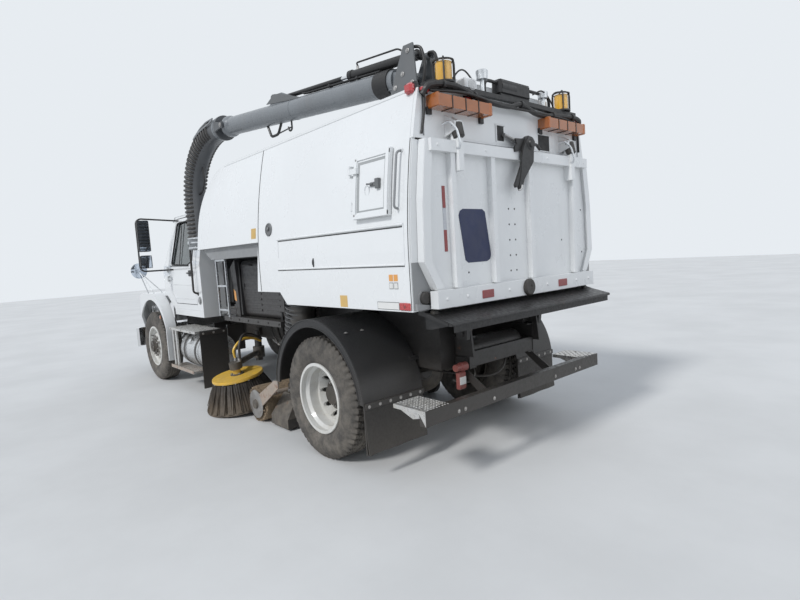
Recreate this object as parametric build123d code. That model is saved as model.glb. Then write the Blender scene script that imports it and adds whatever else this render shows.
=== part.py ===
from build123d import *
from math import atan2, cos, degrees, hypot, radians, sin, tan
import os

# Street sweeper truck, two axles, conventional cab, suction hopper behind.
# Millimetres. +X points forward, +Y to the truck's left, +Z up. The origin is on the ground, on the
# centre plane, at the middle of the overall length.

os.makedirs("parts", exist_ok=True)

# Overall sizes of the chassis
WHEELBASE = 4700
FRONT_OVERHANG = 965
REAR_OVERHANG = 1420
X_REAR_AXLE = REAR_OVERHANG - (FRONT_OVERHANG + WHEELBASE + REAR_OVERHANG) / 2
X_FRONT_AXLE = X_REAR_AXLE + WHEELBASE
SIDES = (("left", 1), ("right", -1))

# Clearances
RUNNING_GAP = 8
SEAT_GAP = 0.3
PIN_GAP = 0.5

# Wheels and tyres
TYRE_R = 518
TYRE_WIDTH = 279
TREAD_WIDTH = 216
BEAD_R = 286
RIM_FLANGE_R = 300
RIM_FLANGE_T = 12
RIM_WALL = 12
RIM_WELL_R = 250
DISC_T = 14
FRONT_DISH = 55
REAR_DISH = 115
HUB_R = 120
WHEEL_HOLE_R = 22
WHEEL_HOLE_PCR = 195
WHEEL_HOLES = 10
TWIN_SPACING = 336
REAR_TRACK = 1843
FRONT_TRACK = 2040
AXLE_Z = TYRE_R

# Chassis rails
RAIL_TOP = 1000
RAIL_DEPTH = 254
RAIL_OUTER_Y = 432
RAIL_FLANGE = 80
RAIL_WALL = 10
RAIL_FRONT_X = X_FRONT_AXLE + 700
RAIL_REAR_X = X_REAR_AXLE - 1010
RAIL_BOTTOM = RAIL_TOP - RAIL_DEPTH

# Springs and axles
SPRING_WIDTH = 76
SPRING_Y = RAIL_OUTER_Y - SPRING_WIDTH / 2
SPRING_THICK = 48
FRONT_SPRING_HALF = 560
REAR_SPRING_HALF = 620
KINGPIN_Y = 850
KINGPIN_R = 24
SPINDLE_R = 38
REAR_TUBE_R = 68
REAR_DRUM_R = 205

# Hopper body
HOPPER_TOP = 2800
HOPPER_ROOF_HALF = 1000
HOPPER_BELT_HALF = 1150
HOPPER_BELT_Z = 1700
HOPPER_BOTTOM = 1290
HOPPER_WALL = 30
HOPPER_BOW = 28
ROOF_CROWN = 30
HOPPER_FRONT_X = X_REAR_AXLE + 1080
HOPPER_SEAM_X = X_REAR_AXLE + 1000
HOPPER_REAR_X = X_REAR_AXLE - 1170
HOSE_NOTCH_X0 = X_REAR_AXLE + 570
HOSE_NOTCH_Z = 1400
BEARER_BOTTOM = RAIL_TOP + RUNNING_GAP
BEARER_WIDTH = 80
BEARER_Y = RAIL_OUTER_Y - RAIL_FLANGE / 2 - 10
NOSE_FRONT_X = X_REAR_AXLE + 2600
NOSE_BOTTOM = 1880
NOSE_RADIUS = 0.6957 * (HOPPER_TOP - NOSE_BOTTOM)
TIP_X = X_REAR_AXLE - 1000
TIP_Z = RAIL_TOP + 40

# Rear door of the hopper
DOOR_THICK = 60
DOOR_TOP = HOPPER_TOP - 370
DOOR_BOTTOM = 1290
DOOR_HINGE_Z = DOOR_TOP + 100
DOOR_HINGE_X = HOPPER_REAR_X - 80
DOOR_REAR_X = HOPPER_REAR_X - DOOR_THICK - RUNNING_GAP
DOOR_ARM_Y = 720
DOOR_PIN_R = 18
LEVER_BOSS_Y = -80
LEVER_BOSS_Z = DOOR_TOP + 50
LEVER_BOSS_R = 36

# Cab
CAB_BACK_X = X_FRONT_AXLE - 1730
CAB_FLOOR = 1020
CAB_ROOF = 2460
CAB_HALF = 1000
CAB_ROOF_HALF = 870
CAB_BELT_Z = 1720
CAB_WALL = 50
CAB_DOOR_GAP = 8
GLASS_INSET = 18
GLASS_T = 6

# Hood
HOOD_REAR_X = X_FRONT_AXLE - 262
HOOD_FRONT_X = X_FRONT_AXLE + 860
HOOD_WALL = 22
ARCH_R = 665
ARCH_Z = 560
FENDER_HALF = 1150
FENDER_TOP = 1320
FENDER_INNER_Y = 640
FENDER_BOTTOM = 360
FENDER_FRONT_LOW = 752
ARCH_REAR = 612
FENDER_SKIN_Y = 1008
BUMPER_TOP = 740
BUMPER_BOTTOM = 440
HOOD_PIVOT_X = X_FRONT_AXLE + 800
HOOD_PIVOT_Z = 740
HOOD_PIN_R = 15
HOOD_EAR_T = 16
HOOD_EAR_Y = 376
HOOD_LUG_Y = HOOD_EAR_Y + HOOD_EAR_T + 8

# Boom with its suction hose
POST_X = X_REAR_AXLE - 790
POST_Y = 650
LIFT_Z = HOPPER_TOP + 200
BOOM_YAW = 5.84
BOOM_R = 95
BOOM_TUBE_LENGTH = 2654
BOOM_TUBE_RISE = 190
HOSE_R = 120
HOSE_CAB_GAP = 20
BOOM_REACH = (CAB_BACK_X - HOSE_CAB_GAP - HOSE_R - POST_X) / cos(radians(BOOM_YAW))
HOSE_FLANGE_RUN = 136
HOSE_BEND_R = 0.872 * (BOOM_REACH - BOOM_TUBE_LENGTH - HOSE_FLANGE_RUN)
HOSE_END_Z = 1890


def corner_box(x0, x1, y0, y1, z0, z1):
    """A box given by its two opposite corners."""
    centre = ((x0 + x1) / 2, (y0 + y1) / 2, (z0 + z1) / 2)
    return Pos(*centre) * Box(abs(x1 - x0), abs(y1 - y0), abs(z1 - z0))


def side_prism(points, y0, y1):
    """A closed outline of (x, z) points, carried along Y."""
    face = make_face(Polyline(*[(x, 0, z) for x, z in points], close=True))
    return Pos(0, min(y0, y1), 0) * extrude(face, amount=abs(y1 - y0), dir=(0, 1, 0))


def end_prism(points, x0, x1):
    """A closed outline of (y, z) points, carried along X."""
    face = make_face(Polyline(*[(0, y, z) for y, z in points], close=True))
    return Pos(min(x0, x1), 0, 0) * extrude(face, amount=abs(x1 - x0), dir=(1, 0, 0))


def plan_prism(points, z0, z1):
    """A closed outline of (x, y) points, carried along Z."""
    face = make_face(Polyline(*[(x, y, 0) for x, y in points], close=True))
    return Pos(0, 0, min(z0, z1)) * extrude(face, amount=abs(z1 - z0), dir=(0, 0, 1))


def rod(start, end, radius):
    """A round bar between two points."""
    line = Vector(*end) - Vector(*start)
    plane = Plane(origin=start, z_dir=line)
    return extrude(plane * Circle(radius), amount=line.length)


def pipe(points, radius, bend, wall=0):
    """A round bar, or a tube where a wall is given, along runs joined by arcs."""
    path = FilletPolyline(*points, radius=bend)
    plane = Plane(origin=path @ 0, z_dir=path % 0)
    section = Circle(radius)
    if wall:
        section = section - Circle(radius - wall)
    return sweep(plane * section, path=path)


def both_sides(shape):
    """The shape and its mirror image on the other side of the centre plane."""
    return shape + mirror(shape, Plane.XZ)


def turned_y(profile, x, z):
    """A profile of (radius, y) points turned round the line along Y at (x, z)."""
    face = make_face(Polyline(*[(r, y, 0) for r, y in profile], close=True))
    return Pos(x, 0, z) * revolve(face, Axis.Y)


def save(shape, name):
    """Write one node."""
    shape.label = name
    export_step(shape, f"parts/{name}.step")


# Chassis frame: two channel rails, cross members, tip bearings and broom hangers
RAIL_CHANNEL_Y = RAIL_OUTER_Y - RAIL_WALL
CROSS_MEMBERS = (
    # centre x, half length along x
    (X_FRONT_AXLE + 665, 30),
    (X_FRONT_AXLE - 1000, 35),
    (X_REAR_AXLE + 1350, 35),
    (X_REAR_AXLE + 640, 35),
    (X_REAR_AXLE - 640, 35),
    (X_REAR_AXLE - 960, 45),
)
CROSS_DEPTH = 120
CROSS_TOP = RAIL_BOTTOM + RAIL_WALL + CROSS_DEPTH
HANGER_X = X_REAR_AXLE + 2600
HANGER_Y = 470
HANGER_R = 45
HANGER_BOTTOM = 420
TIP_PIN_R = 25
TIP_LUG_T = 20


def chassis_frame():
    rail = corner_box(RAIL_REAR_X, RAIL_FRONT_X, RAIL_OUTER_Y - RAIL_FLANGE, RAIL_OUTER_Y, RAIL_BOTTOM, RAIL_TOP)
    hollow = corner_box(RAIL_REAR_X - 1, RAIL_FRONT_X + 1, RAIL_OUTER_Y - RAIL_FLANGE - 1, RAIL_CHANNEL_Y,
                        RAIL_BOTTOM + RAIL_WALL, RAIL_TOP - RAIL_WALL)
    frame = both_sides(rail - hollow)
    for x, half in CROSS_MEMBERS:
        frame += corner_box(x - half, x + half, -RAIL_CHANNEL_Y, RAIL_CHANNEL_Y, RAIL_BOTTOM + RAIL_WALL, CROSS_TOP)
    lug = side_prism([(TIP_X - 70, RAIL_TOP - 150), (TIP_X + 120, RAIL_TOP - 150), (TIP_X + 60, TIP_Z + 45),
                      (TIP_X - 45, TIP_Z + 45)], RAIL_OUTER_Y, RAIL_OUTER_Y + TIP_LUG_T)
    pin = rod((TIP_X, RAIL_OUTER_Y, TIP_Z), (TIP_X, RAIL_OUTER_Y + TIP_LUG_T + 60, TIP_Z), TIP_PIN_R)
    hanger = rod((HANGER_X, HANGER_Y, HANGER_BOTTOM), (HANGER_X, HANGER_Y, RAIL_BOTTOM + 60), HANGER_R)
    hanger += corner_box(HANGER_X - 60, HANGER_X + 60, RAIL_OUTER_Y, HANGER_Y, RAIL_BOTTOM + 10, RAIL_BOTTOM + 100)
    frame += both_sides(lug + pin) + both_sides(hanger)
    for x in (CAB_BACK_X + 120, CAB_FRONT_LOW_X - 120):
        pad = corner_box(x - 50, x + 50, RAIL_OUTER_Y - RAIL_FLANGE, RAIL_OUTER_Y, RAIL_TOP, CAB_FLOOR)
        frame += both_sides(pad)
    ear = corner_box(RAIL_FRONT_X - 60, HOOD_PIVOT_X + 22, HOOD_EAR_Y, HOOD_EAR_Y + HOOD_EAR_T, HOOD_PIVOT_Z - 22,
                     HOOD_PIVOT_Z + 22)
    ear += rod((HOOD_PIVOT_X, HOOD_EAR_Y, HOOD_PIVOT_Z), (HOOD_PIVOT_X, HOOD_LUG_Y + HOOD_EAR_T, HOOD_PIVOT_Z), HOOD_PIN_R)
    return frame + both_sides(ear)


# Springs: a bowed leaf pack seated on the axle, its eyes in hangers on the rail
SPRING_BOW = 110
SPRING_EYE_Z = RAIL_BOTTOM - 50


def leaf_spring(x, half, seat_z):
    top = seat_z + SPRING_THICK
    with BuildSketch(Plane.XZ) as section:
        with BuildLine():
            ThreePointArc((x - half, SPRING_EYE_Z), (x, seat_z), (x + half, SPRING_EYE_Z))
            Line((x + half, SPRING_EYE_Z), (x + half, SPRING_EYE_Z + 26))
            ThreePointArc((x + half, SPRING_EYE_Z + 26), (x, top), (x - half, SPRING_EYE_Z + 26))
            Line((x - half, SPRING_EYE_Z + 26), (x - half, SPRING_EYE_Z))
        make_face()
    pack = extrude(section.sketch, amount=SPRING_WIDTH / 2, both=True)
    for end in (-1, 1):
        eye_x = x + end * half
        pack += rod((eye_x, -SPRING_WIDTH / 2, SPRING_EYE_Z + 13), (eye_x, SPRING_WIDTH / 2, SPRING_EYE_Z + 13), 28)
        pack += corner_box(eye_x - 25, eye_x + 25, -SPRING_WIDTH / 2, SPRING_WIDTH / 2, SPRING_EYE_Z + 13,
                           RAIL_BOTTOM)
    return Pos(0, SPRING_Y, 0) * pack


FRONT_BEAM_Z = 430
FRONT_BEAM_H = 90
FRONT_BEAM_HALF_X = 45
FRONT_SEAT_Z = FRONT_BEAM_Z + FRONT_BEAM_H / 2
KNUCKLE_H = 90


def front_axle():
    x0, x1 = X_FRONT_AXLE - FRONT_BEAM_HALF_X, X_FRONT_AXLE + FRONT_BEAM_HALF_X
    low, high = FRONT_BEAM_Z - FRONT_BEAM_H / 2, FRONT_SEAT_Z
    inner, outer = 560, KINGPIN_Y - 62
    rise = AXLE_Z - FRONT_BEAM_Z
    outline = [(-outer, low + rise), (-inner, low), (inner, low), (outer, low + rise), (outer, high + rise),
               (inner, high), (-inner, high), (-outer, high + rise)]
    beam = end_prism(outline, x0, x1)
    eye = rod((X_FRONT_AXLE, KINGPIN_Y, AXLE_Z - KNUCKLE_H / 2), (X_FRONT_AXLE, KINGPIN_Y, AXLE_Z + KNUCKLE_H / 2),
              KINGPIN_R + 24)
    eye += corner_box(X_FRONT_AXLE - 34, X_FRONT_AXLE + 34, outer - 5, KINGPIN_Y, AXLE_Z - KNUCKLE_H / 2,
                      AXLE_Z + KNUCKLE_H / 2)
    eye += rod((X_FRONT_AXLE, KINGPIN_Y, AXLE_Z - KNUCKLE_H - 20), (X_FRONT_AXLE, KINGPIN_Y, AXLE_Z + KNUCKLE_H + 20),
               KINGPIN_R)
    spring = leaf_spring(X_FRONT_AXLE, FRONT_SPRING_HALF, FRONT_SEAT_Z)
    spring += corner_box(X_FRONT_AXLE - 60, X_FRONT_AXLE + 60, SPRING_Y - SPRING_WIDTH / 2, SPRING_Y + SPRING_WIDTH / 2,
                         FRONT_SEAT_Z - 12, FRONT_SEAT_Z + 12)
    return beam + both_sides(eye) + both_sides(spring)


REAR_SEAT_Z = AXLE_Z + REAR_TUBE_R


def rear_axle():
    tube_half = REAR_TRACK / 2 - TWIN_SPACING / 2 - TYRE_WIDTH / 2 + 40
    axle = rod((X_REAR_AXLE, -tube_half, AXLE_Z), (X_REAR_AXLE, tube_half, AXLE_Z), REAR_TUBE_R)
    axle += Pos(X_REAR_AXLE, 0, AXLE_Z) * Sphere(205)
    axle += corner_box(X_REAR_AXLE, X_REAR_AXLE + 328, -95, 95, AXLE_Z - 55, AXLE_Z + 135)
    saddle = corner_box(X_REAR_AXLE - 70, X_REAR_AXLE + 70, SPRING_Y - SPRING_WIDTH / 2, SPRING_Y + SPRING_WIDTH / 2,
                        AXLE_Z, REAR_SEAT_Z + 2)
    spring = leaf_spring(X_REAR_AXLE, REAR_SPRING_HALF, REAR_SEAT_Z)
    spindle_end = REAR_TRACK / 2 + TWIN_SPACING / 2 - 60
    axle += rod((X_REAR_AXLE, -spindle_end, AXLE_Z), (X_REAR_AXLE, spindle_end, AXLE_Z), SPINDLE_R)
    return axle + both_sides(saddle) + both_sides(spring)


# Steering knuckles with the spindles that carry the front wheels
FRONT_WHEEL_Y = FRONT_TRACK / 2
FRONT_DISC_Y = FRONT_WHEEL_Y + 95


def knuckle(side):
    y = KINGPIN_Y
    yoke_y = y + 30
    body = corner_box(X_FRONT_AXLE - 48, X_FRONT_AXLE + 48, y + 56, y + 86, AXLE_Z - 130, AXLE_Z + 130)
    for sign in (-1, 1):
        z0 = AXLE_Z + sign * (KNUCKLE_H / 2 + 6)
        z1 = AXLE_Z + sign * (KNUCKLE_H / 2 + 60)
        ear = rod((X_FRONT_AXLE, y, min(z0, z1)), (X_FRONT_AXLE, y, max(z0, z1)), KINGPIN_R + 22)
        ear += corner_box(X_FRONT_AXLE - 40, X_FRONT_AXLE + 40, yoke_y, y + 70, min(z0, z1), max(z0, z1))
        bore = rod((X_FRONT_AXLE, y, min(z0, z1) - 1), (X_FRONT_AXLE, y, max(z0, z1) + 1), KINGPIN_R + PIN_GAP)
        body += ear - bore
    body += rod((X_FRONT_AXLE, y + 60, AXLE_Z), (X_FRONT_AXLE, FRONT_DISC_Y - 30, AXLE_Z), SPINDLE_R)
    body += rod((X_FRONT_AXLE, y + 60, AXLE_Z), (X_FRONT_AXLE, y + 110, AXLE_Z), 150)
    body += side_prism([(X_FRONT_AXLE - 215, AXLE_Z - 120), (X_FRONT_AXLE - 40, AXLE_Z - 125),
                        (X_FRONT_AXLE - 40, AXLE_Z - 90), (X_FRONT_AXLE - 215, AXLE_Z - 95)], y + 20, y + 50)
    body += corner_box(X_FRONT_AXLE - 48, X_FRONT_AXLE - 36, y + 20, y + 60, AXLE_Z - 125, AXLE_Z - 60)
    return body if side > 0 else mirror(body, Plane.XZ)


# Tyres: beads on the rim, bulged side walls, flat tread
SHOULDER_DROP = 26
SIDEWALL_MID_R = 410
BEAD_INSET = 28
HOLE_OUTER_R = 225
HUB_SEAT_R = 170


def tyre(x, y):
    half, tread = TYRE_WIDTH / 2, TREAD_WIDTH / 2
    bead = half - BEAD_INSET
    flange = RIM_FLANGE_R + SEAT_GAP
    with BuildSketch(Plane.XY) as section:
        with BuildLine():
            Polyline((flange, -bead), (BEAD_R, -bead), (BEAD_R, bead), (flange, bead))
            ThreePointArc((flange, bead), (SIDEWALL_MID_R, half), (TYRE_R - SHOULDER_DROP, tread + 10))
            Line((TYRE_R - SHOULDER_DROP, tread + 10), (TYRE_R, tread - 14))
            Line((TYRE_R, tread - 14), (TYRE_R, -tread + 14))
            Line((TYRE_R, -tread + 14), (TYRE_R - SHOULDER_DROP, -tread - 10))
            ThreePointArc((TYRE_R - SHOULDER_DROP, -tread - 10), (SIDEWALL_MID_R, -half), (flange, -bead))
        make_face()
    return Pos(x, y, AXLE_Z) * revolve(section.sketch, Axis.Y)


def rim(x, y, disc_y, outward, dish):
    """A disc wheel at y, its disc at disc_y, dished towards outward (1 or -1 along Y)."""
    half = TYRE_WIDTH / 2 - BEAD_INSET
    flange = half + RIM_FLANGE_T
    barrel = [(RIM_FLANGE_R, -flange), (RIM_FLANGE_R, -half), (BEAD_R, -half), (BEAD_R, -half + 30),
              (RIM_WELL_R + RIM_WALL, -half + 55), (RIM_WELL_R + RIM_WALL, half - 55), (BEAD_R, half - 30),
              (BEAD_R, half), (RIM_FLANGE_R, half), (RIM_FLANGE_R, flange), (BEAD_R - RIM_WALL, flange),
              (BEAD_R - RIM_WALL, half - 30), (RIM_WELL_R, half - 55), (RIM_WELL_R, -half + 55),
              (BEAD_R - RIM_WALL, -half + 30), (BEAD_R - RIM_WALL, -flange)]
    ring = Pos(0, y, 0) * turned_y(barrel, x, AXLE_Z)
    face = disc_y
    edge = disc_y - outward * dish
    inner_edge = edge - outward * DISC_T
    disc = [(SPINDLE_R + 6, face), (HUB_SEAT_R, face), (HOLE_OUTER_R, edge), (RIM_WELL_R + 2, edge),
            (RIM_WELL_R + 2, inner_edge), (HOLE_OUTER_R - 6, inner_edge), (HUB_SEAT_R - 6, face - outward * DISC_T),
            (SPINDLE_R + 6, face - outward * DISC_T)]
    plate = turned_y(disc, x, AXLE_Z)
    for i in range(WHEEL_HOLES):
        angle = radians(360 * i / WHEEL_HOLES)
        hx, hz = x + WHEEL_HOLE_PCR * cos(angle), AXLE_Z + WHEEL_HOLE_PCR * sin(angle)
        plate -= rod((hx, disc_y - 120, hz), (hx, disc_y + 120, hz), WHEEL_HOLE_R)
    return ring + plate


def hub(x, y0, y1, radius, cap_y):
    """The turning hub between y0 and y1, bored for the spindle, with its cap out to cap_y."""
    body = rod((x, y0, AXLE_Z), (x, y1, AXLE_Z), radius)
    body += rod((x, y1 - 1, AXLE_Z), (x, cap_y, AXLE_Z), radius * 0.62)
    return body


def front_wheel_rim():
    x, disc = X_FRONT_AXLE, FRONT_DISC_Y
    wheel = rim(x, FRONT_WHEEL_Y, disc, 1, FRONT_DISH)
    shell = hub(x, disc - 110, disc + 18, HUB_R, disc + 70)
    shell -= rod((x, disc - 111, AXLE_Z), (x, disc - 30 + 6, AXLE_Z), SPINDLE_R + PIN_GAP)
    return wheel + shell


def rear_wheel_rims():
    x, mid = X_REAR_AXLE, REAR_TRACK / 2
    outer, inner = mid + TWIN_SPACING / 2, mid - TWIN_SPACING / 2
    wheel = rim(x, outer, mid + DISC_T, -1, REAR_DISH) + rim(x, inner, mid - DISC_T, 1, REAR_DISH)
    wheel += rod((x, mid - DISC_T, AXLE_Z), (x, mid + DISC_T, AXLE_Z), 165)
    shell = hub(x, inner - 60, mid + 110, HUB_R + 10, outer - 20)
    shell += rod((x, inner - 95, AXLE_Z), (x, inner + 60, AXLE_Z), REAR_DRUM_R)
    shell -= rod((x, inner - 96, AXLE_Z), (x, REAR_TRACK / 2 + TWIN_SPACING / 2 - 60 + 6, AXLE_Z), SPINDLE_R + PIN_GAP)
    shell -= rod((x, inner - 96, AXLE_Z), (x, inner + 20, AXLE_Z), REAR_TUBE_R + 8)
    wheel -= rod((x, mid - 60, AXLE_Z), (x, mid + 60, AXLE_Z), SPINDLE_R + PIN_GAP)
    return wheel + shell


# Engine, gearbox and drive shaft as plain masses
ENGINE_X0 = X_FRONT_AXLE - 330
ENGINE_X1 = X_FRONT_AXLE + 480


def powertrain():
    engine = corner_box(ENGINE_X0, ENGINE_X1, -300, 300, 640, 1230)
    gearbox = corner_box(ENGINE_X0 - 620, ENGINE_X0 + 2, -200, 200, 600, 940)
    shaft = rod((ENGINE_X0 - 618, 0, 640), (X_REAR_AXLE + 329.6, 0, AXLE_Z + 40), 48)
    radiator = corner_box(ENGINE_X1 + 60, ENGINE_X1 + 140, -344, 344, 780, 1280)
    return engine + gearbox + shaft + radiator + corner_box(ENGINE_X1 - 2, ENGINE_X1 + 62, -90, 90, 860, 1040)


# Cab: side outline crossed with an end outline, shelled, with doors and windows cut
ROOF_EDGE = 90
SCREEN_TOP_X = X_FRONT_AXLE - 690
SCREEN_BASE_Z = 1620
CAB_FRONT_LOW_X = X_FRONT_AXLE - 645
COWL_FRONT_X = X_FRONT_AXLE - 275


def cab_volume(inset):
    """The cab's outer form, every face moved in by inset."""
    side = [(CAB_BACK_X, CAB_FLOOR), (CAB_FRONT_LOW_X, CAB_FLOOR), (CAB_FRONT_LOW_X, 1100), (COWL_FRONT_X, 1340),
            (COWL_FRONT_X, SCREEN_BASE_Z), (SCREEN_TOP_X, CAB_ROOF - 60), (SCREEN_TOP_X - 120, CAB_ROOF),
            (CAB_BACK_X + 150, CAB_ROOF), (CAB_BACK_X, CAB_ROOF - 120)]
    end = [(-CAB_HALF, CAB_FLOOR), (CAB_HALF, CAB_FLOOR), (CAB_HALF, CAB_BELT_Z),
           (CAB_ROOF_HALF + 25, CAB_ROOF - ROOF_EDGE), (CAB_ROOF_HALF - ROOF_EDGE, CAB_ROOF),
           (-CAB_ROOF_HALF + ROOF_EDGE, CAB_ROOF), (-CAB_ROOF_HALF - 25, CAB_ROOF - ROOF_EDGE),
           (-CAB_HALF, CAB_BELT_Z)]
    side_face = make_face(Polyline(*[(x, 0, z) for x, z in side], close=True))
    end_face = make_face(Polyline(*[(0, y, z) for y, z in end], close=True))
    if inset:
        side_face = offset(side_face, amount=-inset, kind=Kind.INTERSECTION)
        end_face = offset(end_face, amount=-inset, kind=Kind.INTERSECTION)
    length = COWL_FRONT_X - CAB_BACK_X
    side_solid = extrude(side_face, amount=CAB_HALF + 10, dir=(0, 1, 0), both=True)
    end_solid = Pos(CAB_BACK_X - 10, 0, 0) * extrude(end_face, amount=length + 20, dir=(1, 0, 0))
    return side_solid & end_solid


CAB_DOOR_X0 = X_FRONT_AXLE - 1540
CAB_DOOR_X1 = X_FRONT_AXLE - 680
CAB_DOOR_BOTTOM = 1180
CAB_DOOR_TOP = CAB_ROOF - 95
CAB_DOOR_FRONT = CAB_DOOR_X1 + 150
DOOR_OUTLINE = [(CAB_DOOR_X0, CAB_DOOR_BOTTOM), (CAB_DOOR_X1 - 60, CAB_DOOR_BOTTOM), (CAB_DOOR_X1 + 60, 1300),
                (CAB_DOOR_FRONT, 1560), (CAB_DOOR_FRONT, CAB_BELT_Z - 20), (CAB_DOOR_X1 - 80, CAB_DOOR_TOP),
                (CAB_DOOR_X0 + 60, CAB_DOOR_TOP),
                (CAB_DOOR_X0, CAB_DOOR_TOP - 90)]
WINDOW_LOW = CAB_BELT_Z + 10
WINDOW_OUTLINE = [(CAB_DOOR_X0 + 75, WINDOW_LOW + 35), (CAB_DOOR_X0 + 230, WINDOW_LOW - 20),
                  (CAB_DOOR_X1 + 20, WINDOW_LOW), (CAB_DOOR_X1 - 120, CAB_DOOR_TOP - 60),
                  (CAB_DOOR_X0 + 105, CAB_DOOR_TOP - 60), (CAB_DOOR_X0 + 75, CAB_DOOR_TOP - 110)]
SCREEN_HALF_LOW = 810
SCREEN_HALF_TOP = 690
SCREEN_LOW = SCREEN_BASE_Z + 65
SCREEN_TOP = CAB_ROOF - 135
REAR_WINDOW = (600, 1780, 2230)


def screen_cutter():
    return end_prism([(-SCREEN_HALF_LOW, SCREEN_LOW), (SCREEN_HALF_LOW, SCREEN_LOW), (SCREEN_HALF_TOP, SCREEN_TOP),
                      (-SCREEN_HALF_TOP, SCREEN_TOP)], SCREEN_TOP_X - 120, COWL_FRONT_X + 20)


def rear_window_cutter():
    half, low, high = REAR_WINDOW
    return corner_box(CAB_BACK_X - 20, CAB_BACK_X + CAB_WALL + 60, -half, half, low, high)


def door_prism(outline, gap):
    face = make_face(Polyline(*[(x, 0, z) for x, z in outline], close=True))
    if gap:
        face = offset(face, amount=-gap, kind=Kind.INTERSECTION)
    return Pos(0, CAB_ROOF_HALF - 160, 0) * extrude(face, amount=CAB_HALF, dir=(0, 1, 0))


def cab_wall():
    return cab_volume(0) - cab_volume(CAB_WALL)


CAB_HINGE_X = CAB_DOOR_FRONT + 14
CAB_HINGE_Y = CAB_HALF + 20
CAB_HINGE_R = 9
CAB_HINGES = (1530, 1660)


def cab_shell(wall):
    shell = wall - both_sides(door_prism(DOOR_OUTLINE, 0)) - screen_cutter() - rear_window_cutter()
    for z in CAB_HINGES:
        leaf = corner_box(CAB_HINGE_X - 6, CAB_HINGE_X + 24, CAB_HALF, CAB_HALF + 14, z - 40, z + 40)
        leaf -= corner_box(CAB_HINGE_X - 30, CAB_HINGE_X + 18, CAB_HALF - 1, CAB_HALF + 40, z - 24, z + 24)
        pin = rod((CAB_HINGE_X, CAB_HINGE_Y, z - 40), (CAB_HINGE_X, CAB_HINGE_Y, z + 40), CAB_HINGE_R)
        for z0 in (z - 40, z + 24):
            pin += corner_box(CAB_HINGE_X - 10, CAB_HINGE_X + 24, CAB_HALF, CAB_HINGE_Y + 9, z0, z0 + 16)
        shell += both_sides(leaf + pin)
    return shell


def door_knuckles():
    shape = None
    for z in CAB_HINGES:
        strap = corner_box(CAB_DOOR_FRONT - 90, CAB_HINGE_X, CAB_HALF, CAB_HALF + 12, z - 18, z + 18)
        strap += rod((CAB_HINGE_X, CAB_HINGE_Y, z - 20), (CAB_HINGE_X, CAB_HINGE_Y, z + 20), CAB_HINGE_R + 8)
        strap -= rod((CAB_HINGE_X, CAB_HINGE_Y, z - 25), (CAB_HINGE_X, CAB_HINGE_Y, z + 25), CAB_HINGE_R + PIN_GAP)
        strap -= corner_box(CAB_HINGE_X - 40, CAB_HINGE_X + 40, CAB_HALF - 30, CAB_HALF + 3, z - 30, z + 30)
        shape = strap if shape is None else shape + strap
    return shape


def cab_glass(pane):
    return (pane & screen_cutter()) + (pane & rear_window_cutter())


def cab_door(wall):
    return (wall & door_prism(DOOR_OUTLINE, CAB_DOOR_GAP)) - door_prism(WINDOW_OUTLINE, 0) + door_knuckles()


def cab_door_glass(pane):
    return pane & door_prism(WINDOW_OUTLINE, 0)


# Mirrors: a C-shaped tube on the door carries a long flat head and a small convex one
MIRROR_X = X_FRONT_AXLE - 640
MIRROR_Y = 1340
MIRROR_TOP = 2330
MIRROR_BOTTOM = 1700


def door_mirror():
    root = CAB_HALF - 10
    loop = pipe([(MIRROR_X - 90, root - 30, MIRROR_BOTTOM - 40), (MIRROR_X + 40, MIRROR_Y + 60, MIRROR_BOTTOM - 40),
                 (MIRROR_X + 40, MIRROR_Y + 60, MIRROR_TOP + 60), (MIRROR_X - 190, CAB_ROOF_HALF + 15, MIRROR_TOP + 5)],
                11, 70)
    head = corner_box(MIRROR_X - 20, MIRROR_X + 35, MIRROR_Y - 90, MIRROR_Y + 65, 1930, MIRROR_TOP + 30)
    small = corner_box(MIRROR_X - 20, MIRROR_X + 35, MIRROR_Y - 90, MIRROR_Y + 65, MIRROR_BOTTOM, 1880)
    head = fillet(head.edges().filter_by(Axis.X), 28)
    small = fillet(small.edges().filter_by(Axis.X), 40)
    return loop + head + small - cab_volume(0)


# Seats and dashboard
SEAT_X = CAB_BACK_X + 90
SEAT_Z = CAB_FLOOR + CAB_WALL
SEAT_Y = 480


def seat(y):
    base = corner_box(SEAT_X + 80, SEAT_X + 480, y - 180, y + 180, SEAT_Z, SEAT_Z + 260)
    cushion = corner_box(SEAT_X + 60, SEAT_X + 530, y - 250, y + 250, SEAT_Z + 260, SEAT_Z + 400)
    cushion = fillet(cushion.edges().filter_by(Axis.Y), 35)
    back = side_prism([(SEAT_X + 70, SEAT_Z + 360), (SEAT_X + 190, SEAT_Z + 360), (SEAT_X + 110, SEAT_Z + 1120),
                       (SEAT_X, SEAT_Z + 1120)], y - 240, y + 240)
    return base + cushion + back


def cab_seats():
    return seat(SEAT_Y) + seat(-SEAT_Y)


def dashboard():
    x1 = CAB_FRONT_LOW_X - CAB_WALL
    z_top = SCREEN_BASE_Z + 10
    panel = side_prism([(x1 - 260, SEAT_Z + 260), (x1, SEAT_Z + 260), (x1, 1400), (x1 + 180, z_top - 60),
                        (x1 + 120, z_top), (x1 - 200, z_top - 60)], -CAB_HALF + 120, CAB_HALF - 120)
    hub_x, hub_z = x1 - 280, z_top - 10
    column = rod((x1 - 100, SEAT_Y, hub_z - 108), (hub_x, SEAT_Y, hub_z), 35)
    tilt = Plane(origin=(hub_x, SEAT_Y, hub_z), z_dir=(-200, 0, 120))
    wheel = tilt * Torus(215, 16)
    spokes = tilt * Box(426, 40, 16)
    post = corner_box(x1 - 200, x1, -120, 120, SEAT_Z, SEAT_Z + 280)
    return panel + column + wheel + spokes + post


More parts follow.
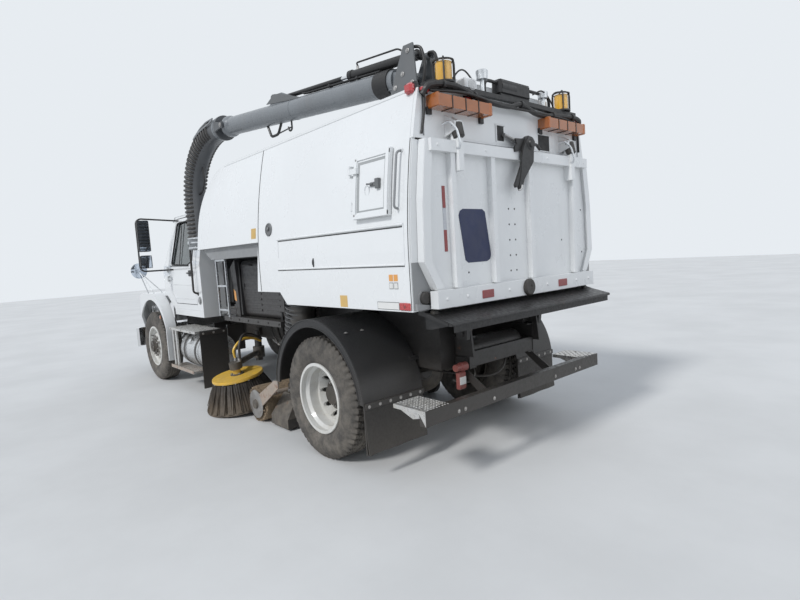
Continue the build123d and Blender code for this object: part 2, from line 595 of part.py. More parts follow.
# Hood with its fenders, one shell that tips forward, and its lamps, grille and mirrors
HOOD_TOP_REAR = 1600
HOOD_TOP_FRONT = 1400
HOOD_NOSE_Z = 1180
HOOD_LOW = 780
HOOD_HALF_REAR = 930
HOOD_HALF_FRONT = 520


def hood_volume(inset):
    """The engine cover: side outline crossed with a tapering plan."""
    side = [(HOOD_REAR_X + inset, HOOD_LOW), (HOOD_REAR_X + inset, HOOD_TOP_REAR - inset),
            (HOOD_FRONT_X - 260 - inset, HOOD_TOP_FRONT - inset), (HOOD_FRONT_X - 60 - inset, HOOD_TOP_FRONT - 70 - inset),
            (HOOD_FRONT_X - inset, HOOD_NOSE_Z), (HOOD_FRONT_X - 30 - inset, HOOD_LOW)]
    plan = [(HOOD_REAR_X - 1, HOOD_HALF_REAR - inset), (HOOD_FRONT_X - 130, HOOD_HALF_FRONT + 60 - inset),
            (HOOD_FRONT_X + 1, HOOD_HALF_FRONT - inset), (HOOD_FRONT_X + 1, -HOOD_HALF_FRONT + inset),
            (HOOD_FRONT_X - 130, -HOOD_HALF_FRONT - 60 + inset), (HOOD_REAR_X - 1, -HOOD_HALF_REAR + inset)]
    return side_prism(side, -HOOD_HALF_REAR, HOOD_HALF_REAR) & plan_prism(plan, HOOD_LOW, HOOD_TOP_REAR)


def fender_volume(inset):
    """One fender: side outline with round shoulders, crossed with a plan that narrows to the lamp."""
    x0, x1 = X_FRONT_AXLE - ARCH_REAR - HOOD_WALL + inset, X_FRONT_AXLE + 800 - inset
    top = FENDER_TOP - inset
    with BuildSketch(Plane.XZ) as section:
        with BuildLine():
            Line((x0, FENDER_BOTTOM), (x0, ARCH_Z + 80))
            ThreePointArc((x0, ARCH_Z + 80), (x0 + 160, top - 190), (x0 + 520, top))
            Line((x0 + 520, top), (x1 - 560, top))
            ThreePointArc((x1 - 560, top), (x1 - 150, top - 110), (x1, top - 330))
            Line((x1, top - 330), (x1, FENDER_FRONT_LOW))
            Line((x1, FENDER_FRONT_LOW), (x0, FENDER_BOTTOM))
        make_face()
    body = Pos(0, FENDER_HALF - inset, 0) * extrude(section.sketch, amount=FENDER_HALF - FENDER_INNER_Y - inset)
    plan = [(x0 - 1, FENDER_INNER_Y - 1), (x1 + 1, FENDER_INNER_Y - 1), (x1 + 1, FENDER_HALF - 170 - inset),
            (x1 - 260, FENDER_HALF - inset), (x0 - 1, FENDER_HALF - inset)]
    behind = corner_box(x0 - 5, HOOD_REAR_X + inset, FENDER_INNER_Y - 5, FENDER_SKIN_Y + inset, FENDER_BOTTOM - 5,
                        FENDER_TOP + 5)
    return (body & plan_prism(plan, FENDER_BOTTOM, FENDER_TOP)) - behind


def arch_cutter():
    wheel_space = rod((X_FRONT_AXLE, FENDER_INNER_Y - 60, ARCH_Z), (X_FRONT_AXLE, FENDER_HALF + 20, ARCH_Z), ARCH_R)
    legs = corner_box(X_FRONT_AXLE - ARCH_R, X_FRONT_AXLE + ARCH_R, FENDER_INNER_Y - 60, FENDER_HALF + 20,
                      FENDER_BOTTOM - 10, ARCH_Z)
    rear = corner_box(X_FRONT_AXLE - ARCH_R - 50, X_FRONT_AXLE - ARCH_REAR, FENDER_INNER_Y - 70, FENDER_HALF + 30,
                      FENDER_BOTTOM - 20, FENDER_TOP)
    return wheel_space + legs - rear


GRILLE_HALF = 400
GRILLE_LOW = 830
GRILLE_HIGH = 1290
LAMP_Z = 1010
LAMP_H = 190
LAMP_W = 210
LAMP_Y = 830


def grille_cutter():
    return corner_box(HOOD_FRONT_X - 140, HOOD_FRONT_X + 5, -GRILLE_HALF, GRILLE_HALF, GRILLE_LOW, GRILLE_HIGH)


def lamp_cutter():
    return corner_box(X_FRONT_AXLE + 720, X_FRONT_AXLE + 820, LAMP_Y - LAMP_W / 2, LAMP_Y + LAMP_W / 2,
                      LAMP_Z - LAMP_H / 2, LAMP_Z + LAMP_H / 2)


def headlamps():
    return both_sides(lamp_cutter() & fender_volume(0))


def hood_lugs():
    """Plates at the hood's lower front edge that turn on the pins of the chassis."""
    lug = side_prism([(HOOD_PIVOT_X - 26, HOOD_PIVOT_Z - 26), (HOOD_PIVOT_X + 26, HOOD_PIVOT_Z - 26),
                      (HOOD_FRONT_X - 40, HOOD_LOW + 40), (HOOD_PIVOT_X - 26, HOOD_LOW + 40)], HOOD_LUG_Y,
                     HOOD_LUG_Y + HOOD_EAR_T)
    bore = rod((HOOD_PIVOT_X, HOOD_LUG_Y - 1, HOOD_PIVOT_Z), (HOOD_PIVOT_X, HOOD_LUG_Y + HOOD_EAR_T + 1, HOOD_PIVOT_Z),
               HOOD_PIN_R + PIN_GAP)
    return both_sides(lug - bore)


def hood_shell():
    outer = hood_volume(0) + both_sides(fender_volume(0))
    inner = hood_volume(HOOD_WALL) + both_sides(fender_volume(HOOD_WALL))
    inner += corner_box(HOOD_REAR_X - 1, HOOD_REAR_X + HOOD_WALL + 1, -HOOD_HALF_REAR + HOOD_WALL + 10,
                        HOOD_HALF_REAR - HOOD_WALL - 10, HOOD_LOW - 5, HOOD_TOP_REAR - HOOD_WALL - 4)
    shell = outer - inner - both_sides(arch_cutter())
    return shell - grille_cutter() - both_sides(lamp_cutter()) + hood_lugs()


def grille():
    x0, x1 = HOOD_FRONT_X - 52, HOOD_FRONT_X - 12
    frame = corner_box(x0, x1, -GRILLE_HALF, GRILLE_HALF, GRILLE_LOW, GRILLE_HIGH)
    frame -= corner_box(x0 - 1, x1 + 1, -GRILLE_HALF + 35, GRILLE_HALF - 35, GRILLE_LOW + 35, GRILLE_HIGH - 35)
    rows = 6
    pitch = (GRILLE_HIGH - GRILLE_LOW - 70) / rows
    for i in range(rows):
        z = GRILLE_LOW + 35 + pitch * (i + 0.5)
        frame += corner_box(x0 + 4, x1 - 4, -GRILLE_HALF + 30, GRILLE_HALF - 30, z - 14, z + 14)
    for y in (-180, 0, 180):
        frame += corner_box(x0 + 6, x1 - 6, y - 8, y + 8, GRILLE_LOW + 20, GRILLE_HIGH - 20)
    return frame


HOOD_MIRROR_X = X_FRONT_AXLE + 330
HOOD_MIRROR_Y = 1180
HOOD_MIRROR_Z = 1670


def hood_mirror():
    top = (HOOD_MIRROR_X, HOOD_MIRROR_Y, HOOD_MIRROR_Z)
    foot_z = FENDER_TOP - 8
    feet = [(HOOD_MIRROR_X - 260, 1060, foot_z), (HOOD_MIRROR_X - 40, 1080, foot_z - 4),
            (HOOD_MIRROR_X - 150, 900, foot_z)]
    shape = Pos(*top) * Rot(0, -90, 0) * Cone(60, 118, 55)
    for foot in feet:
        shape += rod(foot, top, 8)
    return shape - fender_volume(0) - hood_volume(0)


# Front bumper: a swept-back steel channel with a bracket to each rail
def front_bumper():
    x1 = X_FRONT_AXLE + FRONT_OVERHANG
    plan = [(x1 - 150, -1180), (x1 - 55, -1120), (x1, -600), (x1, 600), (x1 - 55, 1120), (x1 - 150, 1180),
            (x1 - 190, 1150), (x1 - 100, 1085), (x1 - 60, 570), (x1 - 60, -570), (x1 - 100, -1085), (x1 - 190, -1150)]
    bar = plan_prism(plan, BUMPER_BOTTOM, BUMPER_TOP)
    bracket = side_prism([(RAIL_FRONT_X - 160, RAIL_BOTTOM + 10), (RAIL_FRONT_X - 160, RAIL_BOTTOM + 150),
                          (RAIL_FRONT_X - 20, RAIL_BOTTOM + 150), (RAIL_FRONT_X + 30, BUMPER_TOP - 40),
                          (x1 - 58, BUMPER_TOP - 60), (x1 - 58, BUMPER_BOTTOM + 40)], RAIL_OUTER_Y, RAIL_OUTER_Y + 16)
    return bar + both_sides(bracket)


# Fuel tank on the left, battery box on the right, straps and steps
TANK_X0 = CAB_BACK_X - HOSE_CAB_GAP - 5
TANK_X1 = X_FRONT_AXLE - 1000
TANK_Z = 560
TANK_R = 235
TANK_Y = 860


def fuel_tanks():
    tank = rod((TANK_X0, TANK_Y, TANK_Z), (TANK_X1, TANK_Y, TANK_Z), TANK_R)
    bracket = corner_box(-20, 20, RAIL_OUTER_Y, TANK_Y - TANK_R + 40, TANK_Z - 40, RAIL_BOTTOM + 130)
    for x in (TANK_X0 + 150, TANK_X1 - 150):
        tank += rod((x - 32, TANK_Y, TANK_Z), (x + 32, TANK_Y, TANK_Z), TANK_R + 6)
        tank += Pos(x, 0, 0) * bracket
    return both_sides(tank)


STEP_TOP_Z = 850
STEP_LOW_Z = 317
STEP_X0 = TANK_X0 + 60
STEP_X1 = X_FRONT_AXLE - 710


def cab_steps():
    top = corner_box(STEP_X0, STEP_X1, 780, 1130, STEP_TOP_Z - 30, STEP_TOP_Z)
    low = corner_box(STEP_X0 + 120, STEP_X1, 940, 1150, STEP_LOW_Z - 30, STEP_LOW_Z)
    steps = top + low
    for x in (TANK_X1 + 60, TANK_X1 + 180):
        steps += corner_box(x - 25, x + 25, RAIL_OUTER_Y, 800, STEP_TOP_Z - 60, STEP_TOP_Z - 30)
        steps += corner_box(x - 25, x + 25, 1105, 1125, STEP_LOW_Z, STEP_TOP_Z - 30)
    return both_sides(steps)


# Auxiliary engine pack behind the cab
PACK_X0 = X_REAR_AXLE + 1180
PACK_X1 = X_REAR_AXLE + 2150
PACK_LOUVRES = 8
LOUVRE_Z = 1140
LOUVRE_PITCH = 62


def power_pack():
    base = corner_box(PACK_X0 - 40, PACK_X1 + 420, -900, 900, RAIL_TOP, RAIL_TOP + 60)
    body = corner_box(PACK_X0, PACK_X1, -820, 820, RAIL_TOP + 60, 1720)
    body = fillet(body.edges().filter_by(Axis.X), 60)
    for i in range(PACK_LOUVRES):
        z = LOUVRE_Z + i * LOUVRE_PITCH
        body += corner_box(PACK_X0 + 500, PACK_X1 - 80, -828, 828, z, z + 22)
        body += corner_box(PACK_X0 + 80, PACK_X0 + 420, -826, 826, z, z + 14)
    cleaner = rod((PACK_X1 + 170, -500, 1560), (PACK_X1 + 170, 500, 1560), 140)
    stand = corner_box(PACK_X1 + 150, PACK_X1 + 190, -300, 300, RAIL_TOP + 55, 1560)
    duct = side_prism([(PACK_X1 + 60, 1735), (PACK_X1 + 190, 1650), (PACK_X1 + 110, 1180), (PACK_X1 + 10, 1180)],
                      760, 870)
    foot = corner_box(PACK_X1 + 10, PACK_X1 + 110, 760, 870, RAIL_TOP + 55, 1185)
    return base + body + cleaner + stand + duct + foot


# Ladder-like guard frame behind the cab, one each side
GUARD_X0 = X_REAR_AXLE + 2270
GUARD_X1 = X_REAR_AXLE + 2560
GUARD_Y = 960


def guard_frame():
    bar = 22
    frame = corner_box(GUARD_X0, GUARD_X0 + bar, GUARD_Y - bar, GUARD_Y, 1080, 1750)
    frame += corner_box(GUARD_X1 - bar, GUARD_X1, GUARD_Y - bar, GUARD_Y, 1080, 1750)
    for z in (1130, 1420, 1728):
        frame += corner_box(GUARD_X0, GUARD_X1, GUARD_Y - bar, GUARD_Y, z, z + bar)
    for x in (GUARD_X0, GUARD_X1 - bar):
        frame += corner_box(x, x + bar, 880, GUARD_Y, RAIL_TOP + 60, RAIL_TOP + 85)
        frame += corner_box(x, x + bar, GUARD_Y - bar, GUARD_Y, RAIL_TOP + 60, 1085)
    return both_sides(frame)


# Water tanks along the chassis under the hopper
SIDE_TANK_TOP = HOPPER_BOTTOM - 60
TANK_TYRE_GAP = 14
SIDE_TANK_Y1 = REAR_TRACK / 2 - TWIN_SPACING / 2 - TYRE_WIDTH / 2 - TANK_TYRE_GAP
SIDE_TANKS = (
    # rear end x, front end x
    (X_REAR_AXLE - 860, X_REAR_AXLE - 120),
    (X_REAR_AXLE + 120, X_REAR_AXLE + 860),
)


# Rear fenders: an arched band round each twin wheel, with its mudflap
FENDER_BAND_R = 660
FENDER_BAND_T = 14
FENDER_TANK_GAP = 40
FENDER_TYRE_GAP = 11
FENDER_Y0 = SIDE_TANK_Y1 + FENDER_TANK_GAP
FENDER_Y1 = REAR_TRACK / 2 + TWIN_SPACING / 2 + TYRE_WIDTH / 2 + FENDER_TYRE_GAP
FLAP_X = X_REAR_AXLE - FENDER_BAND_R + 30


def rear_fender():
    band = rod((X_REAR_AXLE, FENDER_Y0, AXLE_Z), (X_REAR_AXLE, FENDER_Y1, AXLE_Z), FENDER_BAND_R + FENDER_BAND_T)
    hollow = rod((X_REAR_AXLE, FENDER_Y0 - 1, AXLE_Z), (X_REAR_AXLE, FENDER_Y1 - FENDER_BAND_T, AXLE_Z), FENDER_BAND_R)
    side_cut = rod((X_REAR_AXLE, FENDER_Y1 - 20, AXLE_Z), (X_REAR_AXLE, FENDER_Y1 + 1, AXLE_Z), FENDER_BAND_R - 55)
    band = band - hollow - side_cut
    band -= corner_box(X_REAR_AXLE - 800, X_REAR_AXLE + 800, FENDER_Y0 - 1, FENDER_Y1 + 1, -200, AXLE_Z + 60)
    flap = corner_box(FLAP_X - FENDER_BAND_T - 30, FLAP_X - 30, FENDER_Y0, FENDER_Y1, 200, AXLE_Z + 62)
    reach = 590
    arm_z = AXLE_Z + (FENDER_BAND_R ** 2 - reach ** 2) ** 0.5 + 16
    for x in (X_REAR_AXLE - reach, X_REAR_AXLE + reach):
        band += rod((x, SIDE_TANK_Y1, arm_z), (x, FENDER_Y0 + 60, arm_z), 18)
    return band + flap


def side_tanks():
    tanks = []
    for x0, x1 in SIDE_TANKS:
        tanks.append(corner_box(x0, x1, RAIL_OUTER_Y, SIDE_TANK_Y1, RAIL_BOTTOM, SIDE_TANK_TOP))
    return both_sides(tanks[0] + tanks[1])


# Rear step bar with a plate at each end
STEP_BAR_X = X_REAR_AXLE - 1200


def rear_step():
    bar = corner_box(STEP_BAR_X - 30, STEP_BAR_X + 30, -1150, 1150, 510, 620)
    plate = corner_box(STEP_BAR_X - 30, STEP_BAR_X + 300, 900, 1150, 590, 620)
    arm = side_prism([(STEP_BAR_X + 20, 520), (RAIL_REAR_X + 130, RAIL_BOTTOM), (RAIL_REAR_X + 30, RAIL_BOTTOM),
                      (STEP_BAR_X + 20, 610)], RAIL_OUTER_Y, RAIL_OUTER_Y + 14)
    arm += corner_box(RAIL_REAR_X + 20, RAIL_REAR_X + 140, RAIL_OUTER_Y, RAIL_OUTER_Y + 14, RAIL_BOTTOM - 2,
                      RAIL_TOP - 160)
    return bar + both_sides(plate + arm)


# Suction nozzles beside the chassis and the hoses up to the hopper
NOZZLE_X = X_REAR_AXLE + 1010
NOZZLE_Y = 790
NOZZLE_HALF = 170
NOZZLE_TOP = 330
DUCT_R = 135
DUCT_TOP = HOSE_NOTCH_Z - 12
DUCT_X = X_REAR_AXLE + 830
DUCT_BEND = 280
DUCT_RIBS = 9
DUCT_RIB_HALF = 26
DUCT_RIB_PROUD = 15
CASTER_X = NOZZLE_X - 300
CASTER_R = 125
CASTER_Z = 130


def suction_nozzle():
    skirt = corner_box(NOZZLE_X - NOZZLE_HALF, NOZZLE_X + NOZZLE_HALF, NOZZLE_Y - 280, NOZZLE_Y + 280, 25, 120)
    skirt -= corner_box(NOZZLE_X - NOZZLE_HALF + 20, NOZZLE_X + NOZZLE_HALF - 20, NOZZLE_Y - 260, NOZZLE_Y + 260, 24, 100)
    hoodpart = loft([Pos(NOZZLE_X, NOZZLE_Y, 119) * Rectangle(2 * NOZZLE_HALF, 560),
                     Pos(NOZZLE_X, NOZZLE_Y, NOZZLE_TOP) * Rectangle(270, 270)])
    wheel = rod((CASTER_X, NOZZLE_Y - 30, CASTER_Z), (CASTER_X, NOZZLE_Y + 30, CASTER_Z), CASTER_R)
    fork = side_prism([(CASTER_X - 25, CASTER_Z - 20), (CASTER_X + 25, CASTER_Z - 25), (NOZZLE_X - 155, CASTER_Z + 5),
                       (NOZZLE_X - 145, CASTER_Z + 50), (CASTER_X - 10, CASTER_Z + 30)], NOZZLE_Y - 55, NOZZLE_Y - 35)
    axle = rod((CASTER_X, NOZZLE_Y - 50, CASTER_Z), (CASTER_X, NOZZLE_Y, CASTER_Z), 18)
    link_y = NOZZLE_Y - DUCT_R - 50
    link = corner_box(NOZZLE_X - 30, NOZZLE_X + 30, RAIL_OUTER_Y, link_y, RAIL_BOTTOM - 200, RAIL_BOTTOM - 160)
    link += corner_box(NOZZLE_X - 30, NOZZLE_X + 30, RAIL_OUTER_Y, RAIL_OUTER_Y + 30, RAIL_BOTTOM - 200, RAIL_BOTTOM + 60)
    link += corner_box(NOZZLE_X - 30, NOZZLE_X + 30, link_y - 40, link_y, 120, RAIL_BOTTOM - 160)
    return skirt + hoodpart + wheel + fork + axle + link


def suction_hose():
    """A thick hose whose wide ribs stand at even steps along it."""
    points = [(NOZZLE_X, NOZZLE_Y, NOZZLE_TOP), (NOZZLE_X, NOZZLE_Y, NOZZLE_TOP + 330),
              (DUCT_X, NOZZLE_Y + 20, DUCT_TOP - 330), (DUCT_X, NOZZLE_Y + 20, DUCT_TOP)]
    hose = pipe(points, DUCT_R - DUCT_RIB_PROUD, DUCT_BEND)
    path = FilletPolyline(*points, radius=DUCT_BEND)
    for i in range(DUCT_RIBS):
        at = (i + 0.5) / DUCT_RIBS
        plane = Plane(origin=path @ at, z_dir=path % at)
        hose += extrude(plane * Circle(DUCT_R), amount=DUCT_RIB_HALF, both=True)
    return hose


# Wide broom across the chassis ahead of the nozzles
WIDE_X = X_REAR_AXLE + 1420
WIDE_R = 190
WIDE_Z = WIDE_R + 4
WIDE_HALF = 1080
WIDE_CORE_R = 60


def wide_broom():
    brush = rod((WIDE_X, -WIDE_HALF, WIDE_Z), (WIDE_X, WIDE_HALF, WIDE_Z), WIDE_R)
    core = rod((WIDE_X, -WIDE_HALF - 30, WIDE_Z), (WIDE_X, WIDE_HALF + 30, WIDE_Z), WIDE_CORE_R / 2)
    return brush + core


CROSS_TUBE_X = WIDE_X - 215
CROSS_TUBE_Z = 325
CROSS_TUBE_R = 25


def broom_frame():
    arm_y = WIDE_HALF + 22
    tail_x = WIDE_X - 520
    arm = side_prism([(WIDE_X - 60, WIDE_Z - 50), (WIDE_X + 50, WIDE_Z - 50), (WIDE_X + 50, WIDE_Z + 45),
                      (tail_x + 70, 510), (tail_x, 510), (tail_x, 440)], arm_y, arm_y + 14)
    arm -= rod((WIDE_X, arm_y - 1, WIDE_Z), (WIDE_X, arm_y + 15, WIDE_Z), WIDE_CORE_R / 2 + PIN_GAP)
    cross = rod((CROSS_TUBE_X, -arm_y - 14, CROSS_TUBE_Z), (CROSS_TUBE_X, arm_y + 14, CROSS_TUBE_Z), CROSS_TUBE_R)
    hanger = corner_box(CROSS_TUBE_X - 25, CROSS_TUBE_X + 25, 380, 400, CROSS_TUBE_Z, RAIL_BOTTOM)
    return both_sides(arm) + cross + both_sides(hanger)


# Gutter brooms: a tilted disc with a skirt of bristles, on a swinging arm
BROOM_X = X_REAR_AXLE + 2050
BROOM_Y = 1020
BROOM_DISC_Z = 400
BROOM_DISC_R = 285
BROOM_TIP_R = 420
BROOM_TILT = 8
BROOM_TUFTS = 24
TUFT_PROUD = 11
TUFT_WIDTH = 62


def broom_place():
    return Pos(BROOM_X, BROOM_Y, BROOM_DISC_Z) * Rot(-BROOM_TILT, 0, 0)


def gutter_broom():
    """Disc, hollow skirt of bristles and the tufts that stand out of it at even steps."""
    drop = BROOM_DISC_Z - 75
    tip, root = BROOM_TIP_R - TUFT_PROUD, BROOM_DISC_R - 15 - TUFT_PROUD
    disc = Cylinder(BROOM_DISC_R, 30)
    skirt = Pos(0, 0, -15 - drop / 2) * Cone(tip, root, drop)
    skirt -= Pos(0, 0, -15 - drop / 2 - 1) * Cone(tip - 100, root - 100, drop)
    stem = Pos(0, 0, (80 - SEAT_GAP) / 2) * Cylinder(45, 80 - SEAT_GAP)
    splay = degrees(atan2(tip - root, drop))
    tuft = Pos((tip + root) / 2, 0, -15 - drop / 2) * Rot(0, -splay, 0) * Box(2 * TUFT_PROUD, TUFT_WIDTH, drop)
    body = disc + skirt + stem
    for i in range(BROOM_TUFTS):
        body += Rot(0, 0, 360 * i / BROOM_TUFTS) * tuft
    return broom_place() * body


def gutter_arm():
    motor = broom_place() * (Pos(0, 0, 120) * Cylinder(70, 80))
    collar = rod((HANGER_X, HANGER_Y, HANGER_BOTTOM + 40), (HANGER_X, HANGER_Y, HANGER_BOTTOM + 180), HANGER_R + 28)
    reach = rod((HANGER_X, HANGER_Y, HANGER_BOTTOM + 110), (BROOM_X, BROOM_Y - 10, BROOM_DISC_Z + 140), 34)
    bore = rod((HANGER_X, HANGER_Y, HANGER_BOTTOM - 10), (HANGER_X, HANGER_Y, HANGER_BOTTOM + 400), HANGER_R + PIN_GAP)
    return collar + reach + motor - bore


# Hopper body: barrel-sided shell, open at the rear, with bearers on the chassis
def hopper_section(inset):
    """Half-open barrel outline of (y, z): crowned roof, bowed sides, straight skirt."""
    top, roof = HOPPER_TOP - inset, HOPPER_ROOF_HALF - inset
    edge = top - ROOF_CROWN
    belt = HOPPER_BELT_HALF - inset
    low = HOPPER_BOTTOM + inset
    mid_z = (HOPPER_TOP + HOPPER_BELT_Z) / 2
    mid_y = (HOPPER_ROOF_HALF + HOPPER_BELT_HALF) / 2 + HOPPER_BOW - inset
    with BuildSketch(Plane.YZ) as section:
        with BuildLine():
            ThreePointArc((roof, edge), (0, top), (-roof, edge))
            ThreePointArc((-roof, edge), (-mid_y, mid_z), (-belt, HOPPER_BELT_Z))
            Polyline((-belt, HOPPER_BELT_Z), (-belt, low), (belt, low), (belt, HOPPER_BELT_Z))
            ThreePointArc((belt, HOPPER_BELT_Z), (mid_y, mid_z), (roof, edge))
        make_face()
    return section.sketch


def barrel(x0, x1, inset):
    return Pos(x0, 0, 0) * extrude(hopper_section(inset), amount=x1 - x0, dir=(1, 0, 0))


def hopper_shell():
    shell = barrel(HOPPER_REAR_X, HOPPER_FRONT_X, 0)
    shell -= barrel(HOPPER_REAR_X - 1, HOPPER_SEAM_X - HOPPER_WALL, HOPPER_WALL)
    front_cut = side_prism([(HOPPER_SEAM_X, HOPPER_TOP + 5), (HOPPER_SEAM_X, NOSE_BOTTOM), (HOPPER_FRONT_X, HOSE_NOTCH_Z),
                            (HOPPER_FRONT_X + 5, HOSE_NOTCH_Z), (HOPPER_FRONT_X + 5, HOPPER_TOP + 5)],
                           -HOPPER_BELT_HALF - 5, HOPPER_BELT_HALF + 5)
    notch = side_prism([(HOSE_NOTCH_X0 - 60, HOPPER_BOTTOM - 5), (HOSE_NOTCH_X0 + 60, HOSE_NOTCH_Z),
                        (HOPPER_FRONT_X + 5, HOSE_NOTCH_Z), (HOPPER_FRONT_X + 5, HOPPER_BOTTOM - 5)],
                       -HOPPER_BELT_HALF - 5, HOPPER_BELT_HALF + 5)
    floor = side_prism([(HOSE_NOTCH_X0 - 110, HOPPER_BOTTOM), (HOSE_NOTCH_X0 + 30, HOSE_NOTCH_Z + HOPPER_WALL),
                        (HOPPER_SEAM_X, HOSE_NOTCH_Z + HOPPER_WALL), (HOPPER_SEAM_X, HOSE_NOTCH_Z),
                        (HOSE_NOTCH_X0 + 60, HOSE_NOTCH_Z), (HOSE_NOTCH_X0 - 60, HOPPER_BOTTOM)],
                       -HOPPER_BELT_HALF + 5, HOPPER_BELT_HALF - 5)
    shell = shell - front_cut - notch + floor
    shell -= hatch_cutter(0)
    bearer = corner_box(HOPPER_REAR_X + 60, HOSE_NOTCH_X0 - 100, BEARER_Y - BEARER_WIDTH / 2, BEARER_Y + BEARER_WIDTH / 2,
                        BEARER_BOTTOM, HOPPER_BOTTOM)
    bearer -= end_corner_relief()
    lug = side_prism([(TIP_X - 50, TIP_Z - 50), (TIP_X + 50, TIP_Z - 50), (TIP_X + 120, HOPPER_BOTTOM),
                      (TIP_X - 90, HOPPER_BOTTOM)], RAIL_OUTER_Y + TIP_LUG_T + 8, RAIL_OUTER_Y + TIP_LUG_T + 48)
    lug -= rod((TIP_X, RAIL_OUTER_Y, TIP_Z), (TIP_X, RAIL_OUTER_Y + 200, TIP_Z), TIP_PIN_R + PIN_GAP)
    return shell + both_sides(bearer) + both_sides(lug) + ram_lug() + (hatch_hinge_pins() - barrel(HATCH_X0, HATCH_X1 + 90, 15))


def end_corner_relief():
    """Cuts the bearer's rear end away so that it clears the chassis as the hopper tips."""
    return side_prism([(HOPPER_REAR_X, BEARER_BOTTOM - 5), (TIP_X + 40, BEARER_BOTTOM - 5),
                       (TIP_X - 60, HOPPER_BOTTOM - 40), (HOPPER_REAR_X, HOPPER_BOTTOM - 40)], 0, 1000)


# Side hatch in the left wall of the hopper
HATCH_X0 = X_REAR_AXLE - 1000
HATCH_X1 = X_REAR_AXLE - 600
HATCH_Z0 = HOPPER_TOP - 850
HATCH_Z1 = HOPPER_TOP - 390
HATCH_THICK = 34
HATCH_INNER_Y = HOPPER_ROOF_HALF - 100
HATCH_OUTER_Y = HOPPER_BELT_HALF + 80
HATCH_HINGES = (HATCH_Z0 + 90, HATCH_Z1 - 110)
HATCH_HINGE_PROUD = 27.4


def side_half(z):
    """Half width of the bowed side: its chord from belt to roof edge, with a parabola for the bow."""
    share = (z - HOPPER_BELT_Z) / (HOPPER_TOP - ROOF_CROWN - HOPPER_BELT_Z)
    chord = HOPPER_BELT_HALF + (HOPPER_ROOF_HALF - HOPPER_BELT_HALF) * share
    return chord + 4 * HOPPER_BOW * share * (1 - share)


HATCH_HINGE_X = HATCH_X1 + 22
HATCH_HINGE_Y = side_half(HATCH_HINGES[0]) + HATCH_HINGE_PROUD


def hatch_cutter(gap):
    return corner_box(HATCH_X0 + 40 + gap, HATCH_X1 - 40 - gap, HATCH_INNER_Y, HATCH_OUTER_Y, HATCH_Z0 + 40 + gap,
                      HATCH_Z1 - 40 - gap)


def side_hatch():
    plug = barrel(HATCH_X0, HATCH_X1, -HATCH_THICK) - barrel(HATCH_X0 - 1, HATCH_X1 + 1, -RUNNING_GAP)
    panel = plug & corner_box(HATCH_X0, HATCH_X1, HATCH_INNER_Y, HATCH_OUTER_Y, HATCH_Z0, HATCH_Z1)
    for z in HATCH_HINGES:
        leaf = corner_box(HATCH_X1 - 60, HATCH_X1 - 4, HATCH_INNER_Y, HATCH_HINGE_Y + 6, z - 20, z + 20)
        panel += leaf - barrel(HATCH_X0 - 1, HATCH_X1 + 1, -RUNNING_GAP)
        panel += corner_box(HATCH_X1 - 10, HATCH_HINGE_X, HATCH_HINGE_Y - 6, HATCH_HINGE_Y + 6, z - 20, z + 20)
        panel += rod((HATCH_HINGE_X, HATCH_HINGE_Y, z - 20), (HATCH_HINGE_X, HATCH_HINGE_Y, z + 20), 15)
        panel -= rod((HATCH_HINGE_X, HATCH_HINGE_Y, z - 21), (HATCH_HINGE_X, HATCH_HINGE_Y, z + 21), 8 + PIN_GAP)
    return panel


def hatch_hinge_pins():
    pins = None
    for z in HATCH_HINGES:
        pin = rod((HATCH_HINGE_X, HATCH_HINGE_Y, z - 42), (HATCH_HINGE_X, HATCH_HINGE_Y, z + 42), 8)
        for z0 in (z - 42, z + 26):
            pin += corner_box(HATCH_HINGE_X - 8, HATCH_HINGE_X + 14, HATCH_INNER_Y, HATCH_HINGE_Y + 8, z0, z0 + 16)
        pins = pin if pins is None else pins + pin
    return pins


# Nose of the hopper: rounded front section with a grey wedge below
def nose_side(inset):
    x1, z1 = NOSE_FRONT_X - inset, HOPPER_TOP - inset
    x0 = HOPPER_SEAM_X + (HOPPER_WALL if inset else 0)
    low = NOSE_BOTTOM + inset
    r = NOSE_RADIUS
    with BuildSketch(Plane.XZ) as section:
        with BuildLine():
            Line((x0, low), (x0, z1))
            Line((x0, z1), (x1 - r, z1))
            ThreePointArc((x1 - r, z1), (x1 - r + r * 0.66, z1 - r * 0.33), (x1 - 20, z1 - r - 60))
            Line((x1 - 20, z1 - r - 60), (x1, low))
            Line((x1, low), (x0, low))
        make_face()
    return extrude(section.sketch, amount=HOPPER_BELT_HALF + 5, both=True)


def hopper_nose():
    outer = nose_side(0) & barrel(HOPPER_SEAM_X, NOSE_FRONT_X + 5, 0)
    inner = nose_side(HOPPER_WALL) & barrel(HOPPER_SEAM_X, NOSE_FRONT_X + 5, HOPPER_WALL)
    wedge = side_prism([(HOPPER_SEAM_X + 40, NOSE_BOTTOM), (NOSE_FRONT_X - 30, NOSE_BOTTOM),
                        (NOSE_FRONT_X - 260, NOSE_BOTTOM - 130), (HOPPER_SEAM_X + 40, NOSE_BOTTOM - 130)],
                       -HOPPER_BELT_HALF + 60, HOPPER_BELT_HALF - 60)
    return outer - inner + wedge


# Rear door: ribbed plate with chamfered lower corners, box rail and hinge arms
def door_outline(inset):
    half = [(1018 - inset, DOOR_TOP - inset), (1069 - inset, 2040), (1085 - inset, 1620), (978 - inset, 1426),
            (800 - inset, DOOR_BOTTOM + inset)]
    return half + [(-y, z) for y, z in reversed(half)]


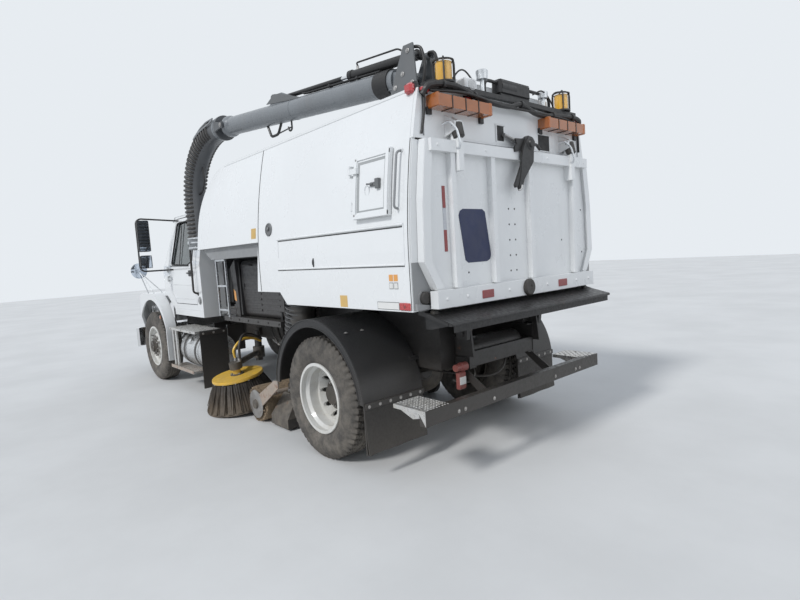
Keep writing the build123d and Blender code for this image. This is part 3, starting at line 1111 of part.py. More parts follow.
def rear_door():
    x0, x1 = DOOR_REAR_X, DOOR_REAR_X + DOOR_THICK
    skin = end_prism(door_outline(0), x0 + 25, x1)
    edge = end_prism(door_outline(0), x0, x0 + 26) - end_prism(door_outline(55), x0 - 1, x0 + 27)
    panel = skin + edge
    for y in (-775, -130, 340, 775):
        panel += corner_box(x0 - 20, x0 + 27, y - 22, y + 22, 1426, DOOR_TOP - 30)
    panel += corner_box(x0 - 45, x0 + 27, -1018, 1018, 1300, 1420)
    panel += corner_box(x0 - 30, x0 + 27, -990, 990, DOOR_TOP - 80, DOOR_TOP)
    arm = side_prism([(DOOR_HINGE_X - 35, DOOR_HINGE_Z + 35), (DOOR_HINGE_X + 35, DOOR_HINGE_Z + 35),
                      (DOOR_HINGE_X + 30, DOOR_HINGE_Z - 60), (x0 + 27, DOOR_TOP - 40), (x0 + 27, DOOR_TOP - 200),
                      (x0 - 50, DOOR_TOP - 200), (x0 - 50, DOOR_TOP - 20)], DOOR_ARM_Y - 25, DOOR_ARM_Y + 25)
    arm -= rod((DOOR_HINGE_X, DOOR_ARM_Y - 30, DOOR_HINGE_Z), (DOOR_HINGE_X, DOOR_ARM_Y + 30, DOOR_HINGE_Z),
               DOOR_PIN_R + PIN_GAP)
    boss = rod((x0 - 60, LEVER_BOSS_Y, LEVER_BOSS_Z), (x0 + 5, LEVER_BOSS_Y, LEVER_BOSS_Z), LEVER_BOSS_R)
    stalk = corner_box(x0 - 28, x0 + 20, LEVER_BOSS_Y - 30, LEVER_BOSS_Y + 30, DOOR_TOP - 10, LEVER_BOSS_Z)
    lever = end_prism([(LEVER_BOSS_Y - 18, LEVER_BOSS_Z + 12), (LEVER_BOSS_Y + 20, LEVER_BOSS_Z + 12), (140, 2152),
                       (130, 2132), (104, 2136)], x0 - 62, x0 - 46)
    return panel + both_sides(arm) + boss + stalk + lever


# Rear head of the hopper above the door, hinge brackets, discharge lip
HEAD_Z0 = DOOR_TOP + 12
LIP_X = X_REAR_AXLE - REAR_OVERHANG


def hopper_head():
    head = barrel(HOPPER_REAR_X - 15, HOPPER_REAR_X + 25, 0) & corner_box(HOPPER_REAR_X - 60, HOPPER_REAR_X + 60, -1200,
                                                                      1200, HEAD_Z0, HOPPER_TOP + 5)
    bracket = side_prism([(HOPPER_REAR_X - 10, DOOR_HINGE_Z + 90), (DOOR_HINGE_X - 30, DOOR_HINGE_Z + 30),
                          (DOOR_HINGE_X - 30, DOOR_HINGE_Z - 30), (HOPPER_REAR_X - 10, DOOR_HINGE_Z - 60)],
                         DOOR_ARM_Y + 31, DOOR_ARM_Y + 45)
    bracket += Pos(0, -76, 0) * bracket
    pin = rod((DOOR_HINGE_X, DOOR_ARM_Y - 45, DOOR_HINGE_Z), (DOOR_HINGE_X, DOOR_ARM_Y + 45, DOOR_HINGE_Z), DOOR_PIN_R)
    lip = side_prism([(HOPPER_REAR_X + 60, HOPPER_BOTTOM), (HOPPER_REAR_X + 60, HOPPER_BOTTOM - 30),
                      (LIP_X + 30, 1195), (LIP_X, 1195), (LIP_X, 1215), (HOPPER_REAR_X - 2, HOPPER_BOTTOM - 14), (HOPPER_REAR_X - 2, HOPPER_BOTTOM)],
                     -1048, 1048)
    return head + both_sides(bracket) + both_sides(pin) + lip


# Roof rack at the rear edge with lamps, and the row of light bars below it
BEACON_X = HOPPER_REAR_X - 10
BEACON_Y = 740
BEACON_Z = HOPPER_TOP + 42
BEACON_H = 130


def roof_rack():
    x = HOPPER_REAR_X
    rail = corner_box(x - 55, x + 60, -900, 900, HOPPER_TOP - 35, HOPPER_TOP + 30)
    cage = Pos(BEACON_X, BEACON_Y, HOPPER_TOP + 30) * Cylinder(78, 12, align=(Align.CENTER, Align.CENTER, Align.MIN))
    hoop_z = BEACON_Z + BEACON_H + 5
    for i in range(4):
        angle = radians(45 + 90 * i)
        foot = (BEACON_X + 69 * cos(angle), BEACON_Y + 69 * sin(angle), HOPPER_TOP + 35)
        cage += rod(foot, (foot[0], foot[1], hoop_z + 4), 6)
    hoop = Pos(BEACON_X, BEACON_Y, hoop_z + 4)
    cage += hoop * (Cylinder(76, 8) - Cylinder(62, 10))
    boxes = corner_box(x - 20, x + 60, -250, 120, HOPPER_TOP + 30, HOPPER_TOP + 170)
    return rail + both_sides(cage) + boxes - barrel(x - 60, x + 65, 0)


def beacons():
    x = HOPPER_REAR_X
    beacon = Pos(BEACON_X, BEACON_Y, BEACON_Z) * Cylinder(58, BEACON_H, align=(Align.CENTER, Align.CENTER, Align.MIN))
    bars = corner_box(x - 120, x - 15, 380, HOPPER_ROOF_HALF - 80, HOPPER_TOP - 160, HOPPER_TOP - 80)
    return both_sides(beacon) + both_sides(bars)


# Boom: slew post, tube, ram, and the suction hose that hangs from a swivel
def boom_frame(shape):
    """Place a shape drawn with the lift pin at the origin and the boom along +X."""
    return Pos(POST_X, POST_Y, LIFT_Z) * Rot(0, 0, BOOM_YAW) * shape


RAM_TAIL = (-60, 0, 150)
RAM_EYE = (1750, 0, 262)
LIFT_PIN_R = 20
CHEEK_Y0 = 112
CHEEK_T = 14
SLEW_TOP = 10


def boom_post():
    roof = HOPPER_TOP - LIFT_Z
    base = Pos(0, 0, roof + SLEW_TOP + SEAT_GAP + 20) * Cylinder(170, 40)
    column = Pos(0, 0, roof + SLEW_TOP + 58) * Cylinder(125, 40)
    cheek = side_prism([(-130, roof + 90), (130, roof + 90), (60, 40), (-20, 195), (-110, 195)], CHEEK_Y0,
                       CHEEK_Y0 + CHEEK_T)
    plate = corner_box(-130, 130, -CHEEK_Y0 - CHEEK_T, CHEEK_Y0 + CHEEK_T, roof + 80, roof + 95)
    pins = rod((0, -CHEEK_Y0 - 10, 0), (0, CHEEK_Y0 + 10, 0), LIFT_PIN_R)
    pins += rod((RAM_TAIL[0], -CHEEK_Y0 - 10, RAM_TAIL[2]), (RAM_TAIL[0], CHEEK_Y0 + 10, RAM_TAIL[2]), 15)
    return boom_frame(base + column + both_sides(cheek) + plate + pins)


def slew_base():
    return Pos(POST_X, POST_Y, HOPPER_TOP + SLEW_TOP - 20) * Cylinder(150, 40)


TUBE_ANGLE = degrees(atan2(BOOM_TUBE_RISE, BOOM_TUBE_LENGTH))
SWIVEL_BALL_R = 112
HOSE_PIN_R = 15
COLLAR_LENGTH = 160
COLLAR_WALL = 22
COLLAR_BORE_R = 104
TUBE_START = 150


def boom_tube():
    end = (BOOM_TUBE_LENGTH, 0, BOOM_TUBE_RISE)
    slope = tan(radians(TUBE_ANGLE))
    start = (TUBE_START, 0, TUBE_START * slope)
    tube = rod(start, end, BOOM_R)
    ball = Pos(*end) * Sphere(SWIVEL_BALL_R)
    body = tube + ball
    for y in (-70, 50):
        lug = side_prism([(-45, -40), (30, -45), (TUBE_START + 60, -60), (TUBE_START + 60, 70), (0, 45), (-45, 30)],
                         y, y + 20)
        body += lug
    body -= rod((0, -200, 0), (0, 200, 0), LIFT_PIN_R + PIN_GAP)
    base_z = RAM_EYE[0] * slope
    for y in (-60, 46):
        wing = side_prism([(1300, 1300 * slope + BOOM_R - 40), (1600, base_z + BOOM_R + 60), (RAM_EYE[0] + 30, RAM_EYE[2] + 30),
                           (RAM_EYE[0] + 40, RAM_EYE[2] - 40), (1850, base_z + 60)], y, y + 14)
        body += wing
    body += rod((RAM_EYE[0], -60, RAM_EYE[2]), (RAM_EYE[0], 60, RAM_EYE[2]), 13)
    body -= Pos(*end) * rod((0, -150, 0), (0, 150, 0), HOSE_PIN_R + PIN_GAP)
    return boom_frame(body)


FORK_Y0 = SWIVEL_BALL_R + 6
FORK_T = 16
FLANGE_X0 = SWIVEL_BALL_R + 14


def along_tube(distance):
    """The point at a distance beyond the tube's end, on its own line."""
    angle = radians(TUBE_ANGLE)
    return (BOOM_TUBE_LENGTH + distance * cos(angle), 0, BOOM_TUBE_RISE + distance * sin(angle))


def boom_hose():
    """The solid hose behind a fork that turns on the two pins of the tube's ball."""
    drop = HOSE_END_Z + COLLAR_LENGTH - LIFT_Z
    slope = tan(radians(TUBE_ANGLE))
    top_z = BOOM_TUBE_RISE + (BOOM_REACH - BOOM_TUBE_LENGTH) * slope
    hose = pipe([along_tube(FLANGE_X0 + 10), (BOOM_REACH, 0, top_z), (BOOM_REACH, 0, drop)], HOSE_R, HOSE_BEND_R)
    hose += rod(along_tube(FLANGE_X0), along_tube(FLANGE_X0 + 28), FORK_Y0 + FORK_T)
    cheek = side_prism([(-32, -32), (32, -32), (FLANGE_X0 + 20, -52), (FLANGE_X0 + 20, 66), (32, 32), (-32, 32)], FORK_Y0,
                       FORK_Y0 + FORK_T)
    pin = rod((0, SWIVEL_BALL_R - 40, 0), (0, FORK_Y0 + FORK_T, 0), HOSE_PIN_R)
    fork = both_sides(cheek + pin)
    return boom_frame(hose + Pos(BOOM_TUBE_LENGTH, 0, BOOM_TUBE_RISE) * fork)


def hose_collar():
    """The open end of the suction hose, bored for a nozzle tube."""
    low = HOSE_END_Z - LIFT_Z
    outer = Cylinder(COLLAR_BORE_R + COLLAR_WALL, COLLAR_LENGTH, align=(Align.CENTER, Align.CENTER, Align.MIN))
    bore = Pos(0, 0, -1) * Cylinder(COLLAR_BORE_R, COLLAR_LENGTH + 2, align=(Align.CENTER, Align.CENTER, Align.MIN))
    return boom_frame(Pos(BOOM_REACH, 0, low) * (outer - bore))


RAM_ANGLE = degrees(atan2(RAM_EYE[2] - RAM_TAIL[2], RAM_EYE[0] - RAM_TAIL[0]))
RAM_LENGTH = hypot(RAM_EYE[2] - RAM_TAIL[2], RAM_EYE[0] - RAM_TAIL[0])
RAM_BARREL_LENGTH = 760
RAM_BARREL_R = 38
RAM_ROD_R = 16


def ram_frame(shape):
    """Place a shape drawn with the tail pin at the origin and the ram along +X."""
    return boom_frame(Pos(*RAM_TAIL) * Rot(0, -RAM_ANGLE, 0) * shape)


def eye(radius, half_width, bore):
    body = rod((0, -half_width, 0), (0, half_width, 0), radius)
    return body - rod((0, -half_width - 1, 0), (0, half_width + 1, 0), bore)


def boom_ram_barrel():
    barrel_tube = rod((20, 0, 0), (RAM_BARREL_LENGTH, 0, 0), RAM_BARREL_R)
    barrel_tube -= rod((110, 0, 0), (RAM_BARREL_LENGTH + 1, 0, 0), RAM_ROD_R + PIN_GAP)
    shape = eye(34, 30, 15 + PIN_GAP) + (barrel_tube - rod((0, -60, 0), (0, 60, 0), 30))
    return ram_frame(shape)


def boom_ram_rod():
    shape = rod((RAM_BARREL_LENGTH - 560, 0, 0), (RAM_LENGTH - 20, 0, 0), RAM_ROD_R)
    shape -= rod((RAM_LENGTH, -40, 0), (RAM_LENGTH, 40, 0), 20)
    shape += Pos(RAM_LENGTH, 0, 0) * eye(32, 30, 20)
    return ram_frame(shape)


# Tipping ram between the chassis and the hopper floor
TIP_RAM_TAIL_X = X_REAR_AXLE + 880
TIP_RAM_TAIL_Z = 880
TIP_RAM_EYE_X = X_REAR_AXLE - 200
TIP_RAM_EYE_Z = HOPPER_BOTTOM - 70
TIP_RAM_LENGTH = hypot(TIP_RAM_EYE_X - TIP_RAM_TAIL_X, TIP_RAM_EYE_Z - TIP_RAM_TAIL_Z)
TIP_RAM_ANGLE = degrees(atan2(TIP_RAM_EYE_Z - TIP_RAM_TAIL_Z, TIP_RAM_EYE_X - TIP_RAM_TAIL_X))
TIP_RAM_R = 60
TIP_ROD_R = 34
TIP_BARREL_LENGTH = 900
TIP_RAM_PIN_R = 22


def ram_lug():
    lugs = []
    for y in (-75, 55):
        lugs.append(corner_box(TIP_RAM_EYE_X - 50, TIP_RAM_EYE_X + 50, y, y + 20, TIP_RAM_EYE_Z - 45, HOPPER_BOTTOM))
    boss = rod((TIP_RAM_EYE_X, 55, TIP_RAM_EYE_Z), (TIP_RAM_EYE_X, 92, TIP_RAM_EYE_Z), TIP_RAM_PIN_R)
    return lugs[0] + lugs[1] + both_sides(boss)


def ram_cross_member():
    x, z = TIP_RAM_TAIL_X, TIP_RAM_TAIL_Z
    beam = corner_box(x + 70, x + 130, -RAIL_CHANNEL_Y, RAIL_CHANNEL_Y, RAIL_BOTTOM + RAIL_WALL, RAIL_TOP - RAIL_WALL)
    for y in (-90, 70):
        beam += corner_box(x - 40, x + 75, y, y + 20, z - 40, z + 40)
    return beam + rod((x, -90, z), (x, 90, z), TIP_RAM_PIN_R)


def tip_frame(shape):
    return Pos(TIP_RAM_TAIL_X, 0, TIP_RAM_TAIL_Z) * Rot(0, -TIP_RAM_ANGLE, 0) * shape


def tip_ram_barrel():
    tube = rod((30, 0, 0), (TIP_BARREL_LENGTH, 0, 0), TIP_RAM_R)
    tube -= rod((120, 0, 0), (TIP_BARREL_LENGTH + 1, 0, 0), TIP_ROD_R + PIN_GAP)
    shape = eye(48, 50, TIP_RAM_PIN_R + PIN_GAP) + (tube - rod((0, -80, 0), (0, 80, 0), 44))
    return tip_frame(shape)


def tip_ram_rod():
    shape = rod((140, 0, 0), (TIP_RAM_LENGTH - 30, 0, 0), TIP_ROD_R)
    shape += rod((TIP_RAM_LENGTH, -45, 0), (TIP_RAM_LENGTH, 45, 0), 44)
    return tip_frame(shape)


# Build every node
wall = cab_wall()
pane = cab_volume(GLASS_INSET) - cab_volume(GLASS_INSET + GLASS_T)
nodes = {
    "chassis_frame": chassis_frame() + ram_cross_member(),
    "front_axle": front_axle(),
    "rear_axle": rear_axle(),
    "powertrain": powertrain(),
    "front_bumper": front_bumper(),
    "cab_shell": cab_shell(wall),
    "cab_glass": cab_glass(pane),
    "cab_seats": cab_seats(),
    "dashboard": dashboard(),
    "fuel_tanks": fuel_tanks(),
    "cab_steps": cab_steps(),
    "power_pack": power_pack(),
    "guard_frame": guard_frame(),
    "rear_fenders": both_sides(rear_fender()),
    "side_tanks": side_tanks(),
    "rear_step": rear_step(),
    "suction_nozzles": both_sides(suction_nozzle()),
    "suction_hoses": both_sides(suction_hose()),
    "broom_frame": broom_frame(),
    "wide_broom": wide_broom(),
    "hood_shell": hood_shell(),
    "grille": grille(),
    "headlamps": headlamps(),
    "hood_mirrors": both_sides(hood_mirror()),
    "hopper_shell": hopper_shell() + hopper_head() + slew_base(),
    "hopper_nose": hopper_nose(),
    "roof_rack": roof_rack(),
    "beacons": beacons(),
    "rear_door": rear_door(),
    "side_hatch": side_hatch(),
    "boom_post": boom_post(),
    "boom_tube": boom_tube(),
    "boom_hose": boom_hose(),
    "hose_collar": hose_collar(),
    "boom_ram_barrel": boom_ram_barrel(),
    "boom_ram_rod": boom_ram_rod(),
    "tip_ram_barrel": tip_ram_barrel(),
    "tip_ram_rod": tip_ram_rod(),
}
left_only = {
    "cab_door": cab_door(wall),
    "cab_door_glass": cab_door_glass(pane),
    "door_mirror": door_mirror(),
    "tyre_front": tyre(X_FRONT_AXLE, FRONT_WHEEL_Y),
    "rim_front": front_wheel_rim(),
    "tyres_rear": tyre(X_REAR_AXLE, REAR_TRACK / 2 + TWIN_SPACING / 2) + tyre(X_REAR_AXLE, REAR_TRACK / 2 - TWIN_SPACING / 2),
    "rims_rear": rear_wheel_rims(),
    "knuckle": knuckle(1),
    "gutter_arm": gutter_arm(),
    "gutter_broom": gutter_broom(),
}
for name, shape in left_only.items():
    nodes[f"{name}_left"] = shape
    nodes[f"{name}_right"] = mirror(shape, Plane.XZ)

for name, shape in nodes.items():
    save(shape, name)
    box = shape.bounding_box()
    print(name, [round(v) for v in (box.min.X, box.max.X, box.min.Y, box.max.Y, box.min.Z, box.max.Z)])
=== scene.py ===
"""Looks of a street sweeper truck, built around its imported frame. Lengths are in metres."""

import math

import bmesh
import bpy
import numpy as np
from bpy.props import FloatProperty, FloatVectorProperty, IntProperty, PointerProperty
from mathutils import Matrix, Vector


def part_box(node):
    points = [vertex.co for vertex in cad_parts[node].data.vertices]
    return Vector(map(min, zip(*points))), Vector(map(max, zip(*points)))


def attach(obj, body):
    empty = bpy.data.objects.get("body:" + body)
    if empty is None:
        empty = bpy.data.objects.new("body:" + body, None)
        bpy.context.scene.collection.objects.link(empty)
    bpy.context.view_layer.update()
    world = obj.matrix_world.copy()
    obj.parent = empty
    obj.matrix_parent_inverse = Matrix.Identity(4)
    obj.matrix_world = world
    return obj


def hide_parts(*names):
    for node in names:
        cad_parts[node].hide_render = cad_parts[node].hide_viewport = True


bl_info = {
    "name": "Street sweeper truck",
    "version": (1, 0, 0),
    "blender": (4, 5, 0),
    "location": "View3D > Sidebar > Sweeper",
    "description": "Builds the finish and the fine pieces of a street sweeper truck around its frame",
    "category": "Add Mesh",
}

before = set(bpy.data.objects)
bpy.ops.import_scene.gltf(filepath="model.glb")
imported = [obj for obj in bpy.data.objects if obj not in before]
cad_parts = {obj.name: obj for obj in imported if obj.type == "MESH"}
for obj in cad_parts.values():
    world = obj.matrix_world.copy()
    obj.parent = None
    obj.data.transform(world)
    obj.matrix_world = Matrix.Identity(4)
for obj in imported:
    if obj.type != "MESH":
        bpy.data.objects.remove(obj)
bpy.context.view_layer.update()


def middle(node):
    """Centre of a node's box."""
    low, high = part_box(node)
    return (low + high) / 2


REAR_X = middle("tyres_rear_left").x
FRONT_X = middle("tyre_front_left").x
AXLE_Z = middle("tyre_front_left").z
TYRE_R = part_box("tyre_front_left")[1].z - AXLE_Z
SIDES = (("left", 1), ("right", -1))

# Camera fitted to the picture: place, turn in degrees, focal length as a share of the picture's width
CAMERA_PLACE = (-5.8395, 3.479, 1.686)
CAMERA_YAW, CAMERA_PITCH, CAMERA_ROLL = -41.081, -5.078, -3.582
CAMERA_FOCAL = 0.65115
SENSOR = 36.0

# Hopper: half widths at the roof's edge and the belt, with their heights
ROOF_HALF, ROOF_Z = 1.000, 2.770
BELT_HALF, BELT_Z = 1.150, 1.700
ROOF_TOP = 2.800
BOW = 0.028
HOPPER_REAR = REAR_X - 1.170
HOPPER_SEAM = REAR_X + 1.000


# Shapes as arrays: a surface is (points, faces)
def quads(rows, cols, wrap_rows=False, wrap_cols=False):
    """Cells of a grid numbered row by row: each joins a point, its next, and the two after them."""
    r, c = np.meshgrid(np.arange(rows - (not wrap_rows)), np.arange(cols - (not wrap_cols)), indexing="ij")
    r2, c2 = (r + 1) % rows, (c + 1) % cols
    return np.stack([r * cols + c, r * cols + c2, r2 * cols + c2, r2 * cols + c], -1).reshape(-1, 4)


def surface(grid, wrap_rows=False, wrap_cols=False, caps=False):
    """A grid of points (rows, columns, 3) as a surface; caps close its first and last rows."""
    rows, cols = grid.shape[:2]
    faces = quads(rows, cols, wrap_rows, wrap_cols).tolist()
    if caps:
        faces += [list(range(cols)), list(range((rows - 1) * cols, rows * cols))]
    return grid.reshape(-1, 3), faces


def joined(*parts):
    """Several surfaces as one."""
    points, faces, start = [], [], 0
    for shape in parts:
        points.append(shape[0])
        faces += [[i + start for i in face] for face in shape[1]]
        start += len(shape[0])
    return np.concatenate(points), faces


def spread(shape, places):
    """Copies of a surface, each moved to a place."""
    points, faces = shape
    copies = points[None] + np.asarray(places, float)[:, None]
    count = len(points)
    return copies.reshape(-1, 3), [[i + k * count for i in face] for k in range(len(places))
                                   for face in faces]


def unit(vector):
    """The same direction at length one."""
    vector = np.asarray(vector, float)
    return vector / np.linalg.norm(vector, axis=-1, keepdims=True)


def axes_for(axis):
    """Two directions square to an axis and to each other."""
    axis = unit(axis)
    helper = np.eye(3)[np.argmin(np.abs(axis))]
    first = unit(np.cross(axis, helper))
    return first, np.cross(axis, first)


def turn_matrix(axis, angle):
    """Rotation by an angle about an axis: cosine part, cross part and axis part added."""
    x, y, z = unit(axis)
    cross = np.array([[0, -z, y], [z, 0, -x], [-y, x, 0]])
    return np.eye(3) + math.sin(angle) * cross + (1 - math.cos(angle)) * cross @ cross


def turned(shape, axis, angle, about=(0, 0, 0)):
    """A surface turned about an axis through a place."""
    about = np.asarray(about, float)
    return (shape[0] - about) @ turn_matrix(axis, angle).T + about, shape[1]


def moved(shape, offset):
    """A surface moved by an offset."""
    return shape[0] + np.asarray(offset, float), shape[1]


def mirrored(shape):
    """The same surface on the other side of the vehicle."""
    return shape[0] * np.array([1, -1, 1]), [face[::-1] for face in shape[1]]


def whole(shape):
    """A list of surfaces as one; a single surface stays as it is."""
    return joined(*shape) if isinstance(shape, list) else shape


def both(shape):
    """A surface, or a list of them, with its mirror image."""
    shape = whole(shape)
    return joined(shape, mirrored(shape))


def circle(radius, sides=12):
    """Profile points at even angles."""
    angle = 2 * math.pi * np.arange(sides) / sides
    return np.stack([radius * np.cos(angle), radius * np.sin(angle)], -1)


def polar(radius, angle, z):
    """Places at a radius and an angle round +Z."""
    return np.stack([radius * np.cos(angle), radius * np.sin(angle), np.full(angle.size, z)], -1)


def spokes(radius, count, z=0.0):
    """Places at even angles round +Z."""
    return polar(radius, 2 * math.pi * np.arange(count) / count, z)


def oblong(width, height, edge):
    """A rectangle profile whose corners are cut at 45 degrees."""
    w, h, e = width / 2, height / 2, edge
    return np.array([(w - e, -h), (w, -h + e), (w, h - e), (w - e, h), (-w + e, h), (-w, h - e), (-w, -h + e),
                     (-w + e, -h)])


def rounded(points, radius, steps=6):
    """A line of straight runs whose corners are arcs: tangent points at radius times tan of half the turn."""
    points = np.asarray(points, float)
    line = [points[:1]]
    for before, corner, after in zip(points[:-2], points[1:-1], points[2:]):
        into, out = unit(before - corner), unit(after - corner)
        reach = min(radius, 0.49 * np.linalg.norm(before - corner), 0.49 * np.linalg.norm(after - corner))
        t = np.linspace(0, 1, steps)[:, None]
        start, end = corner + into * reach, corner + out * reach
        line.append((1 - t) ** 2 * start + 2 * t * (1 - t) * corner + t ** 2 * end)
    line.append(points[-1:])
    return np.concatenate(line)


def through(points, count=24):
    """A smooth line through points: cubic spans whose slopes are half the neighbours' difference."""
    points = np.asarray(points, float)
    ends = np.concatenate([2 * points[:1] - points[1:2], points, 2 * points[-1:] - points[-2:-1]])
    where = np.linspace(0, len(points) - 1 - 1e-9, count)
    k = where.astype(int)
    t = (where - k)[:, None]
    a, b, c, d = ends[k], ends[k + 1], ends[k + 2], ends[k + 3]
    square, cube = 2 * a - 5 * b + 4 * c - d, 3 * b - a - 3 * c + d
    return 0.5 * (2 * b + (c - a) * t + square * t ** 2 + cube * t ** 3)


def carried(profile, path, closed=False, up=None):
    """A profile along a path: each station adds side and upward directions weighted by the profile."""
    path = np.asarray(path, float)
    if closed:
        ahead = unit(np.roll(path, -1, 0) - np.roll(path, 1, 0))
    else:
        ahead = unit(np.gradient(path, axis=0))
    up = np.linalg.svd(ahead)[2][-1] if up is None else np.asarray(up, float)
    side = unit(np.cross(ahead, up))
    over = np.cross(side, ahead)
    profile = np.asarray(profile, float)
    grid = path[:, None] + (profile[None, :, :1] * side[:, None] + profile[None, :, 1:] * over[:, None])
    return surface(grid, wrap_rows=closed, wrap_cols=True, caps=not closed)


def tube(points, radius, bend=0.0, sides=10, closed=False):
    """A round bar or pipe along straight runs with round corners."""
    path = rounded(points, bend) if bend else np.asarray(points, float)
    return carried(circle(radius, sides), path, closed=closed)


def cable(points, radius, count):
    """A cable along a smooth line through its points."""
    return carried(circle(radius, 8), through(points, count))


def lathed(profile, centre, axis, sides=48, closed=False):
    """A profile of (distance along the axis, radius) turned round the axis."""
    profile = np.asarray(profile, float)
    first, second = axes_for(axis)
    angle = 2 * math.pi * np.arange(sides)[:, None] / sides
    ring = np.cos(angle) * first + np.sin(angle) * second
    grid = np.asarray(centre, float) + profile[:, :1, None] * unit(axis) + profile[:, 1:, None] * ring[None]
    return surface(grid, wrap_rows=closed, wrap_cols=True, caps=not closed)


def disc(centre, axis, radius, thick, edge=0.002, sides=32):
    """A round plate centred on its thickness, with cut edges."""
    t = thick / 2
    return lathed([(-t, radius - edge), (-t + edge, radius), (t - edge, radius), (t, radius - edge)], centre,
                  axis, sides)


def prism(outline, axis, low, high):
    """A flat outline carried straight along an axis; its two coordinates are the other axes in order."""
    outline = np.asarray(outline, float)
    grid = np.zeros((2, len(outline), 3))
    others = [i for i in range(3) if i != axis]
    grid[:, :, others] = outline
    grid[0, :, axis], grid[1, :, axis] = low, high
    return surface(grid, wrap_cols=True, caps=True)


def block(low, high, edge=0.003):
    """A box with cut edges: four rings, the outer two drawn in by the edge."""
    low, high = np.minimum(low, high).astype(float), np.maximum(low, high).astype(float)
    edge = min(edge, 0.45 * (high - low).min())
    size, centre = high - low, (low + high) / 2
    wide = oblong(size[0], size[1], edge)
    tight = wide * (1 - 2 * edge / size[:2])
    heights = (low[2], low[2] + edge, high[2] - edge, high[2])
    grid = np.zeros((4, len(wide), 3))
    for row, (z, ring) in enumerate(zip(heights, (tight, wide, wide, tight))):
        grid[row, :, :2] = ring + centre[:2]
        grid[row, :, 2] = z
    return surface(grid, wrap_cols=True, caps=True)


def bar(start, end, width, height, edge=0.002, up=(0, 0, 1)):
    """A straight bar of oblong section from one point to another."""
    return carried(oblong(width, height, edge), [start, end], up=up)


def bolt_heads(places, normal, radius=0.010, height=0.008):
    """Hexagon heads on round washers: rings of six points for the head, twelve for the washer."""
    head = lathed([(0, radius), (height * 0.75, radius), (height, radius * 0.8)], (0, 0, 0), normal, 6)
    rim = radius * 1.5
    washer = lathed([(0, rim), (height * 0.22, rim), (height * 0.3, radius * 1.35)], (0, 0, 0), normal, 12)
    return spread(joined(head, washer), places)


def clamp_band(centre, axis, radius, width, thick=0.004, sides=40):
    """A band round a pipe, its edges sloped over 2 mm."""
    outer = radius + thick
    profile = [(0, radius), (0.002, outer), (width - 0.002, outer), (width, radius)]
    return lathed(profile, centre, axis, sides, closed=True)


def hopper_y(z, proud=0.0):
    """Half width of the hopper at a height: straight below the belt, an arc through three points above it."""
    mid = np.array([(ROOF_HALF + BELT_HALF) / 2 + BOW, (ROOF_TOP + BELT_Z) / 2])
    a, c = np.array([BELT_HALF, BELT_Z]), np.array([ROOF_HALF, ROOF_Z])
    sums = np.array([[mid[0] - a[0], mid[1] - a[1]], [c[0] - a[0], c[1] - a[1]]]) * 2
    centre = np.linalg.solve(sums, [mid @ mid - a @ a, c @ c - a @ a])
    radius = np.linalg.norm(a - centre)
    z = np.asarray(z, float)
    bowed = centre[0] + np.sqrt(np.maximum(radius ** 2 - (z - centre[1]) ** 2, 0))
    return np.where(z < BELT_Z, BELT_HALF, bowed) + proud


def side_sheet(x0, x1, z0, z1, proud, thick=0.006, steps=10):
    """A plate that follows the hopper's bowed side, its face this far proud of it."""
    z = np.linspace(z0, z1, steps)
    outer = np.stack([hopper_y(z, proud), z], -1)
    inner = np.stack([hopper_y(z, proud - thick), z], -1)[::-1]
    return prism(np.concatenate([outer, inner]), 0, x0, x1)


# Materials: node graphs on the object's own coordinates
MADE = {}
RUST_COLOUR = (0.20, 0.075, 0.03)


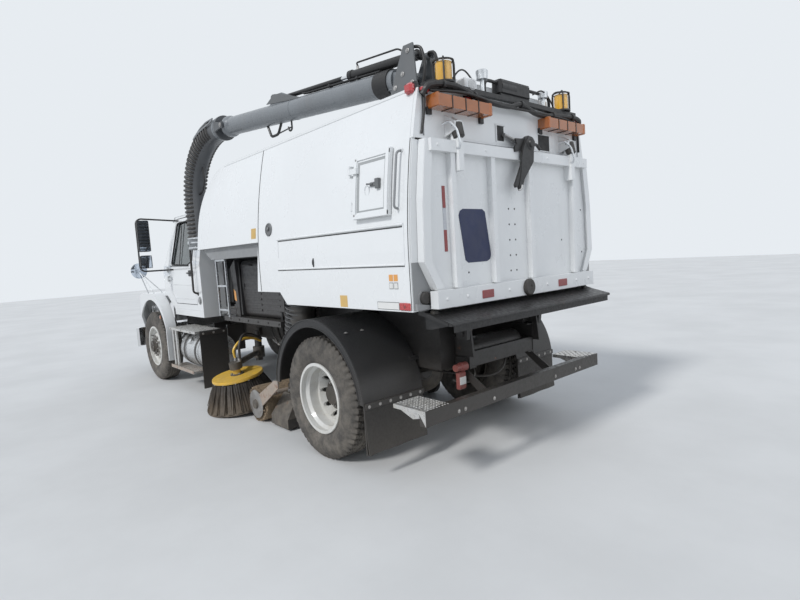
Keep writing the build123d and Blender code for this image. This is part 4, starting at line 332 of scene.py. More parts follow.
class Graph:
    """A material's node tree with short ways to add what its finish needs."""

    def __init__(self, name):
        self.material = bpy.data.materials.new(name)
        self.material.use_nodes = True
        self.tree = self.material.node_tree
        self.shader = self.tree.nodes["Principled BSDF"]
        self.place = self.add("ShaderNodeTexCoord").outputs["Object"]

    def add(self, kind, **values):
        """A new node with its settings."""
        node = self.tree.nodes.new(kind)
        for key, value in values.items():
            setattr(node, key, value)
        return node

    def feed(self, socket, value):
        """Links an output to a socket, or sets the socket to a value."""
        if isinstance(value, bpy.types.NodeSocket):
            self.tree.links.new(value, socket)
        else:
            socket.default_value = value

    def noise(self, scale, detail=4.0, rough=0.6, stretch=None):
        """Fractal noise on the object's coordinates, stretched if wanted."""
        place = self.place
        if stretch is not None:
            mapping = self.add("ShaderNodeMapping")
            self.feed(mapping.inputs["Vector"], place)
            mapping.inputs["Scale"].default_value = stretch
            place = mapping.outputs[0]
        node = self.add("ShaderNodeTexNoise")
        self.feed(node.inputs["Vector"], place)
        node.inputs["Scale"].default_value = scale
        node.inputs["Detail"].default_value = detail
        node.inputs["Roughness"].default_value = rough
        return node.outputs["Fac"]

    def fade(self, value, low, high, bottom=0.0, top=1.0):
        """Maps low..high smoothly onto bottom..top."""
        node = self.add("ShaderNodeMapRange", interpolation_type="SMOOTHSTEP")
        self.feed(node.inputs["Value"], value)
        for key, number in zip(("From Min", "From Max", "To Min", "To Max"), (low, high, bottom, top)):
            node.inputs[key].default_value = number
        return node.outputs[0]

    def maths(self, operation, a, b):
        """One sum or product of two values."""
        node = self.add("ShaderNodeMath", operation=operation)
        self.feed(node.inputs[0], a)
        self.feed(node.inputs[1], b)
        return node.outputs[0]

    def blend(self, share, a, b):
        """A mix of two colours by a share."""
        node = self.add("ShaderNodeMix", data_type="RGBA")
        self.feed(node.inputs["Factor"], share)
        for socket, value in ((node.inputs[6], a), (node.inputs[7], b)):
            self.feed(socket, (*value, 1.0) if isinstance(value, tuple) else value)
        return node.outputs[2]

    def part_of_place(self, axis):
        """One of the object's coordinates."""
        node = self.add("ShaderNodeSeparateXYZ")
        self.feed(node.inputs[0], self.place)
        return node.outputs[axis]

    def bump(self, height, distance):
        """Tilts the shading normal by a height."""
        node = self.add("ShaderNodeBump")
        self.feed(node.inputs["Height"], height)
        node.inputs["Distance"].default_value = distance
        self.feed(self.shader.inputs["Normal"], node.outputs[0])


def shade(colour, factor):
    """A colour made darker or lighter."""
    return tuple(min(1.0, max(0.0, c * factor)) for c in colour)


def finish(name, colour, rough=0.5, metal=0.0, coat=0.0, mottle=0.05, patch=2.0, grain=60.0, relief=0.0004,
           dust=0.0, dust_top=1.1, dust_colour=(0.33, 0.28, 0.22), rust=0.0, streaks=0.0, rough_spread=0.12,
           fine=9.0):
    """A finish: broad colour patches, dust that thins out with height, runs, rust spots and fine grain."""
    g = Graph(name)
    tone = g.blend(g.fade(g.noise(patch, 5.0), 0.3, 0.7), shade(colour, 1 - mottle),
                   shade(colour, 1 + mottle))
    if streaks:
        runs = g.fade(g.noise(6.0, 6.0, 0.65, (1.0, 1.0, 0.12)), 0.52, 0.78, 0.0, streaks)
        tone = g.blend(runs, tone, shade(dust_colour, 0.7))
    if dust:
        height = g.fade(g.part_of_place(2), 0.05, dust_top, 1.0, 0.12)
        cover = g.maths("MULTIPLY", height, g.fade(g.noise(fine, 8.0, 0.65), 0.3, 0.75, 0.15, dust))
        tone = g.blend(cover, tone, dust_colour)
    if rust:
        spots = g.fade(g.noise(14.0, 9.0, 0.75), 0.66 - 0.22 * rust, 0.74 - 0.1 * rust)
        tone = g.blend(spots, tone, RUST_COLOUR)
    g.feed(g.shader.inputs["Base Color"], tone)
    g.feed(g.shader.inputs["Roughness"], g.fade(g.noise(grain * 0.4, 6.0), 0.3, 0.7,
                                                max(0.02, rough - rough_spread),
                                                min(1.0, rough + rough_spread)))
    g.shader.inputs["Metallic"].default_value = metal
    g.shader.inputs["Coat Weight"].default_value = coat
    g.shader.inputs["Coat Roughness"].default_value = 0.06
    if relief:
        g.bump(g.noise(grain, 5.0), relief)
    MADE[name] = g.material
    return g


def lens(name, colour, clear=0.25, rough=0.12, ribs=0.0):
    """Moulded lamp plastic: clear depth, a soft shine and fine prism ribs."""
    g = finish(name, colour, rough=rough, coat=1.0, mottle=0.08, patch=12.0, relief=0.0, rough_spread=0.05,
               dust=0.10, dust_top=6.0)
    g.shader.inputs["Transmission Weight"].default_value = clear
    g.shader.inputs["IOR"].default_value = 1.49
    if ribs:
        wave = g.add("ShaderNodeTexWave", wave_type="BANDS", bands_direction="X")
        g.feed(wave.inputs["Vector"], g.place)
        wave.inputs["Scale"].default_value = ribs
        wave.inputs["Distortion"].default_value = 0.0
        g.bump(wave.outputs["Fac"], 0.001)
    return g


def glass(name, colour, rough, clear):
    """Window glass: clear, lightly tinted, with a thin film of dust."""
    g = Graph(name)
    g.feed(g.shader.inputs["Base Color"], g.blend(g.fade(g.noise(5.0, 6.0), 0.4, 0.8, 0.0, 0.25), colour,
                                                  (0.5, 0.5, 0.48)))
    g.feed(g.shader.inputs["Roughness"], g.fade(g.noise(7.0, 6.0), 0.3, 0.8, rough, rough + 0.01))
    g.shader.inputs["Transmission Weight"].default_value = clear
    g.shader.inputs["IOR"].default_value = 1.45
    g.shader.inputs["Coat Weight"].default_value = 0.4
    MADE[name] = g.material
    return g


def make_finishes(look):
    """Every material of the truck, from the colours that a user can change."""
    white, black, boom = tuple(look.body_white), tuple(look.frame_black), tuple(look.boom_grey)
    amber, yellow, navy = tuple(look.amber), tuple(look.broom_yellow), tuple(look.navy)
    finish("panel_white", white, 0.30, coat=0.5, mottle=0.02, patch=0.8, grain=7.0, relief=0.0009, dust=0.16,
           dust_top=2.2, dust_colour=(0.52, 0.50, 0.45), streaks=0.025, rough_spread=0.06, fine=3.0)
    finish("cab_white", shade(white, 0.97), 0.16, coat=1.0, mottle=0.015, patch=1.0, grain=12.0,
           relief=0.0003, dust=0.25, dust_top=1.4, dust_colour=(0.48, 0.45, 0.40), rough_spread=0.04,
           fine=4.0)
    finish("door_white", shade(white, 0.97), 0.34, coat=0.3, mottle=0.03, patch=1.4, grain=9.0,
           relief=0.0012, dust=0.18, dust_top=2.4, dust_colour=(0.50, 0.48, 0.44), streaks=0.06, fine=4.0)
    finish("hopper_inside", (0.42, 0.41, 0.39), 0.7, mottle=0.2, dust=0.6, dust_top=3.0, streaks=0.4,
           rust=0.5)
    # Grey for painted shade in the hatch's sunk panel line.
    finish("groove_grey", (0.33, 0.34, 0.34), 0.5, mottle=0.05, relief=0.0)
    # Dark grey of handles, straps, louvres and caps; on the hopper's white nose it is painted shade on the
    # underside.
    finish("wedge_grey", (0.24, 0.25, 0.26), 0.45, mottle=0.06, dust=0.25, dust_top=3.0, streaks=0.1)
    finish("frame_black", black, 0.42, mottle=0.15, patch=4.0, dust=0.13, dust_top=1.4, rust=0.12, grain=90.0)
    finish("plastic_black", (0.011, 0.0115, 0.013), 0.42, mottle=0.10, patch=5.0, dust=0.10, dust_top=1.1,
           grain=240.0, relief=0.0006)
    finish("flap_rubber", (0.010, 0.010, 0.011), 0.58, mottle=0.12, dust=0.16, dust_top=0.9, grain=120.0,
           relief=0.0008)
    finish("cast_dark", (0.034, 0.033, 0.032), 0.64, mottle=0.25, patch=8.0, dust=0.50, dust_top=1.1,
           rust=0.30, grain=70.0, relief=0.0015)
    finish("engine_grey", (0.045, 0.045, 0.048), 0.55, mottle=0.2, dust=0.3, dust_top=1.6, grain=60.0,
           relief=0.0006)
    finish("pack_charcoal", (0.020, 0.021, 0.024), 0.40, mottle=0.15, dust=0.16, dust_top=2.0, grain=80.0)
    finish("boom_paint", boom, 0.33, coat=0.25, mottle=0.08, patch=3.0, dust=0.15, dust_top=9.0,
           streaks=0.12, grain=50.0)
    finish("bracket_grey", shade(boom, 0.62), 0.40, mottle=0.10, dust=0.2, dust_top=9.0, rust=0.1)
    finish("hose_black", (0.016, 0.017, 0.019), 0.40, mottle=0.15, patch=6.0, dust=0.10, dust_top=6.0,
           grain=110.0, relief=0.0006)
    # Grey of the boom's hose; on the suction hoses' ribs it is a painted highlight.
    finish("hose_grey", (0.070, 0.078, 0.088), 0.38, mottle=0.10, patch=5.0, dust=0.12, dust_top=6.0,
           grain=60.0)
    finish("galvanised", (0.62, 0.64, 0.66), 0.34, metal=0.85, mottle=0.12, patch=24.0, dust=0.20,
           dust_top=2.4, grain=120.0)
    finish("steel_worn", (0.42, 0.42, 0.42), 0.42, metal=0.8, mottle=0.15, patch=12.0, dust=0.45,
           dust_top=1.6, rust=0.35)
    finish("step_rusty", (0.40, 0.36, 0.32), 0.55, metal=0.35, mottle=0.2, patch=14.0, dust=0.95,
           dust_top=1.5, rust=0.75, dust_colour=(0.45, 0.35, 0.27))
    finish("step_alloy", (0.66, 0.66, 0.65), 0.35, metal=0.7, mottle=0.12, patch=14.0, dust=0.75,
           dust_top=1.9, dust_colour=(0.50, 0.46, 0.40))
    finish("tank_alloy", (0.66, 0.67, 0.68), 0.30, metal=0.85, mottle=0.06, patch=3.0, dust=0.30,
           dust_top=1.2, relief=0.0, rough_spread=0.08, fine=5.0)
    finish("chrome", (0.78, 0.79, 0.80), 0.12, metal=1.0, mottle=0.03, dust=0.15, dust_top=1.6, relief=0.0,
           rough_spread=0.05)
    finish("rod_chrome", (0.80, 0.81, 0.82), 0.10, metal=1.0, mottle=0.02, relief=0.0, rough_spread=0.03)
    finish("wheel_white", (0.66, 0.66, 0.64), 0.40, coat=0.2, mottle=0.05, patch=5.0, dust=0.55, dust_top=1.5,
           dust_colour=(0.42, 0.38, 0.30), rust=0.12, streaks=0.15)
    finish("hub_dark", (0.026, 0.025, 0.024), 0.50, metal=0.3, mottle=0.3, patch=20.0, dust=0.28,
           dust_top=1.6, rust=0.15)
    finish("nut_steel", (0.40, 0.39, 0.38), 0.36, metal=0.85, mottle=0.2, patch=30.0, dust=0.25,
           dust_top=1.6, rust=0.25)
    finish("tyre_rubber", (0.030, 0.029, 0.028), 0.78, mottle=0.2, patch=6.0, dust=0.80, dust_top=2.2,
           dust_colour=(0.21, 0.185, 0.155), grain=160.0, relief=0.0010)
    finish("rubber_black", (0.014, 0.014, 0.015), 0.52, mottle=0.1, dust=0.06, dust_top=3.0, grain=150.0)
    lens("amber_lens", amber, 0.30, 0.15, 55.0)
    lens("beacon_lens", (0.95, 0.50, 0.03), 0.25, 0.15)
    lens("red_lens", (0.62, 0.02, 0.03), 0.2, 0.15, 60.0)
    lens("red_dim", (0.30, 0.015, 0.03), 0.1, 0.2)
    lens("clear_lens", (0.85, 0.86, 0.87), 0.7, 0.08, 30.0)
    finish("reflect_red", (0.24, 0.020, 0.026), 0.38, coat=0.3, mottle=0.12, patch=60.0, relief=0.0,
           dust=0.12, dust_top=5.0)
    finish("reflect_silver", (0.50, 0.53, 0.58), 0.35, coat=0.6, mottle=0.10, patch=60.0, relief=0.0,
           dust=0.3, dust_top=5.0)
    finish("label_white", (0.74, 0.74, 0.72), 0.45, mottle=0.04, relief=0.0, dust=0.2, dust_top=3.0)
    finish("label_orange", (0.75, 0.34, 0.08), 0.45, mottle=0.08, relief=0.0, dust=0.2, dust_top=3.0)
    finish("label_ochre", (0.62, 0.40, 0.12), 0.5, mottle=0.12, relief=0.0, dust=0.3, dust_top=3.0)
    finish("navy_patch", navy, 0.50, mottle=0.12, patch=3.0, grain=30.0, relief=0.0005)
    finish("broom_yellow", yellow, 0.42, mottle=0.08, patch=8.0, dust=0.5, dust_top=1.1, rust=0.12)
    finish("bristle_dark", (0.017, 0.014, 0.012), 0.60, mottle=0.45, patch=40.0, dust=0.42, dust_top=0.36,
           dust_colour=(0.26, 0.19, 0.12), relief=0.0)
    finish("bristle_brown", (0.21, 0.155, 0.10), 0.7, mottle=0.35, patch=40.0, dust=0.6, dust_top=0.5,
           dust_colour=(0.36, 0.27, 0.18), relief=0.0)
    finish("brake_red", (0.22, 0.030, 0.028), 0.5, mottle=0.15, dust=0.4, dust_top=1.5)
    finish("seat_fabric", (0.055, 0.056, 0.062), 0.9, mottle=0.1, patch=20.0, grain=900.0, relief=0.001)
    finish("dash_plastic", (0.075, 0.076, 0.080), 0.6, mottle=0.06, patch=10.0, grain=400.0, relief=0.0006)
    finish("mirror_face", (0.60, 0.66, 0.74), 0.03, metal=1.0, mottle=0.01, relief=0.0, rough_spread=0.01)
    # Black of seals, seams and gaps; also painted shadow lines under the hopper's mouldings and painted shade
    # inside openings.
    finish("seal_black", (0.012, 0.012, 0.013), 0.6, mottle=0.1, relief=0.0)
    finish("copper_pipe", (0.10, 0.10, 0.105), 0.4, mottle=0.1, dust=0.3, dust_top=2.0)
    glass("window_glass", (0.17, 0.21, 0.21), 0.01, 0.88)


# Which finish each node of the frame takes
NODE_FINISH = {"chassis_frame": "frame_black", "front_axle": "cast_dark", "rear_axle": "cast_dark",
               "powertrain": "engine_grey", "front_bumper": "chrome", "cab_shell": "cab_white",
               "cab_glass": "window_glass", "cab_seats": "seat_fabric", "dashboard": "dash_plastic",
               "fuel_tanks": "tank_alloy", "cab_steps": "step_alloy", "power_pack": "pack_charcoal",
               "guard_frame": "galvanised", "rear_fenders": "plastic_black", "side_tanks": "frame_black",
               "rear_step": "frame_black", "suction_nozzles": "cast_dark", "suction_hoses": "hose_black",
               "broom_frame": "step_rusty", "wide_broom": "bristle_brown", "hood_shell": "cab_white",
               "grille": "chrome", "headlamps": "clear_lens", "hood_mirrors": "galvanised",
               "hopper_shell": "panel_white", "hopper_nose": "panel_white", "roof_rack": "frame_black",
               "beacons": "amber_lens", "rear_door": "door_white", "side_hatch": "panel_white",
               "boom_post": "bracket_grey", "boom_tube": "boom_paint", "boom_hose": "hose_grey",
               "hose_collar": "boom_paint", "boom_ram_barrel": "frame_black", "boom_ram_rod": "rod_chrome",
               "tip_ram_barrel": "frame_black", "tip_ram_rod": "rod_chrome", "cab_door": "cab_white",
               "cab_door_glass": "window_glass", "door_mirror": "plastic_black", "tyre_front": "tyre_rubber",
               "rim_front": "wheel_white", "tyres_rear": "tyre_rubber", "rims_rear": "wheel_white",
               "knuckle": "cast_dark", "gutter_arm": "cast_dark", "gutter_broom": "bristle_dark",}


def dress_nodes():
    """Gives every node of the frame its finish, and some of them a second or third one by place."""
    for name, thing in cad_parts.items():
        plain = name.removesuffix("_left").removesuffix("_right")
        thing.data.materials.clear()
        thing.data.materials.append(MADE[NODE_FINISH[plain]])
        if plain in PARTED:
            part_finishes(thing.data, PARTED[plain])


def part_finishes(mesh, rules):
    """Each rule tells from the faces' middles and normals which of them take its finish."""
    count = len(mesh.polygons)
    centres, normals = np.zeros(count * 3), np.zeros(count * 3)
    mesh.polygons.foreach_get("center", centres)
    mesh.polygons.foreach_get("normal", normals)
    centres, normals = centres.reshape(-1, 3), normals.reshape(-1, 3)
    marks = np.zeros(count, np.int32)
    for number, (finish_name, rule) in enumerate(rules, 1):
        mesh.materials.append(MADE[finish_name])
        marks[rule(centres, normals)] = number
    mesh.polygons.foreach_set("material_index", marks)


def inside_hopper(c, n):
    """Faces of the hopper that look into its load space."""
    behind_seam = (c[:, 0] < HOPPER_SEAM - 0.02) & (c[:, 0] > HOPPER_REAR + 0.001)
    behind_seam = behind_seam & ((n[:, 2] < 0.3) | (c[:, 2] < 2.6))
    return behind_seam & (np.abs(c[:, 1]) < hopper_y(c[:, 2], -0.015)) & (c[:, 2] > 1.295) & (c[:, 2] < 2.79)


def under_hopper(c, n):
    """Faces of the hopper's underside and of the lip behind it."""
    return (c[:, 2] < 1.2895) | ((c[:, 0] < HOPPER_REAR - 0.003) & (c[:, 2] < 1.30))


def slew_ring(c, n):
    """Faces of the boom's slew ring, which stands on the roof."""
    return c[:, 2] > ROOF_TOP + 0.0005


def broom_disc(c, n):
    """Faces of a gutter broom above its bristles, told by their height along the tilted spindle."""
    side = np.sign(c[:, 1])
    tilt = math.radians(BROOM_TILT)
    along = side * (c[:, 1] - side * BROOM_Y) * math.sin(tilt) + (c[:, 2] - BROOM_Z) * math.cos(tilt)
    return along > -0.0155


def door_lever(c, n):
    """Faces of the lever and its boss, which stand behind the door's top box."""
    boss = np.hypot(c[:, 1] + 0.080, c[:, 2] - 2.480) < 0.039
    blade = (c[:, 0] < HOPPER_REAR - 0.099) & (c[:, 1] > -0.12) & (c[:, 1] < 0.16)
    return (c[:, 2] > 2.10) & ((boss & (c[:, 2] > 2.431)) | blade)


def inside_cab(c, n):
    """Faces that look at the cab's middle and lie inside its outer panels, below the roof's lining."""
    low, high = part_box("cab_shell")
    inward = np.einsum("ij,ij->i", n, np.array([(low.x + high.x) / 2, 0.0, (low.z + high.z) / 2]) - c) > 0
    side = np.interp(c[:, 2], [1.720, 2.370], [0.998, 0.893]) - 0.030
    roof = (c[:, 2] < high.z - 0.04) & (c[:, 2] > low.z + 0.03)
    screen = np.interp(c[:, 2], [1.62, 2.40], [high.x - 0.004, FRONT_X - 0.694])
    front = np.where(c[:, 2] > 1.62, screen, FRONT_X - 0.28) - 0.035
    return inward & roof & (np.abs(c[:, 1]) < side) & (c[:, 0] > low.x + 0.03) & (c[:, 0] < front)


BROOM_X, BROOM_Y, BROOM_Z = REAR_X + 2.050, 1.020, 0.400
BROOM_TILT = 8.0
PARTED = {"hopper_shell": (("hopper_inside", inside_hopper), ("frame_black", under_hopper),
                           ("bracket_grey", slew_ring)),
          # The white nose below its belt line takes the dark grey: painted shade on its underside.
          "hopper_nose": (("wedge_grey", lambda c, n: (c[:, 2] < 1.8795)),),
          "gutter_broom": (("broom_yellow", broom_disc),),
          "fuel_tanks": (("frame_black", lambda c, n: np.abs(c[:, 1]) < 0.623),),
          "hood_mirrors": (("plastic_black", lambda c, n: (c[:, 2] > 1.55)),
                           ("mirror_face", lambda c, n: (c[:, 2] > 1.55) & (n[:, 0] < -0.9))),
          "door_mirror": (("mirror_face", lambda c, n: (n[:, 0] < -0.98) & (np.abs(c[:, 1]) > 1.255)
                           & (np.abs(c[:, 1]) < 1.40)),),
          "suction_nozzles": (("rubber_black", lambda c, n: (c[:, 0] < REAR_X + 0.84) & (c[:, 2] < 0.26)),),
          "rim_front": (("hub_dark", lambda c, n: np.hypot(c[:, 0] - FRONT_X, c[:, 2] - AXLE_Z) < 0.119),),
          "rims_rear": (("hub_dark", lambda c, n: (np.hypot(c[:, 0] - REAR_X, c[:, 2] - AXLE_Z) < 0.131)
                         | (np.abs(c[:, 1]) < 0.86)),),
          "rear_door": (("frame_black", door_lever),),
          "rear_step": (("step_alloy", lambda c, n: (c[:, 2] > 0.560) & (np.abs(c[:, 1]) > 0.895)),),
          "beacons": (("beacon_lens", lambda c, n: c[:, 2] > 2.80),),
          "cab_shell": (("dash_plastic", inside_cab),),}


def piece(name, parts, body, replaces=(), angle=32.0):
    """A new mesh of surfaces or lists of them, each with its finish; its body is the one that it rides on."""
    order = list(dict.fromkeys(finish_name for _, finish_name in parts))
    points, faces, marks, start = [], [], [], 0
    for shape, finish_name in parts:
        shape_points, shape_faces = whole(shape)
        points.append(shape_points)
        faces += [[i + start for i in face] for face in shape_faces]
        marks += [order.index(finish_name)] * len(shape_faces)
        start += len(shape_points)
    mesh = bpy.data.meshes.new(name)
    mesh.from_pydata(np.concatenate(points), [], faces)
    mesh.polygons.foreach_set("material_index", np.array(marks, np.int32))
    for finish_name in order:
        mesh.materials.append(MADE[finish_name])
    work = bmesh.new()
    work.from_mesh(mesh)
    bmesh.ops.remove_doubles(work, verts=work.verts, dist=1e-6)
    bmesh.ops.dissolve_degenerate(work, edges=work.edges, dist=1e-7)
    bmesh.ops.recalc_face_normals(work, faces=work.faces)
    work.to_mesh(mesh)
    work.free()
    mesh.polygons.foreach_set("use_smooth", np.ones(len(mesh.polygons), bool))
    mesh.set_sharp_from_angle(angle=math.radians(angle))
    thing = bpy.data.objects.new(name, mesh)
    bpy.context.scene.collection.objects.link(thing)
    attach(thing, body)
    if replaces:
        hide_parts(*replaces)
    return thing


# Wheels: tyres with cut treads, nuts, hub covers
TYRE_HALF = 0.1395
BEAD_HALF = 0.1115
FLANGE_R = 0.3003
BEAD_R = 0.286
TREAD_HALF = 0.094
SHOULDER_HALF = 0.118
SHOULDER_R = TYRE_R - 0.026
RIM_EDGE = BEAD_HALF + 0.0125


def side_arc(count):
    """Side wall from flange to shoulder as the arc through its fattest point: (half width, radius)."""
    t = np.linspace(0, 1, count)
    half = BEAD_HALF * (1 - t) * (1 - 2 * t) + TYRE_HALF * 4 * t * (1 - t) + SHOULDER_HALF * t * (2 * t - 1)
    radius = FLANGE_R + (SHOULDER_R - FLANGE_R) * t
    return half, radius


def tyre_shape(x, y, pitches, lugged, depth):
    """A tyre turned about its axle; the tread drops by a groove depth where a groove or slot passes."""
    half, radius = side_arc(14)
    low_ring = 0.0018 * np.exp(-((radius - 0.345) / 0.006) ** 2)
    high_ring = 0.0022 * np.exp(-((radius - 0.462) / 0.008) ** 2)
    half = np.minimum(half + (low_ring + high_ring), TYRE_HALF)
    tread = np.linspace(-TREAD_HALF, TREAD_HALF, 25)
    across = np.concatenate([-half, tread, half[::-1]])
    round_r = np.concatenate([radius, np.full(len(tread), TYRE_R), radius[::-1]])
    steps = 6 * pitches
    turn = 2 * math.pi * np.arange(steps) / steps
    share = (turn[:, None] * pitches / (2 * math.pi)) % 1.0
    grid_across = np.broadcast_to(across, (steps, len(across)))
    on_tread = np.abs(grid_across) <= TREAD_HALF + 1e-6
    rib = np.zeros(grid_across.shape, bool)
    for centre in (-0.055, -0.019, 0.019, 0.055):
        rib |= np.abs(grid_across - centre) < 0.0052
    slant = (share + 3.2 * np.abs(grid_across)) % 1.0
    slot_share = 0.34 if lugged else 0.17
    outer = np.abs(grid_across) > (0.020 if lugged else 0.078)
    slot = (slant < slot_share) & outer
    cut = on_tread & (rib | slot)
    shoulder = (np.abs(grid_across) > TREAD_HALF) & (round_r > SHOULDER_R - 0.030)
    shoulder = shoulder & (share < slot_share) & lugged
    r = round_r - depth * cut - 0.008 * shoulder
    inner = [(BEAD_HALF, BEAD_R), (-BEAD_HALF, BEAD_R)]
    r = np.concatenate([r, np.broadcast_to([p[1] for p in inner], (steps, 2))], 1)
    a = np.concatenate([grid_across, np.broadcast_to([p[0] for p in inner], (steps, 2))], 1)
    grid = np.stack([x + r * np.cos(turn)[:, None], y + a, AXLE_Z + r * np.sin(turn)[:, None]], -1)
    return surface(grid, wrap_rows=True, wrap_cols=True)


def ring_places(x, y, radius, count, start=0.0):
    """Places at even angles on a circle round an axle."""
    angle = 2 * math.pi * np.arange(count) / count + start
    return np.stack([x + radius * np.cos(angle), np.full(count, y), AXLE_Z + radius * np.sin(angle)], -1)


def nuts(x, y, side, radius=0.1425):
    """Wheel nuts with their studs: hexagons round the hub, facing outwards."""
    nut = lathed([(0, 0.0235), (0.004, 0.0235), (0.005, 0.017), (0.022, 0.017), (0.024, 0.0145)], (0, 0, 0),
                 (0, side, 0), 6)
    stud = lathed([(0.02, 0.0095), (0.040, 0.0095), (0.042, 0.008)], (0, 0, 0), (0, side, 0), 10)
    return spread(joined(nut, stud), ring_places(x, y, radius, 10, 0.16))


def rim_lip(x, y, sign):
    """Rolled edge of a rim outside the bead of a tyre whose middle is at y."""
    profile = [(0, 0.2985), (0.0015, 0.2965), (0.0015, 0.2775), (0, 0.2755)]
    return lathed(profile, (x, y + sign * RIM_EDGE, AXLE_Z), (0, sign, 0), 64, True)


def add_front_wheel(side, sign):
    """Tread, hub cover, nuts, valve, rim lip and balance weight of a front wheel."""
    y = middle(f"tyre_front_{side}").y
    body = f"wheel_front_{side}"
    depth = bpy.context.scene.sweeper_sizes.tread_depth
    piece(f"front_tyre_{side}_tread", [(tyre_shape(FRONT_X, y, 60, False, depth), "tyre_rubber")], body,
          (f"tyre_front_{side}",), angle=38)
    disc_y = y + sign * 0.095
    cover = lathed([(0.0185, 0.118), (0.024, 0.121), (0.040, 0.112), (0.050, 0.086), (0.072, 0.080),
                    (0.0745, 0.074), (0.0745, 0.050), (0.071, 0.046), (0.071, 0.02), (0.078, 0.018),
                    (0.079, 0.0)], (FRONT_X, disc_y, AXLE_Z), (0, sign, 0), 40)
    cap_bolts = bolt_heads(ring_places(FRONT_X, disc_y + sign * 0.0745, 0.062, 6), (0, sign, 0), 0.006, 0.006)
    valve = tube([(FRONT_X + 0.20, disc_y - sign * 0.040, AXLE_Z + 0.13),
                  (FRONT_X + 0.222, disc_y + sign * 0.012, AXLE_Z + 0.145)], 0.005)
    rim_y = y + sign * RIM_EDGE
    weight = block((FRONT_X - 0.022, rim_y - 0.004, AXLE_Z + 0.270),
                   (FRONT_X + 0.022, rim_y + sign * 0.005, AXLE_Z + 0.284))
    weight = turned(weight, (0, 1, 0), 2.3, (FRONT_X, rim_y, AXLE_Z))
    piece(f"front_wheel_fittings_{side}", [(cover, "hub_dark"), (cap_bolts, "nut_steel"),
                                           (nuts(FRONT_X, disc_y, sign), "nut_steel"),
                                           (valve, "rubber_black"),
                                           (rim_lip(FRONT_X, y, sign), "wheel_white"),
                                           (weight, "nut_steel")], body)


def add_rear_wheels(side, sign):
    """Treads, covers, studs, nuts, valve and rim lip of a pair of rear wheels."""
    low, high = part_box(f"tyres_rear_{side}")
    body = f"wheel_rear_{side}"
    outer = (high.y if sign > 0 else low.y) - sign * TYRE_HALF
    inner = (low.y if sign > 0 else high.y) + sign * TYRE_HALF
    depth = bpy.context.scene.sweeper_sizes.tread_depth
    twins = [tyre_shape(REAR_X, y, 56, True, depth) for y in (outer, inner)]
    piece(f"rear_tyres_{side}_tread", [(twins, "tyre_rubber")], body, (f"tyres_rear_{side}",),
          angle=38)
    disc_y = (outer + inner) / 2 + sign * 0.014
    cover_y = disc_y + sign * 0.096
    cover = lathed([(0.0003, 0.132), (0.006, 0.134), (0.010, 0.124), (0.012, 0.092), (0.040, 0.086),
                    (0.042, 0.084), (0.0535, 0.083)], (REAR_X, cover_y, AXLE_Z), (0, sign, 0), 40)
    flange = lathed([(0.0003, 0.083), (0.0003, 0.055), (0.010, 0.050), (0.012, 0.0)],
                    (REAR_X, (high.y if sign > 0 else low.y) - sign * (TYRE_HALF + 0.020), AXLE_Z),
                    (0, sign, 0), 32)
    studs = bolt_heads(ring_places(REAR_X, cover_y + sign * 0.011, 0.108, 8, 0.2), (0, sign, 0), 0.010, 0.014)
    valve = tube([(REAR_X - 0.17, disc_y + sign * 0.02, AXLE_Z + 0.17),
                  (REAR_X - 0.175, outer + sign * 0.05, AXLE_Z + 0.185)], 0.0045)
    piece(f"rear_wheel_fittings_{side}", [(cover, "hub_dark"), (flange, "hub_dark"), (studs, "nut_steel"),
                                          (rim_lip(REAR_X, outer, sign), "wheel_white"),
                                          (nuts(REAR_X, disc_y, sign, 0.1475), "nut_steel"),
                                          (valve, "nut_steel")], body)


# Hopper sides: mouldings with painted shadow lines under them, seam, round cap, handle, blank labels, lamps
MOULD_Z, MOULD_LOW_Z = 1.880, 1.610
MOULD_FRONT, MOULD_REAR = REAR_X + 0.61, REAR_X - 1.12


def half_round(height, proud, z, y, x0, x1):
    """A moulding of half round section along X: a sine hump over its height."""
    t = np.linspace(0, 1, 7)
    face = np.stack([y + proud * np.sin(math.pi * t), z + height * (t - 0.5)], -1)
    back = np.array([(y - 0.004, z + height / 2), (y - 0.004, z - height / 2)])
    return prism(np.concatenate([face, back]), 0, x0, x1)


